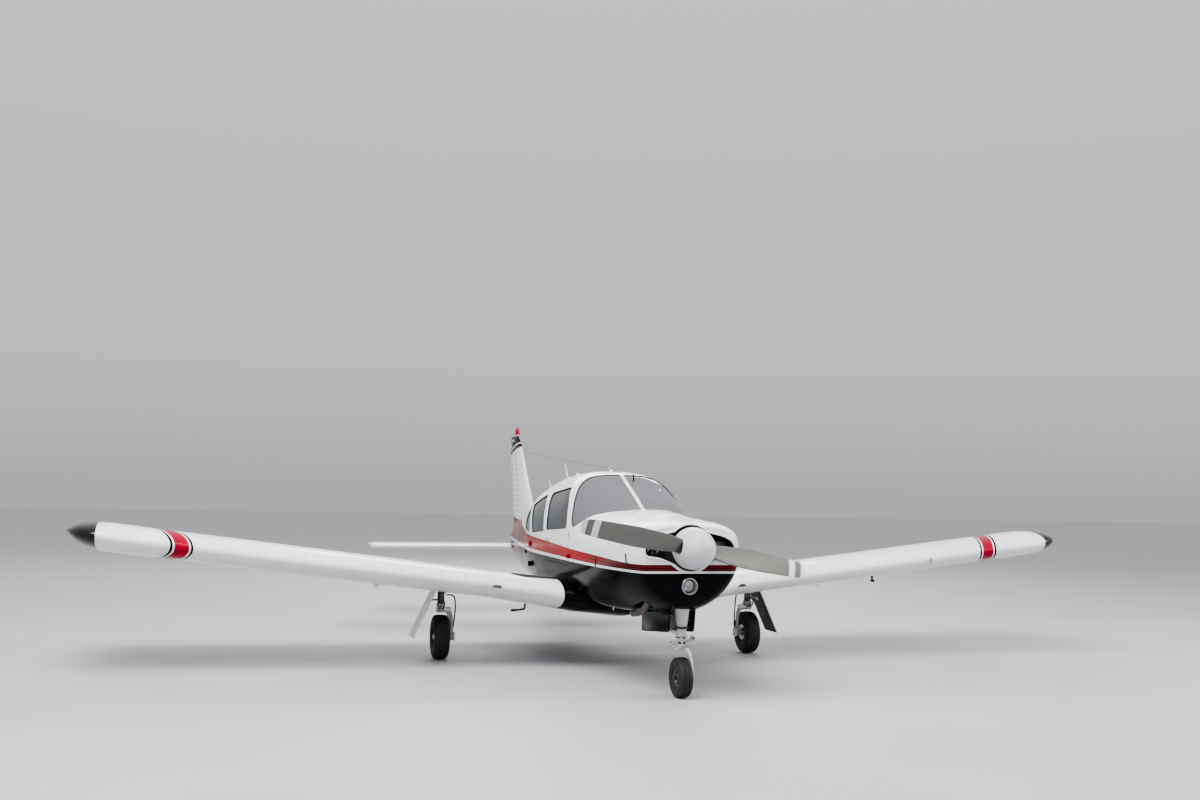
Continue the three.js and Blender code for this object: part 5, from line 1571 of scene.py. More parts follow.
# %% blades
blades = []
for side in (1, -1):
    rings = []
    for share in np.r_[np.linspace(0, 0.93, 44), 0.93 + 0.07 * np.sin(np.linspace(0, 1, 10)[1:] * pi / 2)]:
        radius = 0.06 + share * 0.9
        chord, thick, pitch = read(BLADE, radius)
        if radius > 0.92:
            chord *= sqrt(max(0.02, 1 - ((radius - 0.92) / 0.0403) ** 2)) / max(0.35,
                1 - (radius - 0.92) / 0.09)
        t = turns(40)
        u = chord / 2 * np.cos(t)
        rounder = float(np.interp(radius, [0.1, 0.3], [1, 0]))
        v = thick * np.where(np.sin(t) > 0, (0.62 - 0.12 * rounder) * np.sin(t),
            (0.38 + 0.12 * rounder) * np.sin(t))
        tilt = radians(90 - pitch)
        across = u * sin(tilt) - v * cos(tilt)
        along = u * cos(tilt) + v * sin(tilt)
        rings.append(np.stack([np.full(40, side * radius), PROP_STATION + along, side * across], -1))
    blades.append(rings)
prop_parts = [(lofted(spun(rings)), blade_paint) for rings in blades]
for side in (1, -1):
    for low, high, radius in ((0.07, 0.135, 0.05), (0.135, 0.15, 0.054)):
        rings = [[(side * r, PROP_STATION + radius * cos(a), radius * sin(a)) for a in turns(32)]
            for r in (low, high)]
        prop_parts.append((lofted(spun(rings)), dark_metal))
prop_parts += [
    (lathe([(0, -0.02), (0.05, -0.018), (0.085, 0.0), (0.088, 0.12), (0.07, 0.13), (0, 0.13)], HUB_CENTRE,
        "y"), cast),
    (rod(0.036, 0.1, 0.4, HUB_CENTRE, "y", 32), steel),
    # Painted shade: the starter ring behind the spinner is near-black metal, so the gap round the spinner
    # reads as shaded.
    (lathe([(0.05, 0.166), (0.158, 0.166), (0.162, 0.17), (0.162, 0.182), (0.158, 0.186), (0.05, 0.186)],
        HUB_CENTRE, "y", 72), dark_metal)]
assemble("propeller_blades", prop_parts, "propeller", "blade", "propeller")
print("blades ready")

# %% [markdown]
# The spinner is a turned shell, hollowed and cut where the blades come through, with its ring of screws.

# %% spinner
length = SPIN_BACK - SPIN_TIP
profile = []
for share in np.linspace(0, 1, 34):
    angle = pi / 2 * share
    profile.append((SPIN_RADIUS * sin(angle) ** 0.82,
        SPIN_BACK - 0.008 - (length - 0.008) * cos(angle) ** 1.05))
profile += [(SPIN_RADIUS, SPIN_BACK - 0.004), (SPIN_RADIUS - 0.004, SPIN_BACK), (0, SPIN_BACK)]
shell = put("spinner", *lathe(profile, HUB_CENTRE, "y", 96))
hollow = put("hollow", *lathe([(0, SPIN_TIP + 0.03)]
    + [(max(0.0, r - 0.006), t + 0.008) for r, t in profile[6:33]]
    + [(SPIN_RADIUS - 0.006, SPIN_BACK - 0.008), (0, SPIN_BACK - 0.008)], HUB_CENTRE, "y", 96))
carve(shell, hollow)
for side in (1, -1):
    outline = rounded([(0.046, -0.036, 0.03), (0.112, -0.07, 0.03), (0.122, 0.046, 0.03),
        (0.03, 0.074, 0.03), (-0.018, 0.034, 0.03), (-0.01, -0.04, 0.03)])
    rings = [[(side * reach, s, side * w) for s, w in outline] for reach in (0.08, 0.3)]
    carve(shell, loft("root", spun(rings)))
finished(coated(shell, spinner_paint, angle=40), "spinner_skin", "propeller", "white_paint", "spinner")
screws = []
forward_row = float(np.interp(0.028, [t for r, t in profile[:34]], [r for r, t in profile[:34]]))
for ring_t, ring_r, count in ((SPIN_BACK - 0.012, SPIN_RADIUS, 16), (0.028, forward_row, 8)):
    for k in range(count):
        a = 2 * pi * (k + 0.5) / count
        if ring_t < 0.1 and abs(cos(a)) > 0.92:
            continue
        out = Vector((cos(a), 0 if ring_t > 0.1 else -0.35, sin(a))).normalized()
        centre = HUB + SPIN @ Vector((ring_r * cos(a), ring_t, ring_r * sin(a)))
        screws.append((lathe([(0, -0.004), (0.0042, -0.003), (0.0046, 0.0004), (0.003, 0.0014),
            (0, 0.0016)], (centre.x, centre.y - DATUM, centre.z), SPIN @ out, 12), metal))
assemble("spinner_screws", screws, "propeller", "gear_metal")
print("propeller ready")

# %% [markdown]
# Behind each inlet sit a finned cylinder and its baffle. The starter ring turns with the propeller.

# %% engine and cowl fittings
engine = [
    (block((-0.16, 0.36, 1.02), (0.16, 0.93, 1.24), 0.02), cast),
    (lathe([(0.037, 0.225), (0.075, 0.225), (0.08, 0.235), (0.08, 0.43), (0.037, 0.43)], HUB_CENTRE, "y",
        32), cast),
    (block((-0.4, 0.545, 0.93), (0.4, 0.549, 1.345), 0.001), dark_metal)]
for side in (1, -1):
    for bank in (0.4, 0.7):
        if bank > 0.6:
            engine.append((block((side * 0.15, bank, 1.08), (side * 0.36, bank + 0.14, 1.25), 0.02), cast))
            continue
        for k in range(15):
            x = side * (0.155 + 0.014 * k)
            wide = 0.07 if k < 8 else 0.082
            fin_shape = rounded([(bank - wide, 1.18 - wide, 0.03), (bank + wide, 1.18 - wide, 0.03),
                (bank + wide, 1.18 + wide, 0.03), (bank - wide, 1.18 + wide, 0.03)])
            engine.append((plate(fin_shape, x - 0.0022, x + 0.0022, "x", 0.0008), cast))
        engine.append((rod(0.052, 0, 0.21, (side * 0.15, bank, 1.18), (side, 0, 0), 32), cast))
        engine.append((tube([(side * 0.3, bank - 0.05, 1.11), (side * 0.3, bank - 0.05, 1.02),
            (side * 0.24, bank + 0.06, 0.95)], 0.02, 14), steel))
        engine.append((tube([(side * 0.21, bank - 0.06, 1.262), (side * 0.28, bank - 0.07, 1.268),
            (side * 0.335, bank - 0.03, 1.262)], 0.006, 10), hose))
        engine.append((tube([(side * 0.155, bank - 0.055, 1.255), (side * 0.335, bank - 0.055, 1.255)],
            0.011, 12, 1), metal))
engine.append((block((-0.362, 0.62, 0.906), (0.362, 0.93, 1.04), 0.03), cast))
for x, z in ((-0.3, 0.99), (0.3, 0.99), (-0.3, 1.22), (0.3, 1.22)):
    engine.append((tube([(x * 0.7, 0.9, z), (x, 1.099, z)], 0.014, 12, 1), steel))
engine.append((tube([(-0.2, 0.37, 0.95), (-0.235, 0.42, 0.85), (-0.25, 0.48, 0.755), (-0.252, 0.57, 0.692),
    (-0.253, 0.7, 0.648), (-0.253, 0.87, 0.622)],
    [0.028, 0.029, 0.029, 0.029, 0.029, 0.028], 24), exhaust_metal))
engine.append((block((0.165, 0.325, 1.095), (0.362, 0.331, 1.262), 0.002), metal))
for low, high in (((0.155, 0.316, 1.088), (0.372, 0.326, 1.1)),
        ((0.155, 0.316, 1.254), (0.372, 0.326, 1.266)), ((0.155, 0.316, 1.088), (0.17, 0.326, 1.266))):
    engine.append((block(low, high, 0.002), hose))
for x, z in ((-0.255, 1.165), (-0.3, 1.15), (-0.335, 1.178)):
    engine.append((tube([(x, 0.3, z - 0.018), (x + 0.012, 0.285, z + 0.01), (x + 0.016, 0.33, z + 0.022)],
        0.007, 10, 2), metal))
engine.append((tube([(0.12, 0.26, 1.03), (0.15, 0.31, 1.02)], [0.045, 0.05], 24, 1), metal))
assemble("engine_and_exhaust", engine, "airframe", "engine", "engine_block")
assemble("exhaust_lip", [(tube([(-0.253 + 0.0285 * cos(a), 0.87 + 0.0285 * sin(a) * 0.15,
    0.622 + 0.0285 * sin(a) * 0.98) for a in turns(24)], 0.0028, 8, 1, True), metal)], "airframe",
    "gear_metal")
print("engine ready")

# %% [markdown]
# The landing light sits in the lower cowl: a bowl, a reflector turned in steps and a clear lens.

# %% landing light
lamp = [
    (lathe([(0.059, -0.003), (0.065, -0.004), (0.068, 0.0), (0.066, 0.005), (0.059, 0.005),
        (0.059, -0.003)], LAMP_CENTRE, "y", 64), metal),
    (lathe([(0.0592, 0.003), (0.061, 0.003), (0.061, 0.058), (0.0592, 0.058), (0.0592, 0.003)], LAMP_CENTRE,
        "y", 64), gear_white),
    (lathe([(0.046, 0.044), (0.0475, 0.042), (0.0485, 0.046), (0.0485, 0.058), (0.046, 0.058),
        (0.046, 0.044)], LAMP_CENTRE, "y", 48), steel),
    (lathe([(0.008, 0.0575), (0.024, 0.0545), (0.038, 0.049), (0.046, 0.044), (0.0462, 0.0455),
        (0.038, 0.051), (0.024, 0.0565), (0.008, 0.059)], LAMP_CENTRE, "y", 48), steel),
    (lathe([(0, 0.047), (0.005, 0.048), (0.006, 0.058), (0, 0.058)], LAMP_CENTRE, "y", 24), chrome),
    (rod(0.06, 0.058, 0.0596, LAMP_CENTRE, "y", 32), dark_metal)]
assemble("landing_light_bowl", lamp, "airframe", "lamp", "landing_light")
assemble("landing_light_lens", [
    (lathe([(0, 0.04), (0.024, 0.0408), (0.0458, 0.0425), (0.0458, 0.0438), (0.024, 0.0424), (0, 0.0414)],
        LAMP_CENTRE, "y", 48), lens_clear)],
    "airframe", "lamp")
print("lamp ready")

# %% [markdown]
# Latches and screws follow the curved skin. A point and a direction for each come from the skin's formula.

# %% cowl latches and screws


def on_skin(station, z, side, out=0.0):
    """The point of the skin at a station and height, pushed out a little."""
    half, top, waist, bottom, above, below = read(FUSELAGE, station)
    height, power = (top - waist, above) if z > waist else (waist - bottom, below)
    x = half * (1 - min(1, abs(z - waist) / height) ** power) ** (1 / power)
    point = np.array([[side * x, station + DATUM, z]])
    normal = skin_normals(point)[0][0]
    p = point[0] + normal * out
    return (float(p[0]), float(p[1]) - DATUM, float(p[2])), Vector(normal)


fittings = []
for station, low, high in ((0.39, 1.062, 1.15), (1.035, 1.002, 1.085)):
    for side in (1, -1):
        for shift in (-0.0045, 0.0045):
            ends = [on_skin(station + shift, z, side, 0.002)[0] for z in np.linspace(low, high, 8)]
            fittings.append((tube(ends, 0.0042, 10, 2), dark_metal))
        for z in (low + 0.01, high - 0.008):
            middle, normal = on_skin(station, z, side, 0.002)
            fittings.append((lathe([(0, 0), (0.0075, 0), (0.0075, 0.004), (0.005, 0.006), (0, 0.006)],
                middle, normal, 20), dark_metal))
for side in (1, -1):
    for k in range(9):
        middle, normal = on_skin(0.3 + 0.095 * k, SPLIT_Z + 0.016, side, -0.001)
        fittings.append((lathe([(0, 0), (0.0075, 0), (0.0078, 0.0016), (0.004, 0.0026), (0, 0.0026)],
            middle, normal, 16), paint))
assemble("cowl_latches", fittings, "airframe", "gear_metal")
print("engine and fittings ready")

# %% [markdown]
# The nose leg: a white tapered housing, torque links in front, one arm on the left side and a small wheel.
# The housing is fixed, and everything below it steers, so the leg is split there into two pieces.

# %% nose gear
NOSE_S = 0.37


def nose(x, s, z):
    """A point of the nose leg, its station counted from the leg."""
    return (x, NOSE_S + s, z)


def nose_tube(points, radius, sides=16, bend=6):
    return tube([nose(*p) for p in points], radius, sides, bend)


HUB_Z, FORK_X = 0.16, 0.09
housing = [
    (lathe([(0.026, 0.455), (0.043, 0.456), (0.046, 0.461), (0.046, 0.503), (0.036, 0.51), (0.0365, 0.52),
        (0.062, 0.7), (0.068, 0.715), (0.068, 0.9), (0.06, 0.905), (0.026, 0.905)], nose(0, 0, 0), "z", 40),
        gear_white),
    (lathe([(0, -0.071), (0.024, -0.071), (0.026, -0.067), (0.026, 0.067), (0.024, 0.071), (0, 0.071)],
        nose(0, 0, 0.86), "x", 28), gear_white),
    (nose_tube([(0, 0.03, 0.62), (0, 0.38, 0.655), (0, 0.7497, 0.695)], 0.016, 16), gear_white),
    (lathe([(0.04, 0.548), (0.05, 0.55), (0.052, 0.568), (0.046, 0.57), (0.04, 0.568)], nose(0, 0, 0), "z",
        40), dark_metal),
    (lathe([(0.044, 0.478), (0.0485, 0.479), (0.0485, 0.487), (0.044, 0.488)], nose(0, 0, 0), "z", 40),
        dark_metal),
    (block(nose(-0.016, 0.02, 0.595), nose(0.016, 0.06, 0.645), 0.006), gear_white),
    (nose_tube([(-0.036, 0.014, 0.522), (-0.072, 0.022, 0.524), (-0.1, 0.05, 0.548)], [0.013, 0.013, 0.012],
        16), gear_white),
    (bolt(nose(-0.076, 0.014, 0.529), "y", 0.008, 0.006), steel),
    (nose_tube([(0.05, 0.055, 0.78), (0.06, 0.06, 0.62), (0.045, 0.05, 0.52), (0.05, 0.03, 0.48)], 0.0045,
        10), hose),
    (bolt(nose(0.071, 0, 0.86), "x", 0.012, 0.006), steel)]
for x in (-0.02, 0.02):
    housing.append((block(nose(x - 0.005, -0.062, 0.464), nose(x + 0.005, -0.034, 0.496), 0.003),
        gear_white))
assemble("nose_leg_housing", housing, "airframe", "gear_metal", "nose_strut")
print("housing ready")

# %% [markdown]
# What steers: the bright piston, its collar, the arm that bends round the tyre, the axle and the links.

# %% nose fork
fork = [
    (rod(0.0235, 0.385, 0.63, nose(0, 0, 0), "z", 32), chrome),
    (lathe([(0, 0.382), (0.034, 0.383), (0.038, 0.388), (0.038, 0.42), (0.034, 0.426), (0, 0.427)],
        nose(0, 0, 0), "z", 32), gear_white),
    (lathe([(0, 0.427), (0.028, 0.427), (0.03, 0.431), (0.03, 0.443), (0.028, 0.446), (0, 0.446)],
        nose(0, 0, 0), "z", 32), dark_metal),
    (nose_tube([(0, 0, 0.394), (0.036, 0, 0.384), (0.064, 0, 0.35), (0.083, 0, 0.292), (FORK_X, 0, 0.235),
        (FORK_X, 0, HUB_Z)],
    [0.022, 0.021, 0.018, 0.015, 0.014, 0.016], 20), white_paint),
    (rod(0.0168, -0.06, 0.07, nose(0, 0, HUB_Z), "x", 24), steel),
    (lathe([(0, 0.066), (0.022, 0.066), (0.026, 0.07), (0.026, 0.095), (0.022, 0.101), (0, 0.101)],
        nose(0, 0, HUB_Z), "x", 24), gear_white),
    (bolt(nose(0.101, 0, HUB_Z), "x", 0.013, 0.0), steel),
    (lathe([(0, -0.064), (0.018, -0.064), (0.024, -0.06), (0.024, -0.052), (0, -0.05)], nose(0, 0, HUB_Z),
        "x", 24), dark_metal),
    (nose_tube([(-0.078, 0, 0.434), (0.078, 0, 0.434)], 0.0105, 14, 1), gear_white),
    (nose_tube([(-0.074, 0.004, 0.434), (-0.078, 0.05, 0.438)], 0.006, 10, 1), metal),
    (nose_tube([(0.03, -0.004, 0.438), (0.086, -0.008, 0.462)], 0.01, 14, 1), cream),
    (lathe([(0, -0.02), (0.02, -0.019), (0.023, -0.014), (0.023, 0.004), (0.019, 0.008), (0, 0.008)],
        nose(0.092, 0, 0.471), "y", 28), cream),
    (bolt(nose(0.092, -0.02, 0.471), "y", 0.009, 0.0), steel),
    (block(nose(-0.024, -0.068, 0.396), nose(0.024, -0.022, 0.412), 0.004), gear_white)]
for x in (-0.018, 0.018):
    fork.append((nose_tube([(x, -0.052, 0.403), (x * 1.4, -0.098, 0.42), (x, -0.056, 0.45)], 0.0066, 12, 4),
        gear_white))
fork.append((nose_tube([(-0.03, -0.099, 0.42), (0.03, -0.099, 0.42)], 0.0065, 12, 1), steel))
fork.append((nose_tube([(-0.06, -0.03, 0.386), (-0.024, -0.05, 0.402)], 0.007, 12, 1), gear_white))
assemble("nose_fork_arm", fork, "nose_leg", "gear_metal", "nose_fork")
print("fork ready")

# %% [markdown]
# A tyre is one turned profile with ribs and grooves, and a rim is two cast halves with bolts and holes that
# are black discs of painted shade.
# The wheels differ in size and in the brake disc alone, so one function makes all three.

# %% tyres and wheels


def tyre_rings(radius, width, rim, grooves, sides=120):
    """A tyre's profile as (radius, along): beads, walls with a rib, shoulders and a grooved tread."""
    half, tall = width / 2, radius - rim
    wall = [(rim + 0.001, 0.62), (rim + tall * 0.06, 0.7), (rim + tall * 0.12, 0.78),
        (rim + tall * 0.3, 0.935), (rim + tall * 0.34, 0.965),
        (rim + tall * 0.37, 0.96), (rim + tall * 0.52, 1.0), (rim + tall * 0.68, 0.985),
            (rim + tall * 0.82, 0.91),
        (rim + tall * 0.91, 0.8), (rim + tall * 0.955, 0.69)]
    side = [(r, w * half) for r, w in wall]
    tread, edge = [], 0.66
    lands = np.linspace(edge, -edge, 2 * grooves + 2)
    heights = [radius - 0.04 * tall * (w / edge) ** 2 for w in lands]
    for k, w in enumerate(lands):
        tread.append((heights[k], w * half))
        if k % 2 and k < len(lands) - 1:
            following = lands[k + 1]
            tread += [(heights[k] - 0.005, w * half - 0.0012),
                (heights[k + 1] - 0.005, following * half + 0.0012)]
    outer = side + tread + [(r, -w) for r, w in side[::-1]]
    inner = [(rim + 0.012, -0.4 * half), (rim + 0.012, 0.4 * half)]
    return [(r, w) for r, w in outer] + inner


def wheel(name, centre, radius, width, rim, body, grooves, nodes, holes, disc=None, hub_side=1,
        finish=None):
    """A tyre, a rim in two bolted halves and, where there is one, the brake disc on its inboard side."""
    profile = tyre_rings(radius, width, rim, grooves)
    assemble(f"{name}_tyre_rubber", [(lathe(profile + profile[:1], centre, "x", 120), tyre_rubber)], body,
        "tyre", nodes[0], crease=50)
    r, half = rim + 0.0005, width * 0.31
    rim_profile = [(0.0175, -half * 0.92), (0.03, -half * 0.92), (r * 0.42, -half * 0.8),
        (r * 0.5, -half * 0.42), (r * 0.84, -half * 0.46),
        (r * 0.9, -half * 0.94), (r * 1.02, -half * 1.02), (r * 1.07, -half * 1.06),
            (r * 1.07, -half * 0.98), (r, -half * 0.9),
        (r * 0.97, 0)]
    rim_profile += [(a, -b) for a, b in rim_profile[-2::-1]]
    parts = [(lathe(rim_profile + rim_profile[:1], centre, "x", 96), finish or gear_white)]
    for k in range(holes):
        a = 2 * pi * k / holes
        y, z = centre[1] + r * 0.66 * cos(a), centre[2] + r * 0.66 * sin(a)
        for side in (1, -1):
            parts.append((bolt((centre[0] + side * half * 0.44, y, z), (side, 0, 0), 0.0062, 0.006), steel))
        # Painted shade: between the bolts, each hole in the rim is a flat black disc standing for the dark
        # inside of the hole.
        a += pi / holes
        y, z = centre[1] + r * 0.66 * cos(a), centre[2] + r * 0.66 * sin(a)
        for side in (1, -1):
            parts.append((lathe([(0, 0), (r * 0.13, 0), (r * 0.14, 0.002), (r * 0.11, 0.0025), (0, 0.001)],
                (centre[0] + side * half * 0.43, y, z), (side, 0, 0), 20), black_plastic))
    parts.append((tube([(centre[0] + hub_side * half * 0.46, centre[1] - r * 0.62, centre[2] - r * 0.5),
        (centre[0] + hub_side * half * 1.0, centre[1] - r * 0.6, centre[2] - r * 0.48)], 0.0035, 10, 1),
        steel))
    if disc:
        low, high, wide = disc
        parts.append((lathe([(0.045, low), (wide, low), (wide + 0.001, (low + high) / 2), (wide, high),
            (0.045, high)], centre, "x", 64), steel))
    assemble(f"{name}_rim_halves", parts, body, "rim_metal", nodes[1])


print("wheel maker ready")

# %% [markdown]
# Two pale rings mark the nose wheel's rim. The doors are flat leaves, trimmed along the cowl.

# %% nose wheel and doors
wheel("nose_wheel", nose(0, 0, HUB_Z), HUB_Z, 0.12, 0.066, "nose_wheel", 2, ("nose_tyre", "nose_rim"), 3,
    finish=cast)
for side, label in SIDES:
    ring = [nose(side * 0.0412, 0.0755 * cos(a), HUB_Z + 0.0755 * sin(a)) for a in turns(64)]
    assemble(f"nose_wheel_ring_{label}", [(tube(ring, 0.003, 8, 1, True), white_paint)], "nose_wheel",
        "rim_metal")
door_outline = rounded([(0.33, 0.76, 0.04), (1.085, 0.76, 0.04), (1.085, 0.45, 0.015), (0.372, 0.52, 0.04)])
for side, label in SIDES:
    low, high = sorted((side * 0.1025, side * 0.1095))
    rest = put("leaf", *plate(door_outline, low, high, "x", 0.0028))
    carve(rest, hull(0.2, 1.3, -0.001, 0.05, 96))
    finished(coated(rest, gloss_black), f"nose_gear_door_{label}_leaf", "airframe", "black_paint",
        f"nose_gear_door_{label}")
    assemble(f"nose_gear_door_{label}_links", [
        (tube([(side * 0.1015, 0.62, 0.6), (side * 0.085, 0.56, 0.66), (side * 0.02, 0.5, 0.64)], 0.006, 12,
            3), steel),
        (block((side * 0.0945, 0.45, 0.6), (side * 0.102, 0.95, 0.606), 0.002), metal)],
        "airframe", "gear_metal")
print("nose gear ready")

# %% [markdown]
# Each main leg stands in its well: a strut with a half fork on the inboard side, torque links ahead of it,
# a brake on the inboard side of the wheel, and a door panel outboard that is stayed to the leg.

# %% main gear
TYRE_RADIUS, TYRE_WIDTH, RIM = 0.212, 0.152, 0.084
roof_here = ROOT_Z + tan(DIHEDRAL) * TRACK
leg_top = roof_here + ROOF / cos(DIHEDRAL) - 0.006
ARM_X = -TYRE_WIDTH / 2 - 0.03


def main_gear(side, label):
    def leg(x, s, z):
        return (side * (TRACK + x), MAIN_STATION + s, z)

    def leg_tube(points, radius, sides=16, bend=6):
        return tube([leg(*p) for p in points], radius, sides, bend)

    def bar_x(profile):
        return [(r, side * t) for r, t in profile]

    roof = ROOT_Z + tan(DIHEDRAL) * (TRACK - 0.28)
    # The strut, the stay and the torque links take the dark grey of painted shade.
    parts = [
        (lathe([(0.026, 0.5), (0.034, 0.5), (0.034, leg_top - 0.012), (0.026, leg_top - 0.01)],
            leg(0, 0, 0), "z", 40), shaded_gear_grey),
        (rod(0.026, 0.452, 0.52, leg(0, 0, 0), "z", 36), chrome),
        (lathe([(0.026, 0.496), (0.04, 0.497), (0.042, 0.502), (0.042, 0.524), (0.038, 0.53),
            (0.034, 0.53)], leg(0, 0, 0), "z", 40), gear_white),
        (lathe([(0, -0.082), (0.02, -0.082), (0.022, -0.078), (0.022, 0.078), (0.02, 0.082), (0, 0.082)],
            leg(0, 0, leg_top - 0.04), "y", 24), gear_white),
        (lathe([(0, 0.446), (0.038, 0.446), (0.042, 0.452), (0.042, 0.486), (0.038, 0.494), (0, 0.495)],
            leg(0, 0, 0), "z", 36), gear_white),
        (block(leg(-0.1, -0.03, 0.462), leg(0.039, 0.03, 0.494), 0.012), metal),
        (leg_tube([(-0.05, 0, 0.612), (-0.118, -0.01, 0.604), (-0.138, -0.014, 0.54), (-0.14, 0.0, 0.42),
            (-0.128, 0.045, 0.274)], 0.007, 12, 6), hose),
        (leg_tube([(-0.104, 0, 0.4), (-0.086, 0, 0.446), (-0.04, 0, 0.466), (0, 0, 0.47), (0.04, 0, 0.456)],
        [0.02, 0.021, 0.022, 0.022, 0.016], 20), gear_white),
        (leg_tube([(0, 0, 0.47), (-0.045, 0, 0.47), (-0.09, 0, 0.44), (ARM_X, 0, 0.385),
            (ARM_X - 0.002, 0, 0.3), (ARM_X - 0.002, 0, TYRE_RADIUS)],
        [0.024, 0.022, 0.02, 0.018, 0.017, 0.022], 24), gear_white),
        (lathe(bar_x([(0, ARM_X - 0.016), (0.0168, ARM_X - 0.016), (0.0168, 0.06), (0, 0.06)]),
            leg(0, 0, TYRE_RADIUS), "x", 24), steel),
        (lathe(bar_x([(0, ARM_X - 0.024), (0.024, ARM_X - 0.024), (0.031, ARM_X - 0.018),
            (0.034, ARM_X - 0.01), (0.034, ARM_X + 0.02), (0, ARM_X + 0.022)]), leg(0, 0, TYRE_RADIUS), "x",
            32), gear_white),
        (lathe(bar_x([(0, 0.054), (0.02, 0.054), (0.025, 0.058), (0.022, 0.066), (0, 0.067)]),
            leg(0, 0, TYRE_RADIUS), "x", 28), metal),
        (leg_tube([(-0.02, 0, 0.64), (-0.14, 0, 0.672), (-0.28, 0, roof + 0.02)], 0.014, 16, 4), shaded_gear_grey),
        (leg_tube([(-0.02, 0.03, 0.74), (-0.13, 0.032, 0.735), (-0.24, 0.034, 0.755)], 0.011, 14, 3),
            steel),
        (leg_tube([(0.012, 0.036, leg_top - 0.03), (0.0, 0.04, 0.66), (-0.018, 0.046, 0.53),
            (-0.075, 0.052, 0.42), (ARM_X - 0.01, 0.066, 0.275)], 0.0046, 12, 6), hose)]
    cap = rounded([(-0.036, -0.04, 0.014), (0.036, -0.04, 0.014), (0.04, 0.01, 0.02), (0.026, 0.046, 0.022),
        (-0.026, 0.046, 0.022), (-0.04, 0.01, 0.02)])
    cap = np.asarray(cap) + (MAIN_STATION, TYRE_RADIUS)
    parts.append((plate(cap, *sorted((side * (TRACK + ARM_X - 0.034), side * (TRACK + ARM_X - 0.022))), "x",
        0.003), white_paint))
    for x in (-0.014, 0.014):
        parts.append((leg_tube([(x, -0.03, 0.585), (x * 1.4, -0.118, 0.53), (x, -0.034, 0.474)],
            [0.0085, 0.0068, 0.0085], 12, 4), shaded_gear_grey))
    parts.append((leg_tube([(-0.028, -0.12, 0.53), (0.028, -0.12, 0.53)], 0.0065, 12, 1), steel))
    for z in (0.585, 0.474):
        parts.append((leg_tube([(-0.024, -0.032, z), (0.024, -0.032, z)], 0.009, 12, 1), steel))
    parts.append((block(leg(ARM_X - 0.012, 0.034, TYRE_RADIUS - 0.046),
        leg(ARM_X + 0.018, 0.108, TYRE_RADIUS + 0.036), 0.01), cast))
    for z in (-0.02, 0.012):
        parts.append((bolt((side * (TRACK + ARM_X - 0.012), MAIN_STATION + 0.07, TYRE_RADIUS + z),
            (-side, 0, 0), 0.007, 0.008), steel))
    assemble(f"main_leg_{label}_strut", parts, "airframe", "gear_metal", f"main_leg_{label}")

    top_x, bottom_x, top_z, bottom_z, thick = 0.067, 0.272, 0.664, 0.214, 0.01
    panel = rounded([(top_x, top_z), (top_x + thick, top_z + 0.002), (bottom_x + thick, bottom_z),
        (bottom_x, bottom_z)], 0.003, 3)
    panel = np.stack([side * (TRACK + panel[:, 0]), panel[:, 1]], -1)
    # Painted shade: a dark plate on the door's face toward the leg stands for the shade on that side.
    inner = np.array([(top_x - 0.001, top_z - 0.002), (top_x + 0.003, top_z - 0.002),
        (bottom_x + 0.003, bottom_z + 0.001), (bottom_x - 0.001, bottom_z + 0.001)])
    inner = np.stack([side * (TRACK + inner[:, 0]), inner[:, 1]], -1)
    stay_x = top_x + (bottom_x - top_x) * 0.22
    stay_z = top_z + (bottom_z - top_z) * 0.22
    parts = [
        (plate(panel, MAIN_STATION - 0.15, MAIN_STATION + 0.15, "y", 0.0), white_paint),
        (plate(inner, MAIN_STATION - 0.149, MAIN_STATION + 0.149, "y", 0.0), dark_metal),
        (leg_tube([(0.034, 0, stay_z), (stay_x + 0.004, 0, stay_z)], 0.0088, 14, 1), gear_white),
        (block(leg(stay_x - 0.006, -0.03, stay_z - 0.02), leg(stay_x + 0.006, 0.03, stay_z + 0.02), 0.004),
            metal)]
    for s in (-0.11, 0.11):
        parts.append((leg_tube([(top_x + 0.004, s, top_z - 0.004), (top_x + 0.002, s, top_z + 0.05),
            (top_x - 0.012, s, 0.8)], 0.006, 10, 3), metal))
    assemble(f"main_gear_door_{label}_panel", parts, "airframe", "white_paint", f"main_gear_door_{label}")
    wheel(f"main_wheel_{label}", leg(0, 0, TYRE_RADIUS), TYRE_RADIUS, TYRE_WIDTH, RIM,
        f"main_wheel_{label}", 3,
        (f"main_tyre_{label}", f"main_rim_{label}"), 6, hub_side=side, finish=cast,
        disc=tuple(sorted((side * -0.06, side * -0.054))) + (0.079,))


main_gear(1, "left")
main_gear(-1, "right")
print("main gear ready")

# %% [markdown]
# Seats are stuffed cloth on a metal frame. A block is blown up a little by a cloth simulation,
# kept within a cap, and then the sewn channels are pressed in.

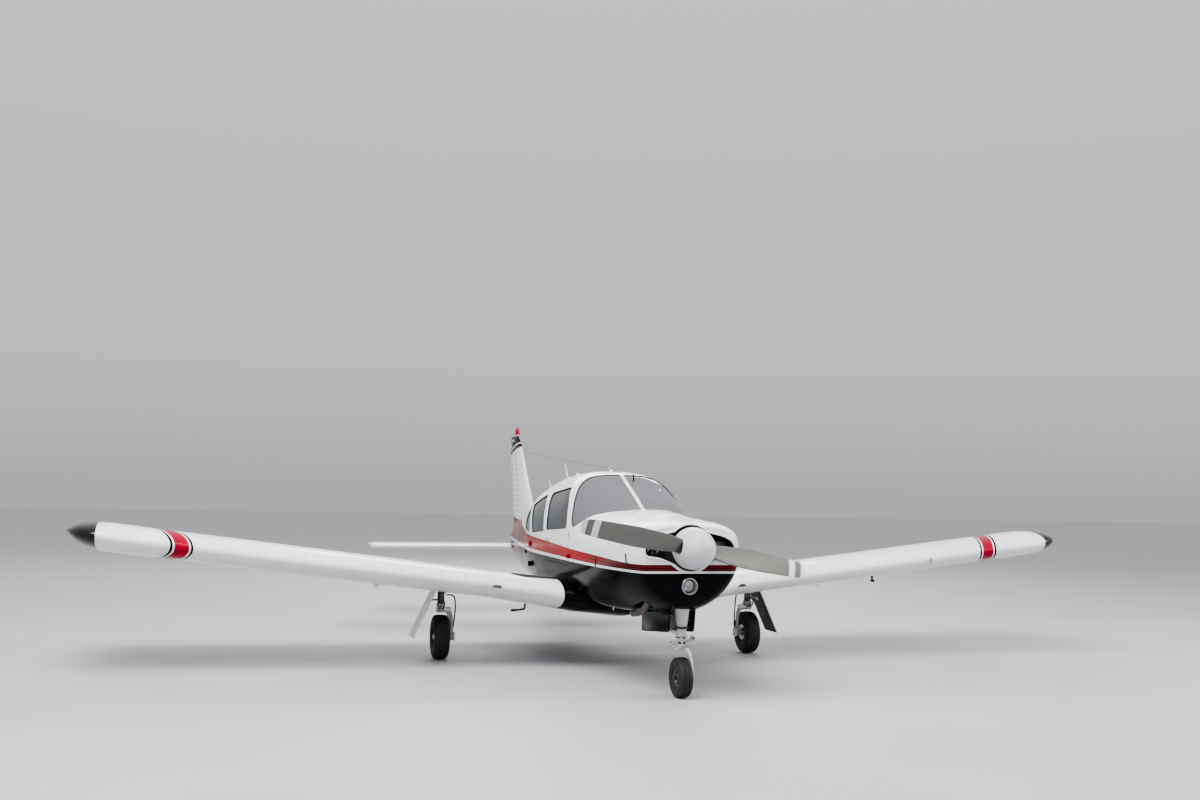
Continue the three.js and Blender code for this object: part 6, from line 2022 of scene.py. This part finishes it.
# %% seats
def stuffed(name, outline, low, high, channels, cap=0.012):
    """A cushion from a side outline: blown up like a pillow, with channels pressed along it at given x."""
    pad = put(name, *plate(rounded(outline), low, high, "x", 0.03))
    remesh = pad.modifiers.new("voxels", "REMESH")
    remesh.mode, remesh.voxel_size = "VOXEL", 0.012
    bake(pad)
    rest = np.array([v.co for v in pad.data.vertices])
    sheet = pad.modifiers.new("cloth", "CLOTH")
    sheet.settings.use_pressure, sheet.settings.uniform_pressure_force = True, 4.0
    sheet.settings.effector_weights.gravity = 0.0
    sheet.point_cache.frame_end = 20
    for frame in range(1, 21):
        bpy.context.scene.frame_set(frame)
    grown = pad.evaluated_get(bpy.context.evaluated_depsgraph_get()).data
    moved = np.array([v.co for v in grown.vertices]) - rest
    pad.modifiers.clear()
    bpy.context.scene.frame_set(1)
    size = np.linalg.norm(moved, axis=1, keepdims=True)
    rest = rest + moved * np.minimum(1, cap / np.maximum(size, 1e-9))
    pad.data.vertices.foreach_set("co", rest.ravel())
    pad.modifiers.new("smoother", "SUBSURF").levels = 1
    bake(pad)
    points = np.array([v.co for v in pad.data.vertices])
    normals = np.array([v.normal for v in pad.data.vertices])
    press = sum(np.exp(-((points[:, 0] - x) / 0.007) ** 2) for x in channels)
    points -= normals * (0.007 * press * (1 - np.abs(normals[:, 0])))[:, None]
    pad.data.vertices.foreach_set("co", points.ravel())
    pad.data.polygons.foreach_set("use_smooth", [True] * len(pad.data.polygons))
    pad.data.update()
    pad.data.materials.clear()
    pad.data.materials.append(cloth)
    return pad


def seat(label, x, station, width, depth, nodes):
    """A seat cushion and back over the named spot."""
    half = width / 2
    runs = np.linspace(x - half + 0.07, x + half - 0.07, 3 + int(width > 0.6) * 4)
    base = [(station + s, FLOOR_Z + z, 0.04) for s,
        z in ((0.012, 0.165), (depth - 0.012, 0.2), (depth - 0.012, 0.288), (0.012, 0.278))]
    rest = [(station + s, FLOOR_Z + z, 0.045) for s, z in
        ((depth - 0.108, 0.312), (depth + 0.008, 0.262), (depth + 0.136, 0.752), (depth + 0.052, 0.766))]
    slim = 0.045 if width > 0.6 else 0.012
    made = []
    for kind, outline, narrow in (("cushion", base, 0.012), ("back", rest, slim)):
        pad = stuffed(f"{label}_{kind}", outline, x - half + narrow, x + half - narrow, runs)
        finished(pad, pad.name, "airframe", "seat_cloth", *(nodes if kind == "cushion" else ()))
        made.append(pad)
    return made


print("cushions ready")

# %% [markdown]
# The front seats are alike, so the right one is the left one mirrored. Frames stand on floor rails.

# %% seats in place


def seat_frame(label, x, station, width, depth):
    """Tube legs, floor rails and two cross tubes."""
    parts = []
    for side in (1, -1):
        rail = x + side * (width / 2 - 0.075)
        parts += [
            (block((rail - 0.012, station + 0.02, FLOOR_Z),
                (rail + 0.012, station + depth + 0.06, FLOOR_Z + 0.018), 0.003), metal),
            (tube([(rail, station + 0.07, FLOOR_Z + 0.018), (rail, station + 0.07, FLOOR_Z + 0.155),
                (rail, station + depth - 0.07, FLOOR_Z + 0.18),
                (rail, station + depth - 0.05, FLOOR_Z + 0.018)], 0.011, 12, 6), black_plastic)]
    for s in (0.1, depth - 0.1):
        parts.append((tube([(x - width / 2 + 0.06, station + s, FLOOR_Z + 0.16),
            (x + width / 2 - 0.06, station + s, FLOOR_Z + 0.16)], 0.01, 12, 1), black_plastic))
    assemble(f"{label}_frame", parts, "airframe", "step_metal")


left_pads = seat("front_seat_left", 0.262, 2.12, 0.43, 0.47, ("front_seat_left",))
for pad in left_pads:
    other = twin(pad, pad.name.replace("left", "right"))
    for vertex in other.data.vertices:
        vertex.co.x = -vertex.co.x
    other.data.flip_normals()
    finished(other, other.name, "airframe", "seat_cloth",
        *(("front_seat_right",) if "cushion" in other.name else ()))
seat("rear_seat", 0, 2.98, 0.98, 0.46, ("rear_seat",))
seat_frame("front_seat_left", 0.262, 2.12, 0.43, 0.47)
seat_frame("front_seat_right", -0.262, 2.12, 0.43, 0.47)
seat_frame("rear_seat", 0, 2.98, 0.98, 0.46)
print("seats ready")

# %% [markdown]
# The panel carries round dials in front of the left seat, a radio stack in the middle and two yokes.
# Nothing on it is lettered: the dials have ticks and a needle only.

# %% instrument panel
board = rounded([(1.641, 0.962), (1.664, 0.962), (1.689, 1.289), (1.666, 1.298)], 0.003, 3)
shield = rounded([(1.422, 1.331), (1.452, 1.364), (1.749, 1.319), (1.744, 1.297), (1.662, 1.288)], 0.01, 4)
panel = [
    (plate(board, -0.468, 0.468, "x", 0.002), face_plastic),
        (plate(shield, -0.453, 0.453, "x", 0.01), black_plastic),
    (block((-0.09, 1.601, FLOOR_Z + 0.001), (0.09, 1.66, 0.975), 0.008), face_plastic)]
LEAN = Vector((0, 0.327, -0.025)).normalized()
FACE_UP = Vector((0, 0.025, 0.327)).normalized()


def on_board(x, z, out=0.0):
    s = 1.664 + (z - 0.962) / 0.327 * 0.025
    return (x, s + LEAN.y * out, z + LEAN.z * out)


def dial(x, z, radius, hand):
    """A round gauge: bezel, black face, twelve ticks, a white hand and a small centre cap."""
    centre = on_board(x, z)
    made = [(lathe([(0, -0.002), (radius, -0.002), (radius, 0.006), (radius * 0.9, 0.007),
        (radius * 0.86, 0.002), (0, 0.002)], centre, LEAN, 32), black_plastic)]
    middle = at(*on_board(x, z, 0.0026))
    side = LEAN.cross(FACE_UP)
    for k in range(12):
        a = 2 * pi * k / 12
        way = FACE_UP * cos(a) + side * sin(a)
        p, q = middle + way * radius * 0.66, middle + way * radius * 0.82
        made.append((tube([(v.x, v.y - DATUM, v.z) for v in (p, q)], 0.0008, 4, 1), gloss_white))
    way = FACE_UP * cos(hand) + side * sin(hand)
    p, q = middle - way * radius * 0.2, middle + way * radius * 0.7
    made.append((tube([(v.x, v.y - DATUM, v.z) for v in (p, q)], [0.0016, 0.0006], 6, 1), gloss_white))
    made.append((rod(0.004, 0, 0.003, on_board(x, z, 0.002), LEAN, 12), metal))
    return made


print("dial ready")

# %% [markdown]
# Dials, radios, switches, levers, yokes and pedals stand in their usual rows.

# %% dials, radios and controls
for row, z in enumerate((1.215, 1.115)):
    for column in range(3):
        panel += dial(0.345 - 0.098 * column, z, 0.042, 0.7 + row * 1.9 + column * 2.1)
for k in range(4):
    panel += dial(-0.385 + 0.068 * k, 1.235, 0.026, 0.4 + k)
    panel += dial(0.375 - 0.072 * k, 1.03, 0.024, 2.4 + k)
for k in range(5):
    z = 1.255 - 0.047 * k
    middle = on_board(0, z, 0.004)
    panel.append((block((-0.078, middle[1] - 0.012, z - 0.021), (0.078, middle[1] + 0.006, z + 0.021),
        0.003), black_plastic))
    panel.append((block((-0.048, middle[1] + 0.004, z - 0.008), (0.048, middle[1] + 0.0075, z + 0.012),
        0.001), lens_clear))
    for x in (-0.064, 0.064):
        panel.append((lathe([(0, 0), (0.009, 0), (0.0075, 0.014), (0, 0.014)], on_board(x, z, 0.009), LEAN,
            16), dark_metal))
for k, finish in enumerate((black_plastic, metal, red_lens)):
    x = -0.035 + 0.035 * k
    low, high = on_board(x, 0.99, 0.0), on_board(x, 0.994, 0.055)
    panel.append((tube([low, high], 0.004, 10, 1), metal))
    panel.append((ball(high, 0.012, sides=16), finish))
for k in range(9):
    panel.append((block((-0.4 + 0.03 * k, 1.667, 1.032), (-0.385 + 0.03 * k, 1.684, 1.052), 0.003),
        gloss_white if k % 3 else red_lens))
for side in (-1, 1):
    x = side * 0.25
    panel.append((tube([(x, 1.655, 1.12), (x, 1.893, 1.12)], 0.0135, 20, 1), chrome))
    panel.append((lathe([(0, 0), (0.03, 0), (0.026, 0.012), (0.016, 0.018), (0.0135, 0.018)],
        (x, 1.668, 1.12), "y", 24), black_plastic))
    panel.append((tube([(x - 0.15, 1.904, 1.205), (x - 0.146, 1.904, 1.15), (x - 0.11, 1.904, 1.12),
        (x, 1.902, 1.118), (x + 0.11, 1.904, 1.12), (x + 0.146, 1.904, 1.15), (x + 0.15, 1.904, 1.205)],
        0.0115, 16, 6), black_plastic))
    panel.append((block((x - 0.034, 1.892, 1.1), (x + 0.034, 1.916, 1.142), 0.009), black_plastic))
    for pedal in (-0.075, 0.075):
        panel.append((tube([(x + pedal, 1.3, 0.76), (x + pedal, 1.315, 0.8), (x + pedal, 1.34, 0.905)],
            0.01, 12, 3), metal))
        panel.append((block((x + pedal - 0.04, 1.332, 0.85), (x + pedal + 0.04, 1.344, 0.945), 0.004,
            ("X", -12)), dark_metal))
assemble("instrument_panel_and_yokes", panel, "airframe", "cabin_trim", "instrument_panel")
print("panel ready")

# %% [markdown]
# The two doors turn on short hinges that stand out from the skin. The knuckles ride the door
# and the lugs with the pin stay on the cabin, so each part follows the right body.

# %% door hinges
for (x, station), heights, body in (((-0.58, 1.888), (1.03, 1.235), "cabin_door"),
        ((-0.546, 3.643), (0.86, 1.07), "baggage_door")):
    knuckles, lugs = [], []
    for z in heights:
        knuckles.append((lathe([(0.0045, z - 0.018), (0.01, z - 0.018), (0.01, z + 0.018),
            (0.0045, z + 0.018), (0.0045, z - 0.018)], (x, station, 0), "z", 32), paint))
        knuckles.append((block((x - 0.004, station + 0.007, z - 0.018),
            (x + 0.042, station + 0.017, z + 0.018), 0.003), paint))
        for low, high in ((z - 0.0273, z - 0.0183), (z + 0.0183, z + 0.0273)):
            lugs.append((rod(0.0095, low, high, (x, station, 0), "z", 24), paint))
            lugs.append((block((x - 0.004, station - 0.022, low), (x + 0.042, station - 0.005, high),
                0.002), paint))
        lugs.append((rod(0.004, z - 0.03, z + 0.03, (x, station, 0), "z", 16), steel))
    assemble(f"{body}_knuckles", knuckles, body, "gear_metal")
    assemble(f"{body}_lugs", lugs, "airframe", "gear_metal")
print("hinges ready")

# %% [markdown]
# The cabin door has a bright pull handle, and the baggage door a round lock.

# %% door handle and lock
middle, normal = on_skin(2.761, 1.151, -1, 0.001)
handle = [(lathe([(0, 0), (0.026, 0), (0.027, 0.002), (0.024, 0.004), (0, 0.004)], middle, normal, 32),
    metal)]
near_end, far_end = on_skin(2.775, 1.149, -1, 0.009)[0], on_skin(2.675, 1.156, -1, 0.011)[0]
handle.append((tube([near_end, on_skin(2.72, 1.152, -1, 0.012)[0], far_end], [0.009, 0.0085, 0.006], 14, 4),
    chrome))
assemble("cabin_door_handle", handle, "cabin_door", "gear_metal")
middle, normal = on_skin(4.085, 0.965, -1, 0.0005)
assemble("baggage_door_lock", [
    (lathe([(0, 0), (0.019, 0), (0.02, 0.002), (0.016, 0.004), (0, 0.004)], middle, normal, 28), paint),
    (tube([on_skin(4.085, 0.947, -1, 0.007)[0], on_skin(4.085, 0.983, -1, 0.007)[0]], 0.005, 10, 1),
        paint)],
    "baggage_door", "gear_metal")
print("handles ready")

# %% [markdown]
# Two raked whips, a small antenna and two vents stand on the roof. The wire runs taut from the fin
# to the small antenna, with a sag of a few millimetres, so a thin rigid tube is right for it.

# %% aerials and vents


def roof(station, x=0.0):
    """The height of the roof at a station."""
    half, top, waist, bottom, above, below = read(FUSELAGE, station)
    return waist + (top - waist) * (1 - min(1, abs(x) / half) ** above) ** (1 / above)


aerials = []
for station, lean, crown in ((4.06, 0.267, 1.938), (4.85, 0.247, 1.772)):
    base = roof(station)
    high = crown - base
    rings = []
    for share in np.linspace(0, 1, 14):
        chord, thick = 0.085 - 0.045 * share, 0.014 - 0.007 * share
        if share > 0.95:
            chord, thick = chord * 0.6, thick * 0.6
        rings.append([(thick / 2 * sin(a), station + lean * share + chord / 2 * cos(a) + DATUM,
            base - 0.012 + (high + 0.012) * share) for a in turns(20)])
    aerials.append((lofted(rings), gloss_white))
    aerials.append((ball((0, station, base - 0.003), 0.056, (0.5, 1.0, 0.2)), gloss_white))
base = roof(2.469)
aerials += [
    (lathe([(0, -0.01), (0.017, -0.008), (0.013, 0.008), (0.008, 0.02), (0.0055, 0.028), (0, 0.03)],
        (0, 2.469, base), "z", 28), gloss_white),
    (lathe([(0, 0), (0.006, 0.001), (0.006, 0.009), (0, 0.011)], (0, 2.469, base + 0.026), "z", 16),
        gloss_black)]
for station, x in ((2.957, -0.205), (4.306, -0.24)):
    z = roof(station, x)
    aerials.append((ball((x, station, z - 0.004), 0.026, (0.8, 1.2, 0.75)), gloss_white))
    aerials.append((ball((x, station - 0.024, z + 0.003), 0.01, (1, 0.6, 0.8), 14), gloss_black))
assemble("roof_aerials_and_vents", aerials, "airframe", "white_paint")

high_end, low_end = (0.0, 6.642, 2.143), (0.0, 2.469, roof(2.469) + 0.03)
reach = np.linspace(0, 1, 25)
wire = [tuple((1 - t) * a + t * b for a, b in zip(high_end, low_end)) for t in reach]
wire = [(x, s, z - 0.003 * 4 * t * (1 - t)) for (x, s, z), t in zip(wire, reach)]
assemble("aerial_wire", [
    (tube(wire, 0.0019, 8, 1), hose),
    (ball((0, 6.6, 2.14), 0.008, (0.8, 1.8, 0.8), 12), gloss_white),
    (ball((0, 2.545, wire[-2][2] - 0.002), 0.007, (0.8, 1.8, 0.8), 12), gloss_white)], "airframe",
        "gear_metal")
print("wire ready")

# %% [markdown]
# The compass hangs behind the windscreen, and the thin temperature probe comes through its top edge.

# %% compass and probe
probe = [
    (tube([(0.08, 1.984, 1.81), (0.081, 1.984, 1.78), (0.082, 1.994, 1.716)], 0.0062, 10, 2), gloss_black),
    (ball((0.082, 1.996, 1.712), 0.0085, (1, 1, 1.4), 14), gloss_white),
    (lathe([(0, 0), (0.03, 0), (0.034, 0.012), (0.03, 0.03), (0, 0.034)], (-0.075, 1.8, 1.61), (0, 1, 0.1),
        28), black_plastic),
    (ball((-0.075, 1.815, 1.575), 0.034, (1, 1, 1.0), 24), black_plastic),
    (ball((-0.075, 1.828, 1.575), 0.028, (1, 1, 0.9), 20), lens_clear),
    (tube([(-0.06, 1.8, 1.612), (-0.02, 1.775, 1.632)], 0.005, 10, 1), metal)]
assemble("compass_and_probe", probe, "airframe", "cabin_trim")
print("compass ready")

# %% [markdown]
# The red beacon stands on the fin. The step is a bent tube with a flat tread.

# %% tail lights and step
assemble("beacon_lens", [
    (lathe([(0, 0.0), (0.0325, 0.0), (0.033, 0.006), (0.031, 0.01), (0, 0.01)], (0, 6.985, FIN_TOP), "z",
        40), metal),
    (lathe([(0, 0.01), (0.0285, 0.01), (0.0285, 0.068), (0.026, 0.088), (0.018, 0.103), (0.008, 0.112),
        (0, 0.114)], (0, 6.985, FIN_TOP), "z", 40), red_lens)],
    "airframe", "beacon", "beacon")
assemble("fin_cap_lights", [
    (ball((side * 0.026, 7.125, 2.298), 0.016, (0.7, 1.4, 1.0), 18), white_paint) for side in (1, -1)],
    "airframe", "lamp")
assemble("rudder_tail_light", [(ball((0, 7.366, 2.226), 0.017, (0.9, 1.2, 1.3), 18), white_paint)],
    "rudder", "lamp")
step = [
    (tube([(-0.24, 3.9, 0.652), (-0.44, 3.9, 0.606), (-0.496, 3.9, 0.56), (-0.512, 3.9, 0.47),
        (-0.524, 3.9, 0.372), (-0.53, 3.9, 0.358), (-0.545, 3.9, 0.353), (-0.674, 3.9, 0.336)],
    [0.012, 0.012, 0.0115, 0.011, 0.011, 0.011, 0.011, 0.011], 18, 3), black_plastic),
    (block((-0.676, 3.878, 0.3465), (-0.575, 3.922, 0.3555), 0.004, ("Y", 0)), black_plastic)]
assemble("boarding_step_bar", step, "airframe", "step_metal", "boarding_step")
print("fittings ready")

# %% [markdown]
# The wings carry lights, filler caps, jack pads with tie-down rings, drains and hinge brackets.
# All of them are set in the wing's own frame, so they tilt with it.

# %% fittings of the wings
def wing_spot(x, station, side, top=True, out=0.0):
    """A point of the wing's skin, above or below, in x, station and z."""
    return under_wing(x, station, top_at(station) + out if top else low_at(station) - out, side)


for side, label in SIDES:
    up = Vector((-side * sin(DIHEDRAL), 0, cos(DIHEDRAL)))
    cap, low = np.array(wing_spot(1.95, 2.4, side)), wing_spot(2.25, 2.5, side, False)
    small = [
        (lathe([(0, -0.002), (0.034, 0.0), (0.034, 0.006), (0.031, 0.0075), (0.031, 0.004), (0, 0.004)],
            cap, up, 36), gear_white),
        (block(cap - (0.016, 0.005, -0.003), cap + (0.016, 0.005, 0.009), 0.002), metal),
        (lathe([(0, -0.006), (0.028, -0.005), (0.032, 0.0), (0.032, 0.012), (0, 0.012)], low, up, 32),
            gear_white),
        (tube([(low[0] + 0.014 * cos(a), low[1], low[2] - 0.016 + 0.014 * sin(a)) for a in turns(16)],
            0.0035, 8, 1, True), steel)]
    for x, station in ((0.78, 2.45), (2.05, 2.3), (2.05, 2.8)):
        small.append((lathe([(0, -0.014), (0.004, -0.013), (0.005, -0.004), (0.009, 0.0), (0.009, 0.003),
            (0, 0.003)], wing_spot(x, station, side, False), up, 16), metal))
    for x in (0.82, 1.62, 2.44, 2.7, 3.52, 4.36):
        ends = [wing_spot(x, HINGE_Y - s, side, False, out) for s,
            out in ((0.15, -0.002), (0.105, 0.01), (0.062, 0.016))]
        small.append((tube(ends, [0.004, 0.009, 0.006], 10, 3), gear_white))
    for share in np.linspace(2.05, 3.45, 12):
        small.append((lathe([(0, 0), (0.0042, 0), (0.0042, 0.001), (0.002, 0.0018), (0, 0.0018)],
            under_wing(TIP_X - 0.012, share, top_at(share), side), up, 12), metal))
    assemble(f"wing_fittings_{label}", small, "airframe", "gear_metal")
    assemble(f"wing_light_{label}", [
        (ball(under_wing(4.846, 2.23, 0.006, side), 0.02, (0.9, 1.5, 0.7), 24),
            red_lens if side > 0 else green_lens),
        (ball(under_wing(4.8, 3.31, -0.1, side), 0.018, (1.0, 1.0, 0.8), 20), lens_clear)], "airframe",
            "lamp")
    crest = under_wing(4.892, 2.56, 0.03, side)
    assemble(f"wing_strobe_{label}", [
        (lathe([(0, 0), (0.026, 0), (0.027, 0.004), (0.024, 0.008), (0, 0.008)], crest, up, 28), metal),
        (lathe([(0, 0.008), (0.016, 0.008), (0.015, 0.016), (0.01, 0.024), (0, 0.026)], crest, up, 28),
            gloss_white)],
        "airframe", "lamp")
print("wing lights ready")

# %% [markdown]
# A short mast takes the air pressure under the left wing, and a small vane warns of a stall.

# %% mast, vane and drains
mast = under_wing(3.05, 2.8, low_at(2.8), 1)
pitot = [
    (tube([(mast[0], mast[1] + 0.01, mast[2] + 0.01), (mast[0], mast[1] - 0.004, mast[2] - 0.045),
        (mast[0], mast[1] - 0.015, mast[2] - 0.098)],
    [0.013, 0.011, 0.01], 16, 3), black_plastic),
    (block((mast[0] - 0.007, mast[1] - 0.055, mast[2] - 0.112),
        (mast[0] + 0.007, mast[1] + 0.02, mast[2] - 0.086), 0.006), black_plastic)]
vane = under_wing(3.3, 1.988, -0.02, 1)
pitot += [
    (block((vane[0] - 0.018, vane[1] - 0.004, vane[2] - 0.028),
        (vane[0] + 0.018, vane[1] + 0.006, vane[2] + 0.028), 0.003), metal),
    (block((vane[0] - 0.006, vane[1] - 0.02, vane[2] - 0.003), (vane[0] + 0.006, vane[1] + 0.002, vane[2]),
        0.001), metal)]
assemble("pitot_mast_and_vane", pitot, "airframe", "gear_metal")
belly = [
    (tube([(-0.285, 1.34, 0.64), (-0.288, 1.345, 0.6)], 0.006, 10, 1), gloss_white),
    (tube([(0.1, 1.2, 0.62), (0.1, 1.23, 0.57)], 0.005, 10, 1), metal),
    (tube([(0.16, 1.2, 0.62), (0.16, 1.24, 0.585)], 0.004, 10, 1), metal)]
assemble("belly_drains", belly, "airframe", "gear_metal")
print("wing fittings ready")

# %% [markdown]
# A pale studio: an even floor, a soft sky and three large lights, so that the gloss paint shows its shape.

# %% studio
FLOOR_SIZE, FLOOR_DROP = 60, -0.0005


def studio_floor():
    g = Graph("studio_floor")
    return g.shade(base_color=g.mix(g.noise(0.6, 4), (0.4, 0.41, 0.42), (0.46, 0.47, 0.48)),
        roughness=g.span(g.noise(1.2, 5), 0.3, 0.7, 0.55, 0.75),
        normal=g.bump(g.noise(40, 4), 0.0008))


corners = (-1, -1), (1, -1), (1, 1), (-1, 1)
floor = put("floor", [(x * FLOOR_SIZE, y * FLOOR_SIZE, FLOOR_DROP) for x, y in corners], [[0, 1, 2, 3]])
floor.data.materials.append(studio_floor())

world = bpy.data.worlds.new("studio")
bpy.context.scene.world = world
world.use_nodes = True
sky = world.node_tree
background = sky.nodes["Background"]
height = sky.nodes.new("ShaderNodeTexCoord").outputs["Generated"]
split = sky.nodes.new("ShaderNodeSeparateXYZ")
ramp = sky.nodes.new("ShaderNodeValToRGB")
sky.links.new(height, split.inputs[0])
sky.links.new(split.outputs[2], ramp.inputs[0])
sky.links.new(ramp.outputs[0], background.inputs["Color"])
horizon, zenith = ramp.color_ramp.elements
horizon.position, horizon.color = 0.0, (0.5, 0.51, 0.53, 1)
zenith.position, zenith.color = 0.9, (1.0, 1.0, 1.02, 1)
ramp.color_ramp.elements.new(0.1).color = (0.66, 0.67, 0.7, 1)
background.inputs["Strength"].default_value = 0.85
bpy.context.scene.view_settings.look = "AgX - Medium High Contrast"


def light(name, place, target, size, power):
    data = bpy.data.lights.new(name, "AREA")
    data.shape, data.size, data.size_y, data.energy = "RECTANGLE", size[0], size[1], power
    obj = bpy.data.objects.new(name, data)
    obj.location = place
    obj.rotation_euler = (Vector(target) - Vector(place)).to_track_quat("-Z", "Y").to_euler()
    collection.objects.link(obj)


light("key", (-5, -6, 11), (0, -0.5, 1), (7, 7), 2000)
light("fill", (9, -6, 6), (0, 0, 1), (8, 6), 700)
light("back", (3, 12, 8), (0, 0, 1), (10, 4), 900)
print("lights ready")
